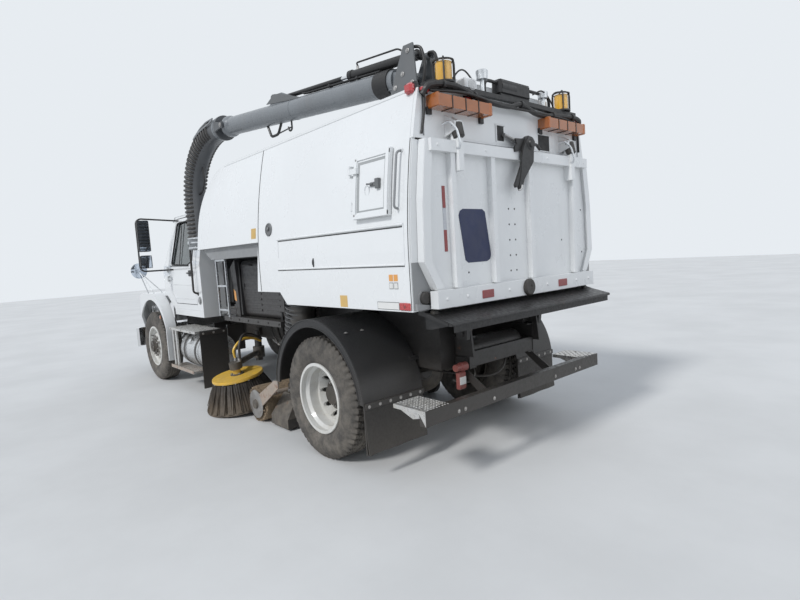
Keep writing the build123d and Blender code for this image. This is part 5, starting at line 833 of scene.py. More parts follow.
def hopper_side_trim():
    """Left side of the hopper; the right side is its mirror image."""
    belt_y = float(hopper_y(MOULD_Z))
    trim = [half_round(0.026, 0.014, MOULD_Z, belt_y, MOULD_REAR, MOULD_FRONT),
            half_round(0.018, 0.008, MOULD_LOW_Z, BELT_HALF, MOULD_REAR, MOULD_FRONT + 0.02),
            side_sheet(MOULD_REAR - 0.005, MOULD_REAR + 0.007, MOULD_LOW_Z, MOULD_Z, 0.007, 0.011, 4),
            side_sheet(MOULD_FRONT - 0.006, MOULD_FRONT + 0.004, MOULD_Z - 0.16, MOULD_Z, 0.004, 0.008, 3)]
    # The seam holds the upright joint and two black strips just under the mouldings: these strips are painted
    # shadow lines.
    seam = joined(side_sheet(HOPPER_SEAM - 0.005, HOPPER_SEAM + 0.004, 1.405, ROOF_Z, 0.0015, 0.006, 24),
                  half_round(0.007, 0.004, MOULD_Z - 0.0165, belt_y + 0.001, MOULD_REAR, MOULD_FRONT),
                  half_round(0.005, 0.003, MOULD_LOW_Z - 0.011, BELT_HALF + 0.001, MOULD_REAR,
                             MOULD_FRONT + 0.02))
    rear_joint = joined(side_sheet(HOPPER_REAR + 0.007, HOPPER_REAR + 0.013, 1.30, 2.44, 0.0015, 0.012, 20),
                        half_round(0.075, 0.010, MOULD_LOW_Z + 0.045, BELT_HALF, REAR_X + 0.010,
                                   REAR_X + 0.026))
    rear_band = side_sheet(HOPPER_REAR + 0.012, HOPPER_REAR + 0.050, 1.30, ROOF_Z, 0.003, 0.009, 24)
    roof_angle = prism([(ROOF_HALF - 0.012, ROOF_Z - 0.012), (ROOF_HALF + 0.006, ROOF_Z - 0.006),
                        (ROOF_HALF + 0.006, ROOF_Z + 0.012), (ROOF_HALF - 0.012, ROOF_Z + 0.014)], 0,
                       HOPPER_REAR + 0.02, HOPPER_SEAM + 0.94)
    return joined(*trim, rear_band), joined(seam, rear_joint), roof_angle


def round_cap():
    """Filler cap on the side: ring, recess and a knob, turned about the side's normal."""
    x, z = REAR_X + 0.78, 1.985
    y = float(hopper_y(z))
    tilt = math.atan2(float(hopper_y(z + 0.02)) - float(hopper_y(z - 0.02)), 0.04)
    normal = (0, math.cos(tilt), -math.sin(tilt))
    ring = lathed([(-0.004, 0.062), (0.006, 0.062), (0.010, 0.057), (0.010, 0.050), (0.004, 0.046),
                   (0.003, 0.0)], (x, y, z), normal, 36)
    knob = lathed([(0.0, 0.020), (0.014, 0.020), (0.018, 0.015), (0.018, 0.0)], (x + 0.006, y, z + 0.006),
                  normal, 18)
    tab = block((x - 0.010, y - 0.004, z - 0.085), (x + 0.012, y + 0.008, z - 0.055), 0.002)
    return joined(ring, knob), tab


def label(x0, x1, z0, z1, proud=0.0016):
    """A bare label that follows the hopper's side."""
    return side_sheet(x0, x1, z0, z1, proud, 0.003, 4)


def add_side_trim():
    """Mouldings, seams and painted shadow lines under the mouldings on both sides of the hopper, and the
    round cap on the left.
    """
    trim, seam, roof_angle = hopper_side_trim()
    cap, tab = round_cap()
    # The black seam piece includes the painted shadow lines under the mouldings.
    parts = [(both(trim), "panel_white"), (both(seam), "seal_black"), (both(roof_angle), "panel_white")]
    parts += [(cap, "bracket_grey"), (tab, "panel_white")]
    piece("hopper_side_trim", parts, "hopper")


def add_roof_pads():
    """Rubber pads and a dark line along the roof's edges."""
    pads = [lathed([(-w, 0.010), (-w, 0.030), (w, 0.030), (w, 0.010)],
                   (x, ROOF_HALF - 0.030, ROOF_Z - 0.006), (1, 0, 0), 20)
            for x, w in ((HOPPER_SEAM + 0.30, 0.035), (HOPPER_SEAM - 0.62, 0.060))]
    edge = tube([(HOPPER_SEAM + 0.86, ROOF_HALF - 0.008, ROOF_Z + 0.012),
                 (HOPPER_SEAM - 0.70, ROOF_HALF - 0.008, ROOF_Z + 0.012)], 0.006)
    piece("roof_edge_pads", [(both(pads), "rubber_black"), (both(edge), "seal_black")], "hopper")


def add_side_labels():
    """Bare labels low on the hopper's left side, with a lamp and its reflector."""
    labels = [(label(HOPPER_SEAM + 0.050, HOPPER_SEAM + 0.150, 1.920, 2.020), "label_ochre"),
              (label(REAR_X - 0.430, REAR_X - 0.335, 1.300, 1.390), "label_ochre")]
    for x in (REAR_X - 1.015, REAR_X - 0.965):
        labels.append((label(x - 0.021, x + 0.021, 1.500, 1.545), "label_orange"))
        labels.append((label(x - 0.021, x + 0.021, 1.445, 1.490), "bracket_grey"))
        labels.append((label(x - 0.018, x + 0.018, 1.449, 1.486, 0.0024), "label_white"))
    labels += [(label(REAR_X - 1.038, REAR_X - 0.800, 1.300, 1.354), "bracket_grey"),
               (label(REAR_X - 1.034, REAR_X - 0.804, 1.304, 1.350, 0.0024), "label_white")]
    lamp = block((REAR_X - 1.155, BELT_HALF - 0.003, 1.300), (REAR_X - 1.045, BELT_HALF + 0.010, 1.352),
                 0.004)
    reflector = lathed([(0, 0.012), (0.003, 0.012), (0.004, 0.009)],
                       (REAR_X - 1.10, BELT_HALF + 0.008, 1.326), (0, 1, 0), 16)
    piece("hopper_side_labels", labels + [(lamp, "red_lens"), (reflector, "reflect_red")], "hopper")


def add_grab_handles():
    """Upright handles near the hopper's rear, each on two round feet."""
    x = REAR_X - 1.080
    y_low, y_high = float(hopper_y(1.99)), float(hopper_y(2.36))
    grab = tube([(x + 0.012, y_low - 0.01, 1.985), (x + 0.006, y_low + 0.045, 1.992),
                 (x, y_high + 0.045, 2.362), (x - 0.002, y_high - 0.01, 2.375)], 0.0085, 0.03)
    feet = joined(disc((x + 0.012, y_low + 0.002, 1.985), (0, 1, 0), 0.016, 0.006),
                  disc((x - 0.002, y_high + 0.002, 2.375), (0, 1, 0), 0.016, 0.006))
    piece("hopper_grab_handles", [(both(grab), "wedge_grey"), (both(feet), "panel_white")], "hopper")


def add_hatch_detail():
    """Raised rim, flat grey bands inside it that paint the shade of a sunk panel line, latch and a lanyard
    ring on the side hatch.
    """
    low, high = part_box("side_hatch")
    x0, x1, z0, z1 = low.x, REAR_X - 0.604, low.z, high.z
    face = 0.034
    rim = [side_sheet(x0 + 0.002, x1, z1 - 0.036, z1 - 0.004, face + 0.010, 0.020),
           side_sheet(x0 + 0.002, x1, z0 + 0.004, z0 + 0.036, face + 0.010, 0.020),
           side_sheet(x0 + 0.002, x0 + 0.034, z0 + 0.010, z1 - 0.010, face + 0.010, 0.020),
           side_sheet(x1 - 0.034, x1, z0 + 0.010, z1 - 0.010, face + 0.010, 0.020)]
    # Flat grey bands just proud of the face: painted shade of the sunk panel line.
    groove = [side_sheet(x0 + 0.040, x1 - 0.040, z1 - 0.072, z1 - 0.046, face + 0.001, 0.004),
              side_sheet(x0 + 0.050, x1 - 0.050, z0 + 0.050, z0 + 0.060, face + 0.001, 0.004),
              side_sheet(x0 + 0.040, x0 + 0.050, z0 + 0.050, z1 - 0.046, face + 0.001, 0.004),
              side_sheet(x1 - 0.066, x1 - 0.040, z0 + 0.050, z1 - 0.046, face + 0.001, 0.004)]
    zc = (z0 + z1) / 2
    y = float(hopper_y(zc, face))
    xc = x0 + 0.135
    latch = joined(block((xc - 0.040, y - 0.002, zc - 0.014), (xc + 0.055, y + 0.016, zc + 0.014)),
                   block((xc - 0.052, y - 0.002, zc - 0.036), (xc - 0.012, y + 0.026, zc + 0.034)),
                   tube([(xc + 0.020, y + 0.018, zc), (xc + 0.075, y + 0.026, zc + 0.006)], 0.006))
    ring = tube(np.stack([x0 + 0.235 + 0.026 * np.cos(np.linspace(0, 6.1, 24)), np.full(24, y + 0.006),
                          zc - 0.035 + 0.036 * np.sin(np.linspace(0, 6.1, 24))], -1), 0.0018, sides=6)
    screws = bolt_heads([(x1 - 0.020, float(hopper_y(z, face + 0.010)), z) for z in (z0 + 0.03, z1 - 0.03)],
                        (0, 1, 0), 0.006, 0.004)
    piece("hatch_trim", [(rim, "panel_white"), (groove, "groove_grey"), (latch, "bracket_grey"),
                         (ring, "galvanised"), (screws, "nut_steel")], "side_hatch")


# Rear door: return flange, bolts, strips, reflectors, patch, hooks
DOOR_RIM = HOPPER_REAR - 0.068
DOOR_SKIN = DOOR_RIM + 0.025


def door_edge(z, inset=0.0):
    """Half width of the door at a height, straight between the corners of its outline."""
    return np.interp(z, [1.290, 1.426, 1.620, 2.040, 2.430], [0.800, 0.978, 1.085, 1.069, 1.018]) - inset


def add_rear_door_detail():
    """Return flange, strips, reflectors, bolts, plain patch and the hooks of the hinges."""
    x = DOOR_SKIN
    rim_x = DOOR_RIM
    zs = np.concatenate([[1.432], np.linspace(1.62, 2.428, 9)])
    outer = np.stack([door_edge(zs, 0.000), zs], -1)
    inner = np.stack([door_edge(zs, 0.070), zs], -1)[::-1]
    flange = prism(np.concatenate([outer, inner]), 0, rim_x - 0.005, rim_x + 0.002)
    strips, silver = [], []
    for y0, y1 in ((0.828, 0.858), (-0.862, -0.832)):
        for k, z0 in enumerate(np.linspace(1.68, 2.13, 4)[:3]):
            strip = block((x - 0.003, y0, z0), (x + 0.001, y1, z0 + 0.149), 0.0008)
            (silver if k == 1 else strips).append(strip)
    rail_x = rim_x - 0.045
    reflectors = [block((rail_x - 0.006, y - 0.065, 1.325), (rail_x + 0.001, y + 0.065, 1.385), 0.003)
                  for y in (0.50, -0.50)]
    stopper = lathed([(0, 0.066), (0.020, 0.066), (0.028, 0.056), (0.028, 0.020), (0.024, 0.016),
                      (0.024, 0.0)], (rail_x, 0.0, 1.36), (-1, 0, 0), 36)
    holes = [(x - 0.0006, y, z) for y in (0.12, 0.045) for z in (1.50, 1.62, 1.74, 1.86, 1.98)]
    holes += [(x - 0.0006, -0.62, 1.72), (x - 0.0006, 0.62, 1.52), (x - 0.0006, -0.95, 1.98),
              (x - 0.0006, -0.95, 1.60)]
    dots = spread(disc((0, 0, 0), (1, 0, 0), 0.0075, 0.0016, 0.0004, 14), holes)
    rows = [bolt_heads([(rail_x, y, 1.36) for y in (-0.93, -0.72, -0.27, 0.24, 0.72, 0.93)], (-1, 0, 0),
                       0.009, 0.007),
            bolt_heads([(rim_x - 0.030, y, 2.39) for y in (-0.93, -0.36, 0.43, 0.93)], (-1, 0, 0), 0.008,
                       0.006)]
    piece("rear_door_trim", [(both(flange), "door_white"), (strips, "reflect_red"),
                             (silver, "reflect_silver"), (reflectors, "reflect_red"),
                             (stopper, "rubber_black"), (dots, "seal_black"), (rows, "door_white")],
          "rear_door")
    patch = [(0.70, 1.93), (0.685, 1.96), (0.655, 1.975), (0.44, 1.975), (0.41, 1.955), (0.36, 1.64),
             (0.375, 1.605), (0.41, 1.59), (0.62, 1.59), (0.65, 1.61)]
    piece("navy_patch", [(prism(patch, 0, x - 0.0022, x + 0.001), "navy_patch")], "rear_door")
    hooks = []
    for sign in (1, -1):
        y = 0.72 * sign
        hooks.append(tube([(REAR_X - 1.215, y + 0.10, 2.54), (REAR_X - 1.26, y + 0.085, 2.56),
                           (REAR_X - 1.31, y + 0.06, 2.50), (REAR_X - 1.335, y + 0.058, 2.40),
                           (REAR_X - 1.322, y + 0.056, 2.365), (REAR_X - 1.300, y + 0.056, 2.372)], 0.008,
                          0.03))
    boot = [lathed([(-0.055, 0.026), (-0.045, 0.040), (0.045, 0.046), (0.055, 0.030)],
                   (REAR_X - 1.262, s * 0.72, 2.50), (0.3, 0, 1), 16) for s in (1, -1)]
    piece("door_hinge_boots", [(hooks, "galvanised"), (boot, "cast_dark")], "rear_door")


def add_door_frame():
    """Frame that the rear door closes on: a band from the wall in to the door's outline."""
    zs = np.array([1.300, 1.426, 1.620, 1.83, 2.040, 2.24, 2.430])
    outer = np.stack([np.minimum(hopper_y(zs), BELT_HALF) - 0.010, zs], -1)
    inner = np.stack([door_edge(zs, 0.030), zs], -1)[::-1]
    corner = prism(np.concatenate([outer[:3], inner[-3:]]), 0, HOPPER_REAR - 0.0065, HOPPER_REAR - 0.001)
    upright = prism(np.concatenate([outer[2:], inner[:-2]]), 0, HOPPER_REAR - 0.006, HOPPER_REAR - 0.001)
    rounds = [lathed([(0, 0.046), (0.018, 0.046), (0.026, 0.036), (0.026, 0.0)],
                     (HOPPER_REAR - 0.006, s * 1.045, 1.375), (-1, 0, 0), 28) for s in (1, -1)]
    stay = [prism([(s * 0.86, 1.300), (s * 1.135, 1.300), (s * 1.135, 1.345)], 0, HOPPER_REAR - 0.030,
                  HOPPER_REAR - 0.006) for s in (1, -1)]
    piece("load_frame", [(both(upright), "door_white"), (both(corner), "wedge_grey"),
                         (rounds, "rubber_black"), (stay, "wedge_grey")], "hopper")


# Settings that a user can change, camera, floor and light
def paint(name, description, default):
    """A colour that a user can change."""
    return FloatVectorProperty(name=name, description=description, subtype="COLOR", size=3, default=default,
                               min=0, max=1)


class FinishSettings(bpy.types.PropertyGroup):
    """Colours of the truck's main finishes."""

    body_white: paint("Body white", "Paint of hopper and cab", (0.76, 0.77, 0.77))
    frame_black: paint("Frame black", "Paint of the chassis", (0.012, 0.0125, 0.014))
    boom_grey: paint("Boom grey", "Paint of the boom", (0.155, 0.175, 0.195))
    amber: paint("Amber", "Lenses of the light bars", (0.52, 0.135, 0.008))
    broom_yellow: paint("Broom yellow", "Discs of the gutter brooms", (0.80, 0.48, 0.03))
    navy: paint("Navy", "Plain patch on the rear door", (0.020, 0.028, 0.075))


class SizeSettings(bpy.types.PropertyGroup):
    """Sizes and counts of the fine pieces."""

    tread_depth: FloatProperty(name="Tread depth", description="Depth of the tyres' grooves", default=0.013,
                               min=0.004, max=0.02, unit="LENGTH")
    rib_count: IntProperty(name="Hose ribs", description="Ribs on the boom's hanging hose", default=33,
                           min=20, max=80)
    bristle_rows: IntProperty(name="Bristle rows", description="Rows of bristles round a gutter broom",
                              default=64, min=16, max=120)
    bristle_width: FloatProperty(name="Bristle width", description="Width of one bristle bundle",
                                 default=0.006, min=0.002, max=0.02, unit="LENGTH")


class SweeperStage(bpy.types.Operator):
    """Adds the camera, the pale floor and the soft studio light."""

    bl_idname = "sweeper.stage"
    bl_label = "Stage and camera"

    def execute(self, context):
        add_camera()
        add_floor()
        add_light()
        return {"FINISHED"}


def add_camera():
    """Camera axes: right and up turned by the roll about the line of sight."""
    yaw, pitch, roll = (math.radians(a) for a in (CAMERA_YAW, CAMERA_PITCH, CAMERA_ROLL))
    ahead = np.array([math.cos(pitch) * math.cos(yaw), math.cos(pitch) * math.sin(yaw), math.sin(pitch)])
    right = np.array([math.sin(yaw), -math.cos(yaw), 0.0])
    up = np.cross(right, ahead)
    right_turned = math.cos(roll) * right + math.sin(roll) * up
    up_turned = -math.sin(roll) * right + math.cos(roll) * up
    data = bpy.data.cameras.new("camera")
    data.sensor_fit = "HORIZONTAL"
    data.sensor_width = SENSOR
    data.lens = CAMERA_FOCAL * SENSOR
    data.clip_end = 200.0
    camera = bpy.data.objects.new("camera", data)
    turn = Matrix(np.stack([right_turned, up_turned, -ahead], -1).tolist())
    camera.matrix_world = Matrix.Translation(Vector(CAMERA_PLACE)) @ turn.to_4x4()
    bpy.context.scene.collection.objects.link(camera)
    bpy.context.scene.camera = camera


def add_floor():
    """A wide pale floor with faint clouds."""
    g = Graph("floor_pale")
    g.feed(g.shader.inputs["Base Color"], g.blend(g.fade(g.noise(0.6, 6.0), 0.3, 0.7), (0.60, 0.60, 0.59),
                                                  (0.66, 0.66, 0.65)))
    g.shader.inputs["Roughness"].default_value = 0.85
    grid = np.zeros((2, 2, 3))
    grid[..., 0], grid[..., 1] = np.meshgrid([-40, 40], [-40, 40], indexing="ij")
    points, faces = surface(grid)
    mesh = bpy.data.meshes.new("floor")
    mesh.from_pydata(points, [], [face[::-1] for face in faces])
    mesh.materials.append(g.material)
    floor = bpy.data.objects.new("floor", mesh)
    bpy.context.scene.collection.objects.link(floor)


LAMPS = (
    # name, direction that the light comes from, strength, apparent width in degrees
    ("key", (-0.10, 1.0, 0.85), 1.90, 10.0),
    ("fill", (-1.0, -0.35, 0.75), 0.55, 60.0),
)


def add_light():
    """A pale world that shows white to the camera, and soft lamps from far away."""
    world = bpy.data.worlds.new("studio")
    bpy.context.scene.world = world
    world.use_nodes = True
    tree = world.node_tree
    back = tree.nodes["Background"]
    back.inputs["Color"].default_value = (0.80, 0.88, 1.0, 1)
    back.inputs["Strength"].default_value = 0.62
    seen = tree.nodes.new("ShaderNodeBackground")
    seen.inputs["Color"].default_value = (0.80, 0.84, 0.88, 1)
    mix = tree.nodes.new("ShaderNodeMixShader")
    path = tree.nodes.new("ShaderNodeLightPath")
    rays = [path.outputs[n] for n in ("Is Camera Ray", "Is Glossy Ray", "Is Transmission Ray")]
    total = rays[0]
    for ray in rays[1:]:
        add = tree.nodes.new("ShaderNodeMath")
        add.operation = "MAXIMUM"
        tree.links.new(total, add.inputs[0])
        tree.links.new(ray, add.inputs[1])
        total = add.outputs[0]
    tree.links.new(total, mix.inputs[0])
    tree.links.new(back.outputs[0], mix.inputs[1])
    tree.links.new(seen.outputs[0], mix.inputs[2])
    tree.links.new(mix.outputs[0], tree.nodes["World Output"].inputs[0])
    for name, source, strength, width in LAMPS:
        data = bpy.data.lights.new(name, "SUN")
        data.energy = strength
        data.angle = math.radians(width)
        lamp = bpy.data.objects.new(name, data)
        lamp.rotation_mode = "QUATERNION"
        lamp.rotation_quaternion = Vector(source).to_track_quat("Z", "Y")
        bpy.context.scene.collection.objects.link(lamp)


# Rear roof edge: cable loom, marker lamps, lamps and boxes on the rack, brackets of the light bars
LOOM_X = HOPPER_REAR - 0.062


def add_light_bars():
    """Bands, ends and feet of the light bars, and the cable loom with its clips."""
    bars, bands, ends, feet = [], [], [], []
    x0, x1 = HOPPER_REAR - 0.120, HOPPER_REAR - 0.015
    for y0, y1 in ((0.380, 0.920), (-0.920, -0.380)):
        for t in (0.25, 0.5, 0.75):
            y = y0 + (y1 - y0) * t
            bands.append(block((x0 - 0.004, y - 0.005, 2.636), (x1 + 0.004, y + 0.005, 2.724), 0.002))
        for y in (y0, y1):
            ends.append(block((x0 - 0.006, y - 0.014, 2.634), (x1 + 0.006, y + 0.014, 2.726), 0.006))
            feet.append(block((x1 - 0.020, y - 0.022, 2.600), (HOPPER_REAR - 0.012, y + 0.022, 2.650), 0.003))
        bars.append(block((x1 - 0.006, y0 + 0.02, 2.652), (x1 + 0.004, y1 - 0.02, 2.708), 0.003))
    cables = [cable([(LOOM_X + 0.03, 0.985, 2.720), (LOOM_X - 0.004, 0.93, 2.785),
                     (LOOM_X - 0.012, 0.70, 2.808), (LOOM_X - 0.006, 0.42, 2.758),
                     (LOOM_X - 0.006, 0.10, 2.752), (LOOM_X - 0.010, -0.06, 2.786),
                     (LOOM_X - 0.006, -0.30, 2.740), (LOOM_X - 0.012, -0.66, 2.770), (LOOM_X, -0.92, 2.775),
                     (LOOM_X + 0.03, -0.985, 2.720)], 0.020, 70),
              cable([(LOOM_X + 0.01, 0.93, 2.75), (LOOM_X - 0.03, 0.60, 2.768),
                     (LOOM_X - 0.020, 0.20, 2.742), (LOOM_X - 0.018, -0.20, 2.748),
                     (LOOM_X - 0.02, -0.62, 2.748), (LOOM_X + 0.01, -0.90, 2.74)], 0.010, 48),
              cable([(HOPPER_REAR - 0.018, 0.955, 2.760), (HOPPER_REAR - 0.030, 0.965, 2.66),
                     (HOPPER_REAR - 0.024, 0.985, 2.52), (HOPPER_REAR - 0.022, 0.998, 2.47)], 0.009, 24),
              cable([(HOPPER_REAR - 0.018, -0.955, 2.760), (HOPPER_REAR - 0.030, -0.965, 2.66),
                     (HOPPER_REAR - 0.024, -0.985, 2.50)], 0.009, 24)]
    clips = [disc((LOOM_X - 0.012, y, z), (0, 1, 0.05), 0.027, 0.020)
             for y, z in ((0.82, 2.800), (0.50, 2.772), (-0.06, 2.786), (-0.50, 2.757), (-0.80, 2.776))]
    parts = [(bands, "frame_black"), (ends, "amber_lens"), (feet, "frame_black"),
             (bars, "seal_black"), (cables, "rubber_black"), (clips, "plastic_black")]
    piece("light_bar_trim", parts, "hopper")


def add_marker_lamps():
    """Red lamps along the roof's rear edge and at its corners."""
    lamps, bases = [], []
    for y in (0.955, -0.955, 0.520, -0.560):
        lamps.append(block((HOPPER_REAR - 0.048, y - 0.035, 2.740), (HOPPER_REAR - 0.010, y + 0.035, 2.772),
                           0.008))
        bases.append(block((HOPPER_REAR - 0.020, y - 0.040, 2.735), (HOPPER_REAR - 0.008, y + 0.040, 2.777),
                           0.002))
    corner = block((HOPPER_REAR + 0.012, ROOF_HALF - 0.012, 2.738),
                   (HOPPER_REAR + 0.088, ROOF_HALF + 0.040, 2.808), 0.014)
    plate = block((HOPPER_REAR + 0.004, ROOF_HALF - 0.016, 2.730),
                  (HOPPER_REAR + 0.096, ROOF_HALF + 0.006, 2.816), 0.004)
    piece("marker_lamps", [([*lamps, both(corner)], "red_lens"), ([*bases, both(plate)], "plastic_black")],
          "hopper")


def add_rack_gear():
    """Box, horn, motor, arch, lamp, wires and hoops round the beacons on the roof rack."""
    x = HOPPER_REAR
    top = 2.83
    box = block((x - 0.050, 0.430, top - 0.03), (x + 0.050, 0.560, top + 0.075), 0.012)
    horn = lathed([(0, 0.016), (0.10, 0.016), (0.105, 0.042), (0.165, 0.046), (0.172, 0.040)],
                  (x - 0.015, 0.335, top - 0.01), (0, 0, 1), 24)
    face = disc((x - 0.052, 0.495, top + 0.025), (1, 0, 0), 0.040, 0.008)
    plate = prism([(x + 0.056, top - 0.04), (x + 0.056, top + 0.086), (x + 0.066, top + 0.092),
                   (x + 0.20, top - 0.04)], 1, -0.62, 0.62)
    motor = [block((x - 0.030, -0.262, top + 0.02), (x + 0.070, 0.132, top + 0.145), 0.02),
             lathed([(0, 0.055), (0.18, 0.055), (0.19, 0.045)], (x + 0.02, 0.11, top + 0.085), (0, -1, 0),
                    24)]
    arch = tube([(x + 0.01, 0.28, top), (x + 0.01, 0.28, top + 0.115), (x + 0.01, -0.58, top + 0.115),
                 (x + 0.01, -0.58, top)], 0.013, 0.09)
    post_lamp = lathed([(0, 0.018), (0.07, 0.018), (0.075, 0.040), (0.125, 0.042), (0.13, 0.035)],
                       (x - 0.01, -0.46, top), (0, 0, 1), 20)
    wires = [cable([(x - 0.02, 0.66, top + 0.05), (x - 0.03, 0.60, top + 0.11), (x - 0.02, 0.52, top + 0.12),
                    (x, 0.40, top + 0.06)], 0.006, 20),
             cable([(x - 0.02, -0.30, top + 0.08), (x - 0.04, -0.40, top + 0.12),
                    (x - 0.03, -0.52, top + 0.08), (x - 0.01, -0.62, top + 0.02)], 0.006, 20)]
    hoops = []
    for y in (0.740, -0.740):
        for turn in (0.0, 90.0):
            a = math.radians(turn + 45)
            reach = np.array([math.cos(a), math.sin(a), 0]) * 0.074
            foot = np.array([x - 0.010, y, 2.835])
            hoops.append(tube([foot + reach, foot + reach + (0, 0, 0.168), foot - reach + (0, 0, 0.168),
                               foot - reach], 0.0065, 0.05))
    crowns = [disc((x - 0.010, s * 0.740, 2.968), (0, 0, 1), 0.05, 0.012) for s in (1, -1)]
    piece("rack_gear", [(box, "panel_white"), (horn, "galvanised"), (face, "clear_lens"),
                        (plate, "panel_white"), (motor, "frame_black"), (arch, "frame_black"),
                        (post_lamp, "galvanised"), (wires, "rubber_black"), (hoops, "frame_black"),
                        (crowns, "amber_lens")], "hopper")


def add_rear_head():
    """Panel above the door: seam, service opening with its lining, latch slot and silver shaft; black plates
    paint the shade inside the opening and the slot.
    """
    x = HOPPER_REAR - 0.015
    # Black plates stand for the slot and the opening: painted shade inside them.
    holes = [block((x - 0.003, -0.52, 2.47), (x + 0.001, -0.36, 2.60), 0.001),
             block((x - 0.004, 0.105, 2.500), (x + 0.001, 0.195, 2.615), 0.002)]
    # Each strip of the frames: from and to along Y, from and to in height
    strips = ((-0.530, -0.350, 2.598, 2.608), (-0.530, -0.350, 2.462, 2.472), (0.088, 0.212, 2.612, 2.622),
              (0.195, 0.206, 2.49, 2.62))
    frames = [block((x - 0.010, y0, z0), (x + 0.001, y1, z1)) for y0, y1, z0, z1 in strips]
    shaft = lathed([(0, 0.014), (0.20, 0.014), (0.205, 0.010)], (x - 0.020, 0.13, 2.545), (0, -1, -0.25), 16)
    seam = [block((x - 0.003, s * 0.972 - 0.006, 2.46), (x + 0.001, s * 0.972 + 0.006, 2.74), 0.001)
            for s in (1, -1)]
    flap = block((x - 0.014, -0.34, 2.455), (x + 0.001, 0.66, 2.470), 0.003)
    piece("rear_head_trim", [(holes, "seal_black"), (frames, "panel_white"), (shaft, "steel_worn"),
                             (seam, "wedge_grey"), (flap, "door_white")], "hopper")


def add_lever_detail():
    """Dark boss with its bolts, the lever's grip and ribs."""
    x = DOOR_RIM
    y, z = -0.080, 2.480
    boss = lathed([(0, 0.062), (0.026, 0.062), (0.032, 0.054), (0.044, 0.052), (0.048, 0.034),
                   (0.060, 0.030), (0.062, 0.0)], (x - 0.024, y, z), (-1, 0, 0), 28)
    blade = [(y - 0.046, z + 0.020), (y - 0.030, z - 0.14), (0.020, 2.20), (0.052, 2.125), (0.082, 2.110),
             (0.094, 2.135), (0.062, 2.235), (0.034, z - 0.085), (y + 0.090, z - 0.030),
             (y + 0.050, z + 0.030)]
    arm = prism(blade, 0, x - 0.066, x - 0.046)
    crank = [(y + 0.03, z + 0.048), (y + 0.03, z - 0.030), (y + 0.10, z - 0.062), (y + 0.175, z - 0.075),
             (y + 0.18, z - 0.040), (y + 0.15, z - 0.012), (y + 0.165, z + 0.028), (y + 0.09, z + 0.032)]
    crank = prism(crank, 0, x - 0.044, x - 0.030)
    grip = tube([(x - 0.070, 0.062, 2.150), (x - 0.076, 0.082, 2.118), (x - 0.070, 0.105, 2.112)], 0.008,
                0.01)
    yoke = block((x - 0.060, y - 0.060, z - 0.05), (x - 0.028, y + 0.055, z + 0.010), 0.008)
    link = tube([(x - 0.040, y - 0.02, z - 0.02), (x - 0.046, y - 0.10, z + 0.005),
                 (x - 0.040, y - 0.16, z - 0.03)], 0.012, 0.02)
    corners = [(x - 0.056, y + dy, z + dz)
               for dy, dz in ((0.03, 0.03), (-0.03, 0.03), (0.03, -0.03), (-0.03, -0.03))]
    bolts = bolt_heads(corners, (-1, 0, 0), 0.006, 0.004)
    piece("door_lever_trim", [(boss, "frame_black"), (grip, "steel_worn"),
                              (joined(arm, crank, yoke, link), "frame_black"), (bolts, "nut_steel")],
          "rear_door")


def add_lip_detail():
    """Gussets and rolled edge of the discharge lip, with a skirt of black plate down each side."""
    x0, x1 = REAR_X - 1.420, HOPPER_REAR + 0.055
    gussets = [prism([(x0 + 0.035, 1.194), (x1, 1.255), (x1, 1.150), (x1 - 0.05, 1.150)], 1, y - 0.004,
                     y + 0.004) for y in (-0.98, -0.62, -0.22, 0.22, 0.62, 0.98)]
    edge = tube([(x0 + 0.006, -1.046, 1.205), (x0 + 0.006, 1.046, 1.205)], 0.011)
    rubber = block((x0 + 0.004, -1.02, 1.150), (x0 + 0.012, 1.02, 1.205), 0.002)
    wings = [prism([(x0 + 0.03, 1.214), (HOPPER_REAR + 0.02, 1.287), (HOPPER_REAR + 0.02, 1.262),
                    (x0 + 0.03, 1.197)], 1, s * 1.048 - 0.004, s * 1.048 + 0.004) for s in (1, -1)]
    buffers = [lathed([(0, 0.030), (0.028, 0.030), (0.034, 0.022)], (HOPPER_REAR - 0.020, s * 0.985, 1.262),
                      (-1, 0, 0), 24) for s in (1, -1)]
    corner = [prism([(1.02 * s, 1.29), (1.10 * s, 1.29), (1.10 * s, 1.40), (1.075 * s, 1.43)], 0,
                    HOPPER_REAR - 0.012, HOPPER_REAR - 0.002) for s in (1, -1)]
    piece("lip_trim", [([*gussets, *wings], "frame_black"), (edge, "frame_black"), (rubber, "flap_rubber"),
                       (buffers, "rubber_black"), (corner, "wedge_grey")], "hopper")


# Boom: brackets, hooks, straps and the ribs of its hose
POST = np.array([REAR_X - 0.790, 0.650])
LIFT_Z = 3.000
BOOM_YAW = math.radians(5.84)
BOOM_REACH = 3.639
TUBE_END_X, TUBE_END_Z = 2.654, 0.190
TUBE_SLOPE = TUBE_END_Z / TUBE_END_X
RAM_FOOT_X, RAM_FOOT_Z = -0.060, 0.150
RAM_SLOPE = 0.0619
HOSE_R = 0.120
HOSE_BEND = 0.740
HOSE_LOW_Z, MOUTH_Z = 2.050, 1.890


def on_boom(points):
    """Places drawn with the lift pin at the origin and the boom along +X, put on the machine."""
    points = np.asarray(points, float)
    c, s = math.cos(BOOM_YAW), math.sin(BOOM_YAW)
    x = POST[0] + points[..., 0] * c - points[..., 1] * s
    y = POST[1] + points[..., 0] * s + points[..., 1] * c
    return np.stack([x, y, LIFT_Z + points[..., 2]], -1)


def boomed(shape):
    """A surface, or a list of them, drawn along the boom, put on the machine."""
    points, faces = whole(shape)
    return on_boom(points), faces


def on_ram(along, lift=0.0):
    """A place on the lift ram's axis in the boom's own frame, this far from its foot."""
    return RAM_FOOT_X + along, 0, RAM_FOOT_Z + RAM_SLOPE * along + lift


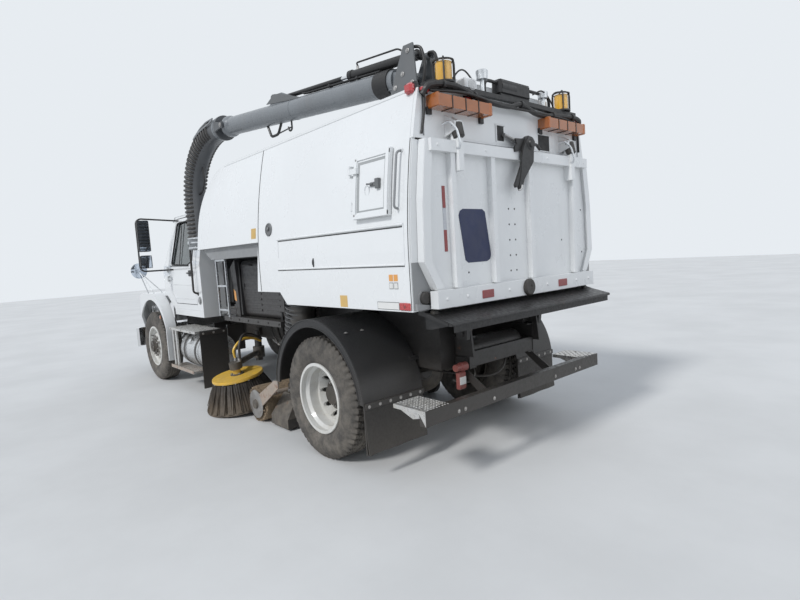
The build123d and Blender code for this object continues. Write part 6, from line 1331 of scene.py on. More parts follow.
def add_boom_fittings():
    """Brackets, sleeve, hooks, pipes and saddles of the boom's tube."""
    r = 0.095
    plates = [prism([(1.28, 1.28 * TUBE_SLOPE + r - 0.03), (1.62, 0.272), (1.72, 0.292), (1.86, 0.225)], 1,
                    y, y + 0.006) for y in (-0.067, 0.061)]
    clevis = [disc((1.750, s * 0.052, 0.262), (0, 1, 0), 0.036, 0.020) for s in (1, -1)]
    pin = lathed([(-0.066, 0.014), (0.066, 0.014)], (1.750, 0, 0.262), (0, 1, 0), 16)
    sleeve = lathed([(0.0, r + 0.010), (0.15, r + 0.010), (0.16, r + 0.002)], (0.20, 0, 0.20 * TUBE_SLOPE),
                    (1, 0, TUBE_SLOPE), 40)
    seam = lathed([(0, r + 0.001), (0.002, r + 0.003), (0.010, r + 0.003), (0.012, r + 0.001)],
                  (1.47, 0, 1.47 * TUBE_SLOPE), (1, 0, TUBE_SLOPE), 40)
    under = 1.75 * TUBE_SLOPE - r
    loop = tube([(1.96, 0, under + 0.02), (1.905, 0, under - 0.100), (1.790, 0, under - 0.095),
                 (1.720, 0, under + 0.01)], 0.013, 0.03)
    rod = tube([(1.800, 0, under - 0.092), (1.56, 0, under - 0.070)], 0.0065)
    hook = tube([(1.560, 0, under + 0.004), (1.560, 0, under - 0.095), (1.600, 0, under - 0.105),
                 (1.615, 0, under - 0.060)], 0.009, 0.02)
    pipes = [tube([(0.30, y, 0.30 * TUBE_SLOPE + r + 0.004), (1.24, y, 1.24 * TUBE_SLOPE + r + 0.004),
                   (1.30, y, 1.30 * TUBE_SLOPE + r + 0.010)], 0.007, 0.04) for y in (0.03, 0.05)]
    saddles = [block((x, 0.018, x * TUBE_SLOPE + r - 0.004), (x + 0.03, 0.062, x * TUBE_SLOPE + r + 0.016),
                     0.003) for x in (0.55, 0.90)]
    parts = [(boomed(plates), "bracket_grey"), (boomed(clevis), "bracket_grey"),
             (boomed(pin), "galvanised"), (boomed(seam), "boom_paint"), (boomed(sleeve), "rubber_black"),
             (boomed(joined(loop, rod, hook)), "frame_black"), (boomed(pipes), "rubber_black"),
             (boomed(saddles), "frame_black")]
    piece("boom_fittings", parts, "boom")


def add_ram_trim():
    """Collars, ports and lines of the lift ram's barrel, and the dark sleeve on its rod."""
    collars = [lathed([(0, 0.0385), (0.004, 0.046), (0.040, 0.046), (0.044, 0.0385)], on_ram(d),
                      (1, 0, RAM_SLOPE), 24) for d in (0.10, 0.715)]
    ports = [lathed([(0, 0.012), (0.030, 0.012), (0.034, 0.009)], on_ram(d, 0.034), (0, 0, 1), 12)
             for d in (0.16, 0.66)]
    pipe = tube([(0.10, 0.0, 0.226), (0.12, 0.03, 0.240), (0.58, 0.03, 0.268), (0.60, 0.0, 0.258)], 0.007,
                0.02)
    bend = tube([(0.680, 0, 0.160), (0.685, 0, 0.125), (0.640, 0, 0.112), (0.610, 0, 0.125)], 0.008, 0.02)
    grip = lathed([(0, 0.013), (0.004, 0.021), (0.860, 0.021), (0.900, 0.013)], on_ram(0.860),
                  (1, 0, RAM_SLOPE), 24)
    piece("boom_rod_sleeve", [(boomed(grip), "frame_black")], "boom_ram_rod")
    piece("boom_ram_trim", [(boomed(collars), "frame_black"), (boomed(ports), "nut_steel"),
                            (boomed([pipe, bend]), "rubber_black")], "boom_ram_barrel")


def add_post_trim():
    """Bolts of the boom's post and the hoses behind it."""
    bolts = [bolt_heads([(px, s * 0.128, pz)], (0, s, 0), 0.012, 0.009) for s in (1, -1)
             for px, pz in ((0.0, 0.0), (RAM_FOOT_X, RAM_FOOT_Z), (0.08, -0.08), (-0.09, -0.08))]
    ring = bolt_heads(spokes(0.150, 12, -0.149), (0, 0, 1), 0.010, 0.008)
    hoses = [tube([(-0.140, 0.080 * k, -0.130), (-0.185, 0.080 * k, 0.020), (-0.150, 0.080 * k, 0.165),
                   (-0.080, 0.090 * k, 0.180), (-0.070, 0.113 * k, 0.160)], 0.012, 0.06) for k in (-1, 1)]
    piece("boom_post_trim", [(boomed([*bolts, ring]), "nut_steel"), (boomed(hoses), "rubber_black")],
          "boom_post")


def hose_path(count):
    """Middle line of the hanging hose in the boom's own frame: slanted run, arc of the bend, plumb drop."""
    slant = math.atan(TUBE_SLOPE)
    turn = math.pi / 2 + slant
    reach = HOSE_BEND * math.tan(turn / 2)
    corner = np.array([BOOM_REACH, 0, BOOM_REACH * TUBE_SLOPE])
    start = corner - reach * np.array([math.cos(slant), 0, math.sin(slant)])
    drop = corner[2] - reach - (HOSE_LOW_Z - LIFT_Z)
    length = HOSE_BEND * turn + drop
    s = np.linspace(0, 1, count) * length
    a = np.minimum(s / HOSE_BEND, turn)
    down = np.maximum(s - HOSE_BEND * turn, 0)
    centre = start + HOSE_BEND * np.array([math.sin(slant), 0, -math.cos(slant)])
    lean = slant - a
    place = centre + HOSE_BEND * np.stack([-np.sin(lean), 0 * a, np.cos(lean)], -1)
    place[:, 2] -= down
    ahead = np.stack([np.cos(lean), 0 * a, np.sin(lean)], -1)
    return place, ahead


def add_hose_ribs():
    """Ribs round the hose: each is a band over its outer side only."""
    count = bpy.context.scene.sweeper_sizes.rib_count
    place, ahead = hose_path(count)
    outward = np.stack([-ahead[:, 2], 0 * ahead[:, 0], ahead[:, 0]], -1)
    angle = np.radians(np.linspace(-140, 140, 35))
    section = np.array([(-0.015, -0.002), (-0.013, 0.0100), (-0.0065, 0.0165), (0.0065, 0.0165),
                        (0.013, 0.0100), (0.015, -0.002)])
    ring = np.cos(angle)[:, None] * outward[:, None] + np.sin(angle)[:, None] * np.array([0, 1.0, 0])
    taper = np.clip((140 - np.abs(np.degrees(angle))) / 14, 0, 1) ** 0.5
    radius = HOSE_R + section[None, None, :, 1] * taper[None, :, None] - 0.001 * (1 - taper[None, :, None])
    grid = place[:, None, None] + radius[..., None] * ring[:, :, None]
    grid = grid + section[None, None, :, :1] * ahead[:, None, None]
    parts = [surface(on_boom(grid[k]), wrap_cols=True, caps=True) for k in range(3, count)]
    piece("boom_hose_ribs", [(parts, "hose_black")], "boom_hose", angle=50)


def add_hose_straps():
    """Oval straps over the hose's bend, the loop inside it, bands and the bolts of its fork."""
    fine, along = hose_path(81)
    lift = np.stack([-along[:, 2], 0 * along[:, 0], along[:, 0]], -1)
    lap = np.array([(2, 42), (2, 68), (9, 76), (15, 72), (22, 66), (22, 44), (15, 40), (9, 38)])
    bow = np.radians(lap[:, 1])[:, None]
    outwards = np.cos(bow) * lift[lap[:, 0]] + np.sin(bow) * np.array([0, 1.0, 0])
    strap = fine[lap[:, 0]] + (HOSE_R + 0.020) * outwards
    straps = [tube(rounded(strap * (1, s, 1), 0.03), 0.009, closed=True) for s in (1, -1)]
    handle = tube([(3.383, 0, -0.129), (3.365, 0, -0.300), (3.430, 0, -0.420), (3.524, 0, -0.446)], 0.011,
                  0.05)
    band = [lathed([(0, HOSE_R + 0.001), (0.002, HOSE_R + 0.005), (0.03, HOSE_R + 0.005),
                    (0.032, HOSE_R + 0.001)], (TUBE_END_X + d, 0, TUBE_END_Z + d * TUBE_SLOPE),
                   (1, 0, TUBE_SLOPE), 40) for d in (0.155, 0.19)]
    fork_bolts = [bolt_heads([(TUBE_END_X, s * 0.136, TUBE_END_Z)], (0, s, 0), 0.016, 0.010) for s in (1, -1)]
    piece("boom_hose_straps", [(boomed(handle), "frame_black"), (boomed(band), "boom_paint"),
                               (boomed(straps), "wedge_grey"), (boomed(fork_bolts), "nut_steel")],
          "boom_hose")


def add_collar_rings():
    """Bright rings and a clamp on the hose's end collar."""
    mouth = np.array([BOOM_REACH, 0, MOUTH_Z - LIFT_Z])
    rings = [lathed([(0, 0.1262), (0.004, 0.134), (0.020, 0.134), (0.024, 0.1262)], mouth + (0, 0, h),
                    (0, 0, 1), 48) for h in (0.012, 0.075, 0.128)]
    clamp = block(mouth + (-0.02, 0.120, 0.070), mouth + (0.02, 0.150, 0.105), 0.004)
    piece("hose_collar_rings", [(boomed(rings), "galvanised"), (boomed(clamp), "galvanised")], "boom_hose")


# Gutter brooms: bristles in rows round the disc, rims, bolts and lines
def broom_frame_of(sign):
    """Spindle axis of a gutter broom, leaning outwards, and two directions square to it."""
    tilt = math.radians(BROOM_TILT)
    up = np.array([0, sign * math.sin(tilt), math.cos(tilt)])
    ahead = np.array([1.0, 0, 0])
    return np.stack([ahead, np.cross(up, ahead), up], -1)


def at_broom(shape, sign):
    """A surface, or a list of them, drawn round +Z at the origin, moved to the broom's spindle."""
    points, faces = whole(shape)
    return points @ broom_frame_of(sign).T + np.array([BROOM_X, sign * BROOM_Y, BROOM_Z]), faces


def bristles(count, rows, root, tip, low, width, seed):
    """Bundles as slim three-sided spikes: each leans outwards by its row, and a little at random."""
    sides = 3
    rng = np.random.default_rng(seed)
    row = np.repeat(np.arange(rows), count)
    angle = np.tile(2 * math.pi * np.arange(count) / count,
                    rows) + row * math.pi / count + rng.normal(0, 0.012, count * rows)
    share = row / max(rows - 1, 1)
    reach0 = root[0] + (root[1] - root[0]) * share
    reach1 = tip[0] + (tip[1] - tip[0]) * share + rng.normal(0, 0.006, angle.size)
    twist = angle + rng.normal(0.03, 0.020, angle.size)
    base = polar(reach0, angle, -0.014)
    mid = polar(reach0 * 0.45 + reach1 * 0.55, (angle + twist) / 2, low * 0.50)
    end = polar(reach1, twist, low + np.abs(rng.normal(0, 0.006, angle.size)))
    ring = circle(1.0, sides)
    radial = polar(1.0, angle, 0.0)
    across = np.stack([-np.sin(angle), np.cos(angle), 0 * angle], -1)
    spine = np.stack([base, mid, end], 1)
    thick = width * np.array([1.0, 0.95, 0.7])
    section = ring[None, None, :, :1] * radial[:, None, None]
    section = section + ring[None, None, :, 1:2] * across[:, None, None]
    points = spine[:, :, None] + thick[None, :, None, None] * section
    cells = quads(3, sides, wrap_cols=True)
    per = 3 * sides
    faces = (cells[None] + per * np.arange(angle.size)[:, None, None]).reshape(-1, 4)
    tips = np.arange(2 * sides, 3 * sides)[None] + per * np.arange(angle.size)[:, None]
    return points.reshape(-1, 3), [*faces.tolist(), *tips.tolist()]


def add_gutter_broom(side, sign):
    """Bristles of a gutter broom, and its disc's rim, ribs, hub, studs and lugs."""
    sizes = bpy.context.scene.sweeper_sizes
    body = f"gutter_broom_{side}"
    hair = bristles(sizes.bristle_rows, 9, (0.150, 0.268), (0.235, 0.405), -0.318, sizes.bristle_width,
                    11 + sign)
    piece(f"gutter_bristles_{side}", [(at_broom(hair, sign), "bristle_dark")], body,
          angle=60)
    rim = lathed([(-0.017, 0.272), (-0.017, 0.288), (0.001, 0.290), (0.004, 0.284), (0.002, 0.272)],
                 (0, 0, 0), (0, 0, 1), 56, closed=True)
    rib = block((0.075, -0.004, 0.0), (0.270, 0.004, 0.012))
    ribs = [turned(rib, (0, 0, 1), a) for a in np.arange(6) * math.pi / 3]
    hub = lathed([(0.0, 0.078), (0.022, 0.078), (0.026, 0.070), (0.026, 0.050)], (0, 0, 0), (0, 0, 1), 32)
    studs = bolt_heads(spokes(0.062, 6, 0.026), (0, 0, 1), 0.010, 0.010)
    lugs = spread(block((-0.010, -0.010, -0.026), (0.010, 0.010, -0.013)), spokes(0.281, 12))
    piece(f"gutter_disc_trim_{side}", [(at_broom([rim, *ribs], sign), "broom_yellow"),
                                       (at_broom(hub, sign), "cast_dark"),
                                       (at_broom(studs, sign), "nut_steel"),
                                       (at_broom(lugs, sign), "steel_worn")], body)


def add_arm_lines(side, sign):
    """Hydraulic lines of the broom's motor: an arch in black and a shorter one in yellow sleeve."""
    x, y, z = BROOM_X, sign * BROOM_Y, BROOM_Z
    arch = tube(through([(x - 0.05, y - sign * 0.02, z + 0.19), (x - 0.07, y - sign * 0.02, z + 0.36),
                         (x - 0.02, y - sign * 0.10, z + 0.455), (x + 0.06, y - sign * 0.24, z + 0.44),
                         (x + 0.10, y - sign * 0.38, z + 0.36)], 26), 0.016)
    second = tube(through([(x + 0.05, y - sign * 0.01, z + 0.19), (x + 0.045, y, z + 0.30),
                           (x + 0.06, y - sign * 0.12, z + 0.40), (x + 0.12, y - sign * 0.28, z + 0.38),
                           (x + 0.16, y - sign * 0.40, z + 0.33)], 24), 0.014)
    grips = [lathed([(0, 0.019), (0.03, 0.021), (0.035, 0.016)], (x + dx, y - sign * 0.015, z + 0.165),
                    (0, 0, 1), 12) for dx in (-0.05, 0.05)]
    motor = lathed([(0, 0.060), (0.010, 0.064), (0.045, 0.064), (0.050, 0.050), (0.075, 0.048),
                    (0.078, 0.040)], (x, y, z + 0.085), (0, sign * 0.139, 1), 28)
    pin_bolts = bolt_heads([(x + 0.03, y, z + 0.162), (x - 0.03, y, z + 0.162)], (0, 0, 1), 0.009, 0.007)
    piece(f"broom_motor_{side}", [(motor, "cast_dark"), ([*grips, pin_bolts], "nut_steel"),
                                  (arch, "rubber_black"), (second, "broom_yellow")], f"gutter_arm_{side}")


def add_wide_broom():
    """Worn bristles of the wide broom: rows of short spikes over the drum, and its end plates."""
    low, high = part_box("wide_broom")
    x, z = (low.x + high.x) / 2, (low.z + high.z) / 2
    rng = np.random.default_rng(5)
    count, length = 46, 40
    angle = np.repeat(2 * math.pi * np.arange(count) / count, length)
    along = np.tile(np.linspace(low.y + 0.018, high.y - 0.018, length),
                    count) + rng.normal(0, 0.006, count * length)
    angle = angle + along * 1.2 + rng.normal(0, 0.02, angle.size)
    outward = np.stack([np.cos(angle), 0 * angle, np.sin(angle)], -1)
    across = np.stack([-np.sin(angle), 0 * angle, np.cos(angle)], -1)
    centre = np.stack([np.full(angle.size, x), along, np.full(angle.size, z)], -1)
    tall = 0.1885 + np.minimum(rng.normal(0, 0.002, angle.size), 0.0012)
    ring = circle(1.0, 4)
    levels = []
    for reach, wide in ((0.172, 0.0085), (None, 0.0050)):
        r = tall if reach is None else np.full(angle.size, reach)
        middle_line = centre + outward * r[:, None]
        section = ring[None, :, :1] * across[:, None] + ring[None, :, 1:2] * np.array([0, 1.6, 0])
        levels.append(middle_line[:, None] + wide * section)
    points = np.stack(levels, 1)
    cells = quads(2, 4, wrap_cols=True)
    faces = (cells[None] + 8 * np.arange(angle.size)[:, None, None]).reshape(-1, 4)
    tips = np.arange(4, 8)[None] + 8 * np.arange(angle.size)[:, None]
    tufts = (points.reshape(-1, 3), [*faces.tolist(), *tips.tolist()])
    ends = [lathed([(0, 0.150), (0.006, 0.150), (0.008, 0.135), (0.008, 0.050)], (x, y, z), (0, s, 0), 40)
            for y, s in ((high.y - 0.001, 1), (low.y + 0.001, -1))]
    piece("wide_bristles", [(tufts, "bristle_brown"), (ends, "steel_worn")], "wide_broom",
          angle=60)


def add_broom_frame_detail():
    """Caps over the ends of the wide broom's axle, with their bolts."""
    x, z = REAR_X + 1.420, 0.194
    caps = [lathed([(0, 0.062), (0.008, 0.062), (0.012, 0.052), (0.030, 0.046), (0.032, 0.02)],
                   (x, s * 1.105, z), (0, s, 0), 24) for s in (1, -1)]
    bolts = [bolt_heads([(x + 0.045 * math.cos(a), s * 1.113, z + 0.045 * math.sin(a))], (0, s, 0), 0.007,
                        0.005) for s in (1, -1) for a in np.arange(4) * math.pi / 2 + 0.5]
    piece("broom_frame_caps", [(caps, "cast_dark"), (bolts, "nut_steel")], "chassis")


# Suction gear: clamps of the nozzles, hydraulic lines, ribs of the suction hose
def add_suction_detail():
    """Clamps of the suction hoses at the nozzles."""
    clamps, knobs = [], []
    for s in (1, -1):
        clamps.append(clamp_band((REAR_X + 1.010, s * 0.790, 0.350), (0, 0, 1), 0.137, 0.024))
        knobs.append(block((REAR_X + 1.145, s * 0.790 - 0.012, 0.350),
                           (REAR_X + 1.168, s * 0.790 + 0.012, 0.376), 0.003))
    piece("nozzle_trim", [(clamps, "galvanised"), (knobs, "nut_steel")], "chassis")


def add_line_bundle():
    """Hydraulic lines with their valve block, a small cylinder and a black sheet behind them that paints the
    shade among the machinery.
    """
    # Each line: half its thickness, then places whose x counts from the rear axle
    paths = (
        (0.017, (1.82, 0.60, 0.990), (1.70, 0.62, 0.80), (1.52, 0.60, 0.66),
         (1.32, 0.56, 0.72), (1.17, 0.48, 0.94)),
        (0.013, (1.74, 0.56, 0.990), (1.62, 0.60, 0.75), (1.44, 0.57, 0.60),
         (1.27, 0.53, 0.76), (1.22, 0.46, 0.95)),
        (0.014, (1.56, 0.52, 1.000), (1.60, 0.56, 0.82), (1.48, 0.59, 0.69),
         (1.36, 0.56, 0.82), (1.40, 0.50, 1.00)),
        (0.010, (1.70, 0.50, 1.000), (1.75, 0.54, 0.82), (1.70, 0.56, 0.66),
         (1.58, 0.58, 0.58), (1.46, 0.60, 0.64)),
        (0.012, (1.18, 0.60, 0.800), (1.10, 0.66, 0.70), (1.14, 0.70, 0.56),
         (1.26, 0.66, 0.50), (1.36, 0.60, 0.56)),
        (0.009, (1.86, 0.64, 0.985), (1.80, 0.66, 0.86), (1.66, 0.66, 0.74),
         (1.50, 0.64, 0.80), (1.38, 0.60, 0.90)),
    )
    lines, fittings = [], []
    for radius, *places in paths:
        lines.append(tube(through([(REAR_X + x, y, z) for x, y, z in places], 26), radius))
        x, y, z = places[2]
        fittings.append(lathed([(-0.022, radius), (-0.020, radius + 0.006), (0.020, radius + 0.006),
                                (0.022, radius)], (REAR_X + x, y, z), (1, 0, 0.15), 12))
    cast = [block((REAR_X + 1.30, 0.436, 0.720), (REAR_X + 1.62, 0.516, 0.900), 0.008),
            prism([(REAR_X + 1.13, 0.70), (REAR_X + 1.20, 0.735), (REAR_X + 1.30, 0.70),
                   (REAR_X + 1.27, 0.50), (REAR_X + 1.17, 0.44)], 1, 0.690, 0.702)]
    for k in range(5):
        fittings.append(lathed([(0, 0.016), (0.026, 0.016), (0.030, 0.011), (0.050, 0.010)],
                               (REAR_X + 1.34 + 0.060 * k, 0.515, 0.81), (0, 1, 0), 12))
    cylinder = lathed([(0, 0.020), (0.004, 0.034), (0.120, 0.034), (0.124, 0.020)],
                      (REAR_X + 1.17, 0.725, 0.735), (1, 0, 0.15), 24)
    # Black sheet inboard of the lines: painted shade among the machinery behind the broom.
    shade_backing = block((REAR_X + 1.14, 0.436, 0.560), (REAR_X + 1.92, 0.446, 0.760), 0.002)
    piece("line_bundle", [(both(lines), "rubber_black"), (both(fittings), "nut_steel"),
                          (both(cast), "cast_dark"), (both(cylinder), "galvanised"),
                          (both(shade_backing), "frame_black")], "chassis")


def add_suction_ribs():
    """Ribs round the suction hoses, evenly spaced from foot to head; their lighter grey is a painted
    highlight on the rib crowns.
    """
    ribs = []
    foot, head = np.array([REAR_X + 1.002, 0.791, 0.600]), np.array([REAR_X + 0.838, 0.809, 1.350])
    for share in np.linspace(0, 1, 18):
        ribs.append(lathed([(-0.010, 0.128), (-0.006, 0.157), (0.006, 0.157), (0.010, 0.128)],
                           foot + (head - foot) * share, head - foot, 40, closed=True))
    piece("suction_hose_ribs", [(both(ribs), "hose_grey")], "chassis")


# Rear fenders: lip lines, flaps with their bars
def add_fenders():
    """Rolled lips of the fenders, their bolts, and the rubber flaps with the bars that hold them."""
    lips, bars, flaps, bolts = [], [], [], []
    for s in (1, -1):
        angle = np.radians(np.linspace(5.5, 174.5, 60))
        for radius, y in ((0.668, 1.2405), (0.612, 1.2395)):
            path = np.stack([REAR_X + radius * np.cos(angle), np.full(angle.size, s * y),
                             AXLE_Z + radius * np.sin(angle)], -1)
            lips.append(carried(circle(0.0058, 8), path))
        flap_x, flap_y, flap_top = REAR_X - 0.637, s * 0.94, 0.545
        bars.append(block((flap_x - 0.046, flap_y - 0.31, flap_top), (flap_x - 0.014, flap_y + 0.295, 0.592),
                          0.004))
        for y in np.linspace(0.68, 1.20, 6):
            bolts.append(bolt_heads([(flap_x - 0.046, s * y, 0.568)], (-1, 0, 0), 0.009, 0.006))
        for x in (REAR_X - 0.36, REAR_X + 0.36):
            z = AXLE_Z + math.sqrt(0.674 ** 2 - 0.36 ** 2)
            bolts.append(bolt_heads([(x, s * 0.98, z + 0.002)], (0, 0, 1), 0.012, 0.008))
            bolts.append(bolt_heads([(x, s * 1.14, z + 0.002)], (0, 0, 1), 0.012, 0.008))
        grid_y, grid_z = np.meshgrid(np.linspace(flap_y - 0.298, flap_y + 0.298, 13),
                                     np.linspace(0.205, flap_top, 9), indexing="ij")
        drop = (flap_top - grid_z) / 0.34
        back = flap_x - 0.040 - 0.020 * drop ** 2 - 0.004 * np.sin(grid_y * 21) * drop
        outer = np.stack([back, grid_y, grid_z], -1)
        shell = np.concatenate([outer, (outer + (0.009, 0, 0))[:, ::-1]], 1)
        flaps.append(surface(shell, wrap_cols=True, caps=True))
    piece("fender_lips", [(lips, "plastic_black"), (bars, "frame_black"), (bolts, "nut_steel"),
                          (flaps, "flap_rubber")], "chassis")


# Step bar at the rear: tread plates, gussets, bolts; brake part and mixed fittings under the hopper
STEP_TOP = 0.620


def diamond_plate(x0, x1, y0, y1, z, pitch=0.028):
    """Raised lozenges in rows turned by turns, each a flat rhomb with sloped sides."""
    xs, ys = np.arange(x0 + 0.012, x1 - 0.010, pitch), np.arange(y0 + 0.012, y1 - 0.010, pitch)
    gx, gy = (a.ravel() for a in np.meshgrid(xs, ys, indexing="ij"))
    parity = (np.arange(xs.size)[:, None] + np.arange(ys.size)[None]).ravel() % 2
    rhomb = np.array([(0.011, 0.0), (0.0, 0.0036), (-0.011, 0.0), (0.0, -0.0036)])
    turn = np.where(parity[:, None, None], rhomb[None, :, ::-1], rhomb[None])
    centre = np.stack([gx, gy], -1)[:, None]
    low = np.concatenate([centre + turn, np.full((*turn.shape[:2], 1), z)], -1)
    top = np.concatenate([centre + turn * 0.62, np.full((*turn.shape[:2], 1), z + 0.0022)], -1)
    points = np.stack([low, top], 1).reshape(-1, 3)
    cells = np.array([(0, 1, 5, 4), (1, 2, 6, 5), (2, 3, 7, 6), (3, 0, 4, 7), (4, 5, 6, 7)])
    faces = (cells[None] + 8 * np.arange(gx.size)[:, None, None]).reshape(-1, 4)
    return points, faces.tolist()


def add_rear_step():
    """Tread plates of the rear step with their bolts, gussets and the bolts of its bar."""
    low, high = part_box("rear_step")
    plates, gussets, bolts = [], [], []
    for s in (1, -1):
        y0, y1 = sorted((s * 0.902, s * 1.148))
        plates.append(diamond_plate(low.x + 0.004, high.x - 0.008, y0, y1, STEP_TOP))
        for y in (y0 + 0.03, y1 - 0.03):
            bolts.append(bolt_heads([(REAR_X - 1.16, y, STEP_TOP + 0.001),
                                     (REAR_X - 1.02, y, STEP_TOP + 0.001)], (0, 0, 1), 0.008, 0.004))
        gussets.append(prism([(REAR_X - 1.225, STEP_TOP - 0.004), (REAR_X - 0.90, STEP_TOP - 0.004),
                              (REAR_X - 1.10, STEP_TOP - 0.075), (REAR_X - 1.225, STEP_TOP - 0.045)], 1,
                             y1 - 0.004, y1 - 0.0005))
    bar_bolts = bolt_heads([(low.x - 0.0005, y, 0.545) for y in (-0.82, -0.75, -0.42, 0.42, 0.75, 0.82)],
                           (-1, 0, 0), 0.010, 0.007)
    piece("rear_step_trim", [(plates, "step_alloy"), (bolts, "nut_steel"), (gussets, "step_alloy"),
                             (bar_bolts, "nut_steel")], "chassis")


def add_underbody():
    """Brake pots, an air tank, a red brake part with a blank label, and lines under the hopper's rear."""
    pots = [lathed([(0, 0.078), (0.014, 0.088), (0.060, 0.088), (0.064, 0.094), (0.074, 0.094),
                    (0.078, 0.088), (0.124, 0.086), (0.140, 0.070)], (REAR_X - 0.30, s * 0.36, 0.640),
                   (-1, 0, 0.1), 28) for s in (1, -1)]
    brake = [lathed([(0, 0.035), (0.06, 0.037), (0.066, 0.030), (0.12, 0.028)],
                    (REAR_X - 0.985, 0.455, 0.775), (0, 1, 0), 20),
             block((REAR_X - 1.005, 0.47, 0.60), (REAR_X - 0.965, 0.56, 0.74), 0.01)]
    tag = block((REAR_X - 1.0075, 0.480, 0.64), (REAR_X - 1.004, 0.550, 0.70), 0.001)
    tank_profile = [(0, 0.02), (0.012, 0.070), (0.04, 0.098), (0.10, 0.105), (0.62, 0.105), (0.68, 0.098),
                    (0.708, 0.070), (0.72, 0.02)]
    tank = lathed(tank_profile, (REAR_X - 0.86, -0.36, 0.86), (0, 1, 0), 32)
    # Each route: half its thickness, then places whose x counts from the rear axle
    routes = ((0.010, (-0.88, 0.30, 0.78), (-0.99, 0.36, 0.70), (-0.98, 0.42, 0.64), (-0.90, 0.52, 0.66)),
              (0.010, (-0.88, -0.20, 0.78), (-0.95, -0.05, 0.66), (-0.90, 0.15, 0.62), (-0.40, 0.30, 0.64)),
              (0.008, (-0.90, -0.40, 0.80), (-1.00, -0.46, 0.72), (-0.92, -0.52, 0.66)))
    lines = [tube(through([(REAR_X + x, y, z) for x, y, z in places], 24), r) for r, *places in routes]
    piece("rear_fittings", [([*pots, tank], "frame_black"), (brake, "brake_red"), (tag, "label_white"),
                            (lines, "rubber_black")], "chassis")


# Cab: door gaskets, handles, mirrors' detail, cushions; tanks, steps, guard, pack, hood and lamps
CAB_BELT_Z, CAB_HALF = 1.720, 1.000
DOOR_X0, DOOR_X1 = FRONT_X - 1.540, FRONT_X - 0.680
CAB_DOOR_TOP = 2.365
DOOR_FRONT = DOOR_X1 + 0.150
DOOR_LINE = [(DOOR_X0, 1.180), (DOOR_X1 - 0.060, 1.180), (DOOR_X1 + 0.060, 1.300), (DOOR_FRONT, 1.560),
             (DOOR_FRONT, 1.700), (DOOR_X1 - 0.080, CAB_DOOR_TOP), (DOOR_X0 + 0.060, CAB_DOOR_TOP),
             (DOOR_X0, CAB_DOOR_TOP - 0.090)]
WINDOW_LINE = [(DOOR_X0 + 0.075, 1.765), (DOOR_X0 + 0.230, 1.710), (DOOR_X1 + 0.020, 1.730),
               (DOOR_X1 - 0.120, 2.305), (DOOR_X0 + 0.105, 2.305), (DOOR_X0 + 0.075, 2.255)]


def cab_y(z):
    """Half width of the cab's side: upright below the belt, leaning in above it."""
    return np.interp(z, [CAB_BELT_Z, 2.400], [CAB_HALF, 0.895])


def on_side(line, sign, out):
    """A closed line of (x, z) laid on the cab's side at a distance."""
    line = np.asarray(line, float)
    return np.stack([line[:, 0], sign * (cab_y(line[:, 1]) + out), line[:, 1]], -1)


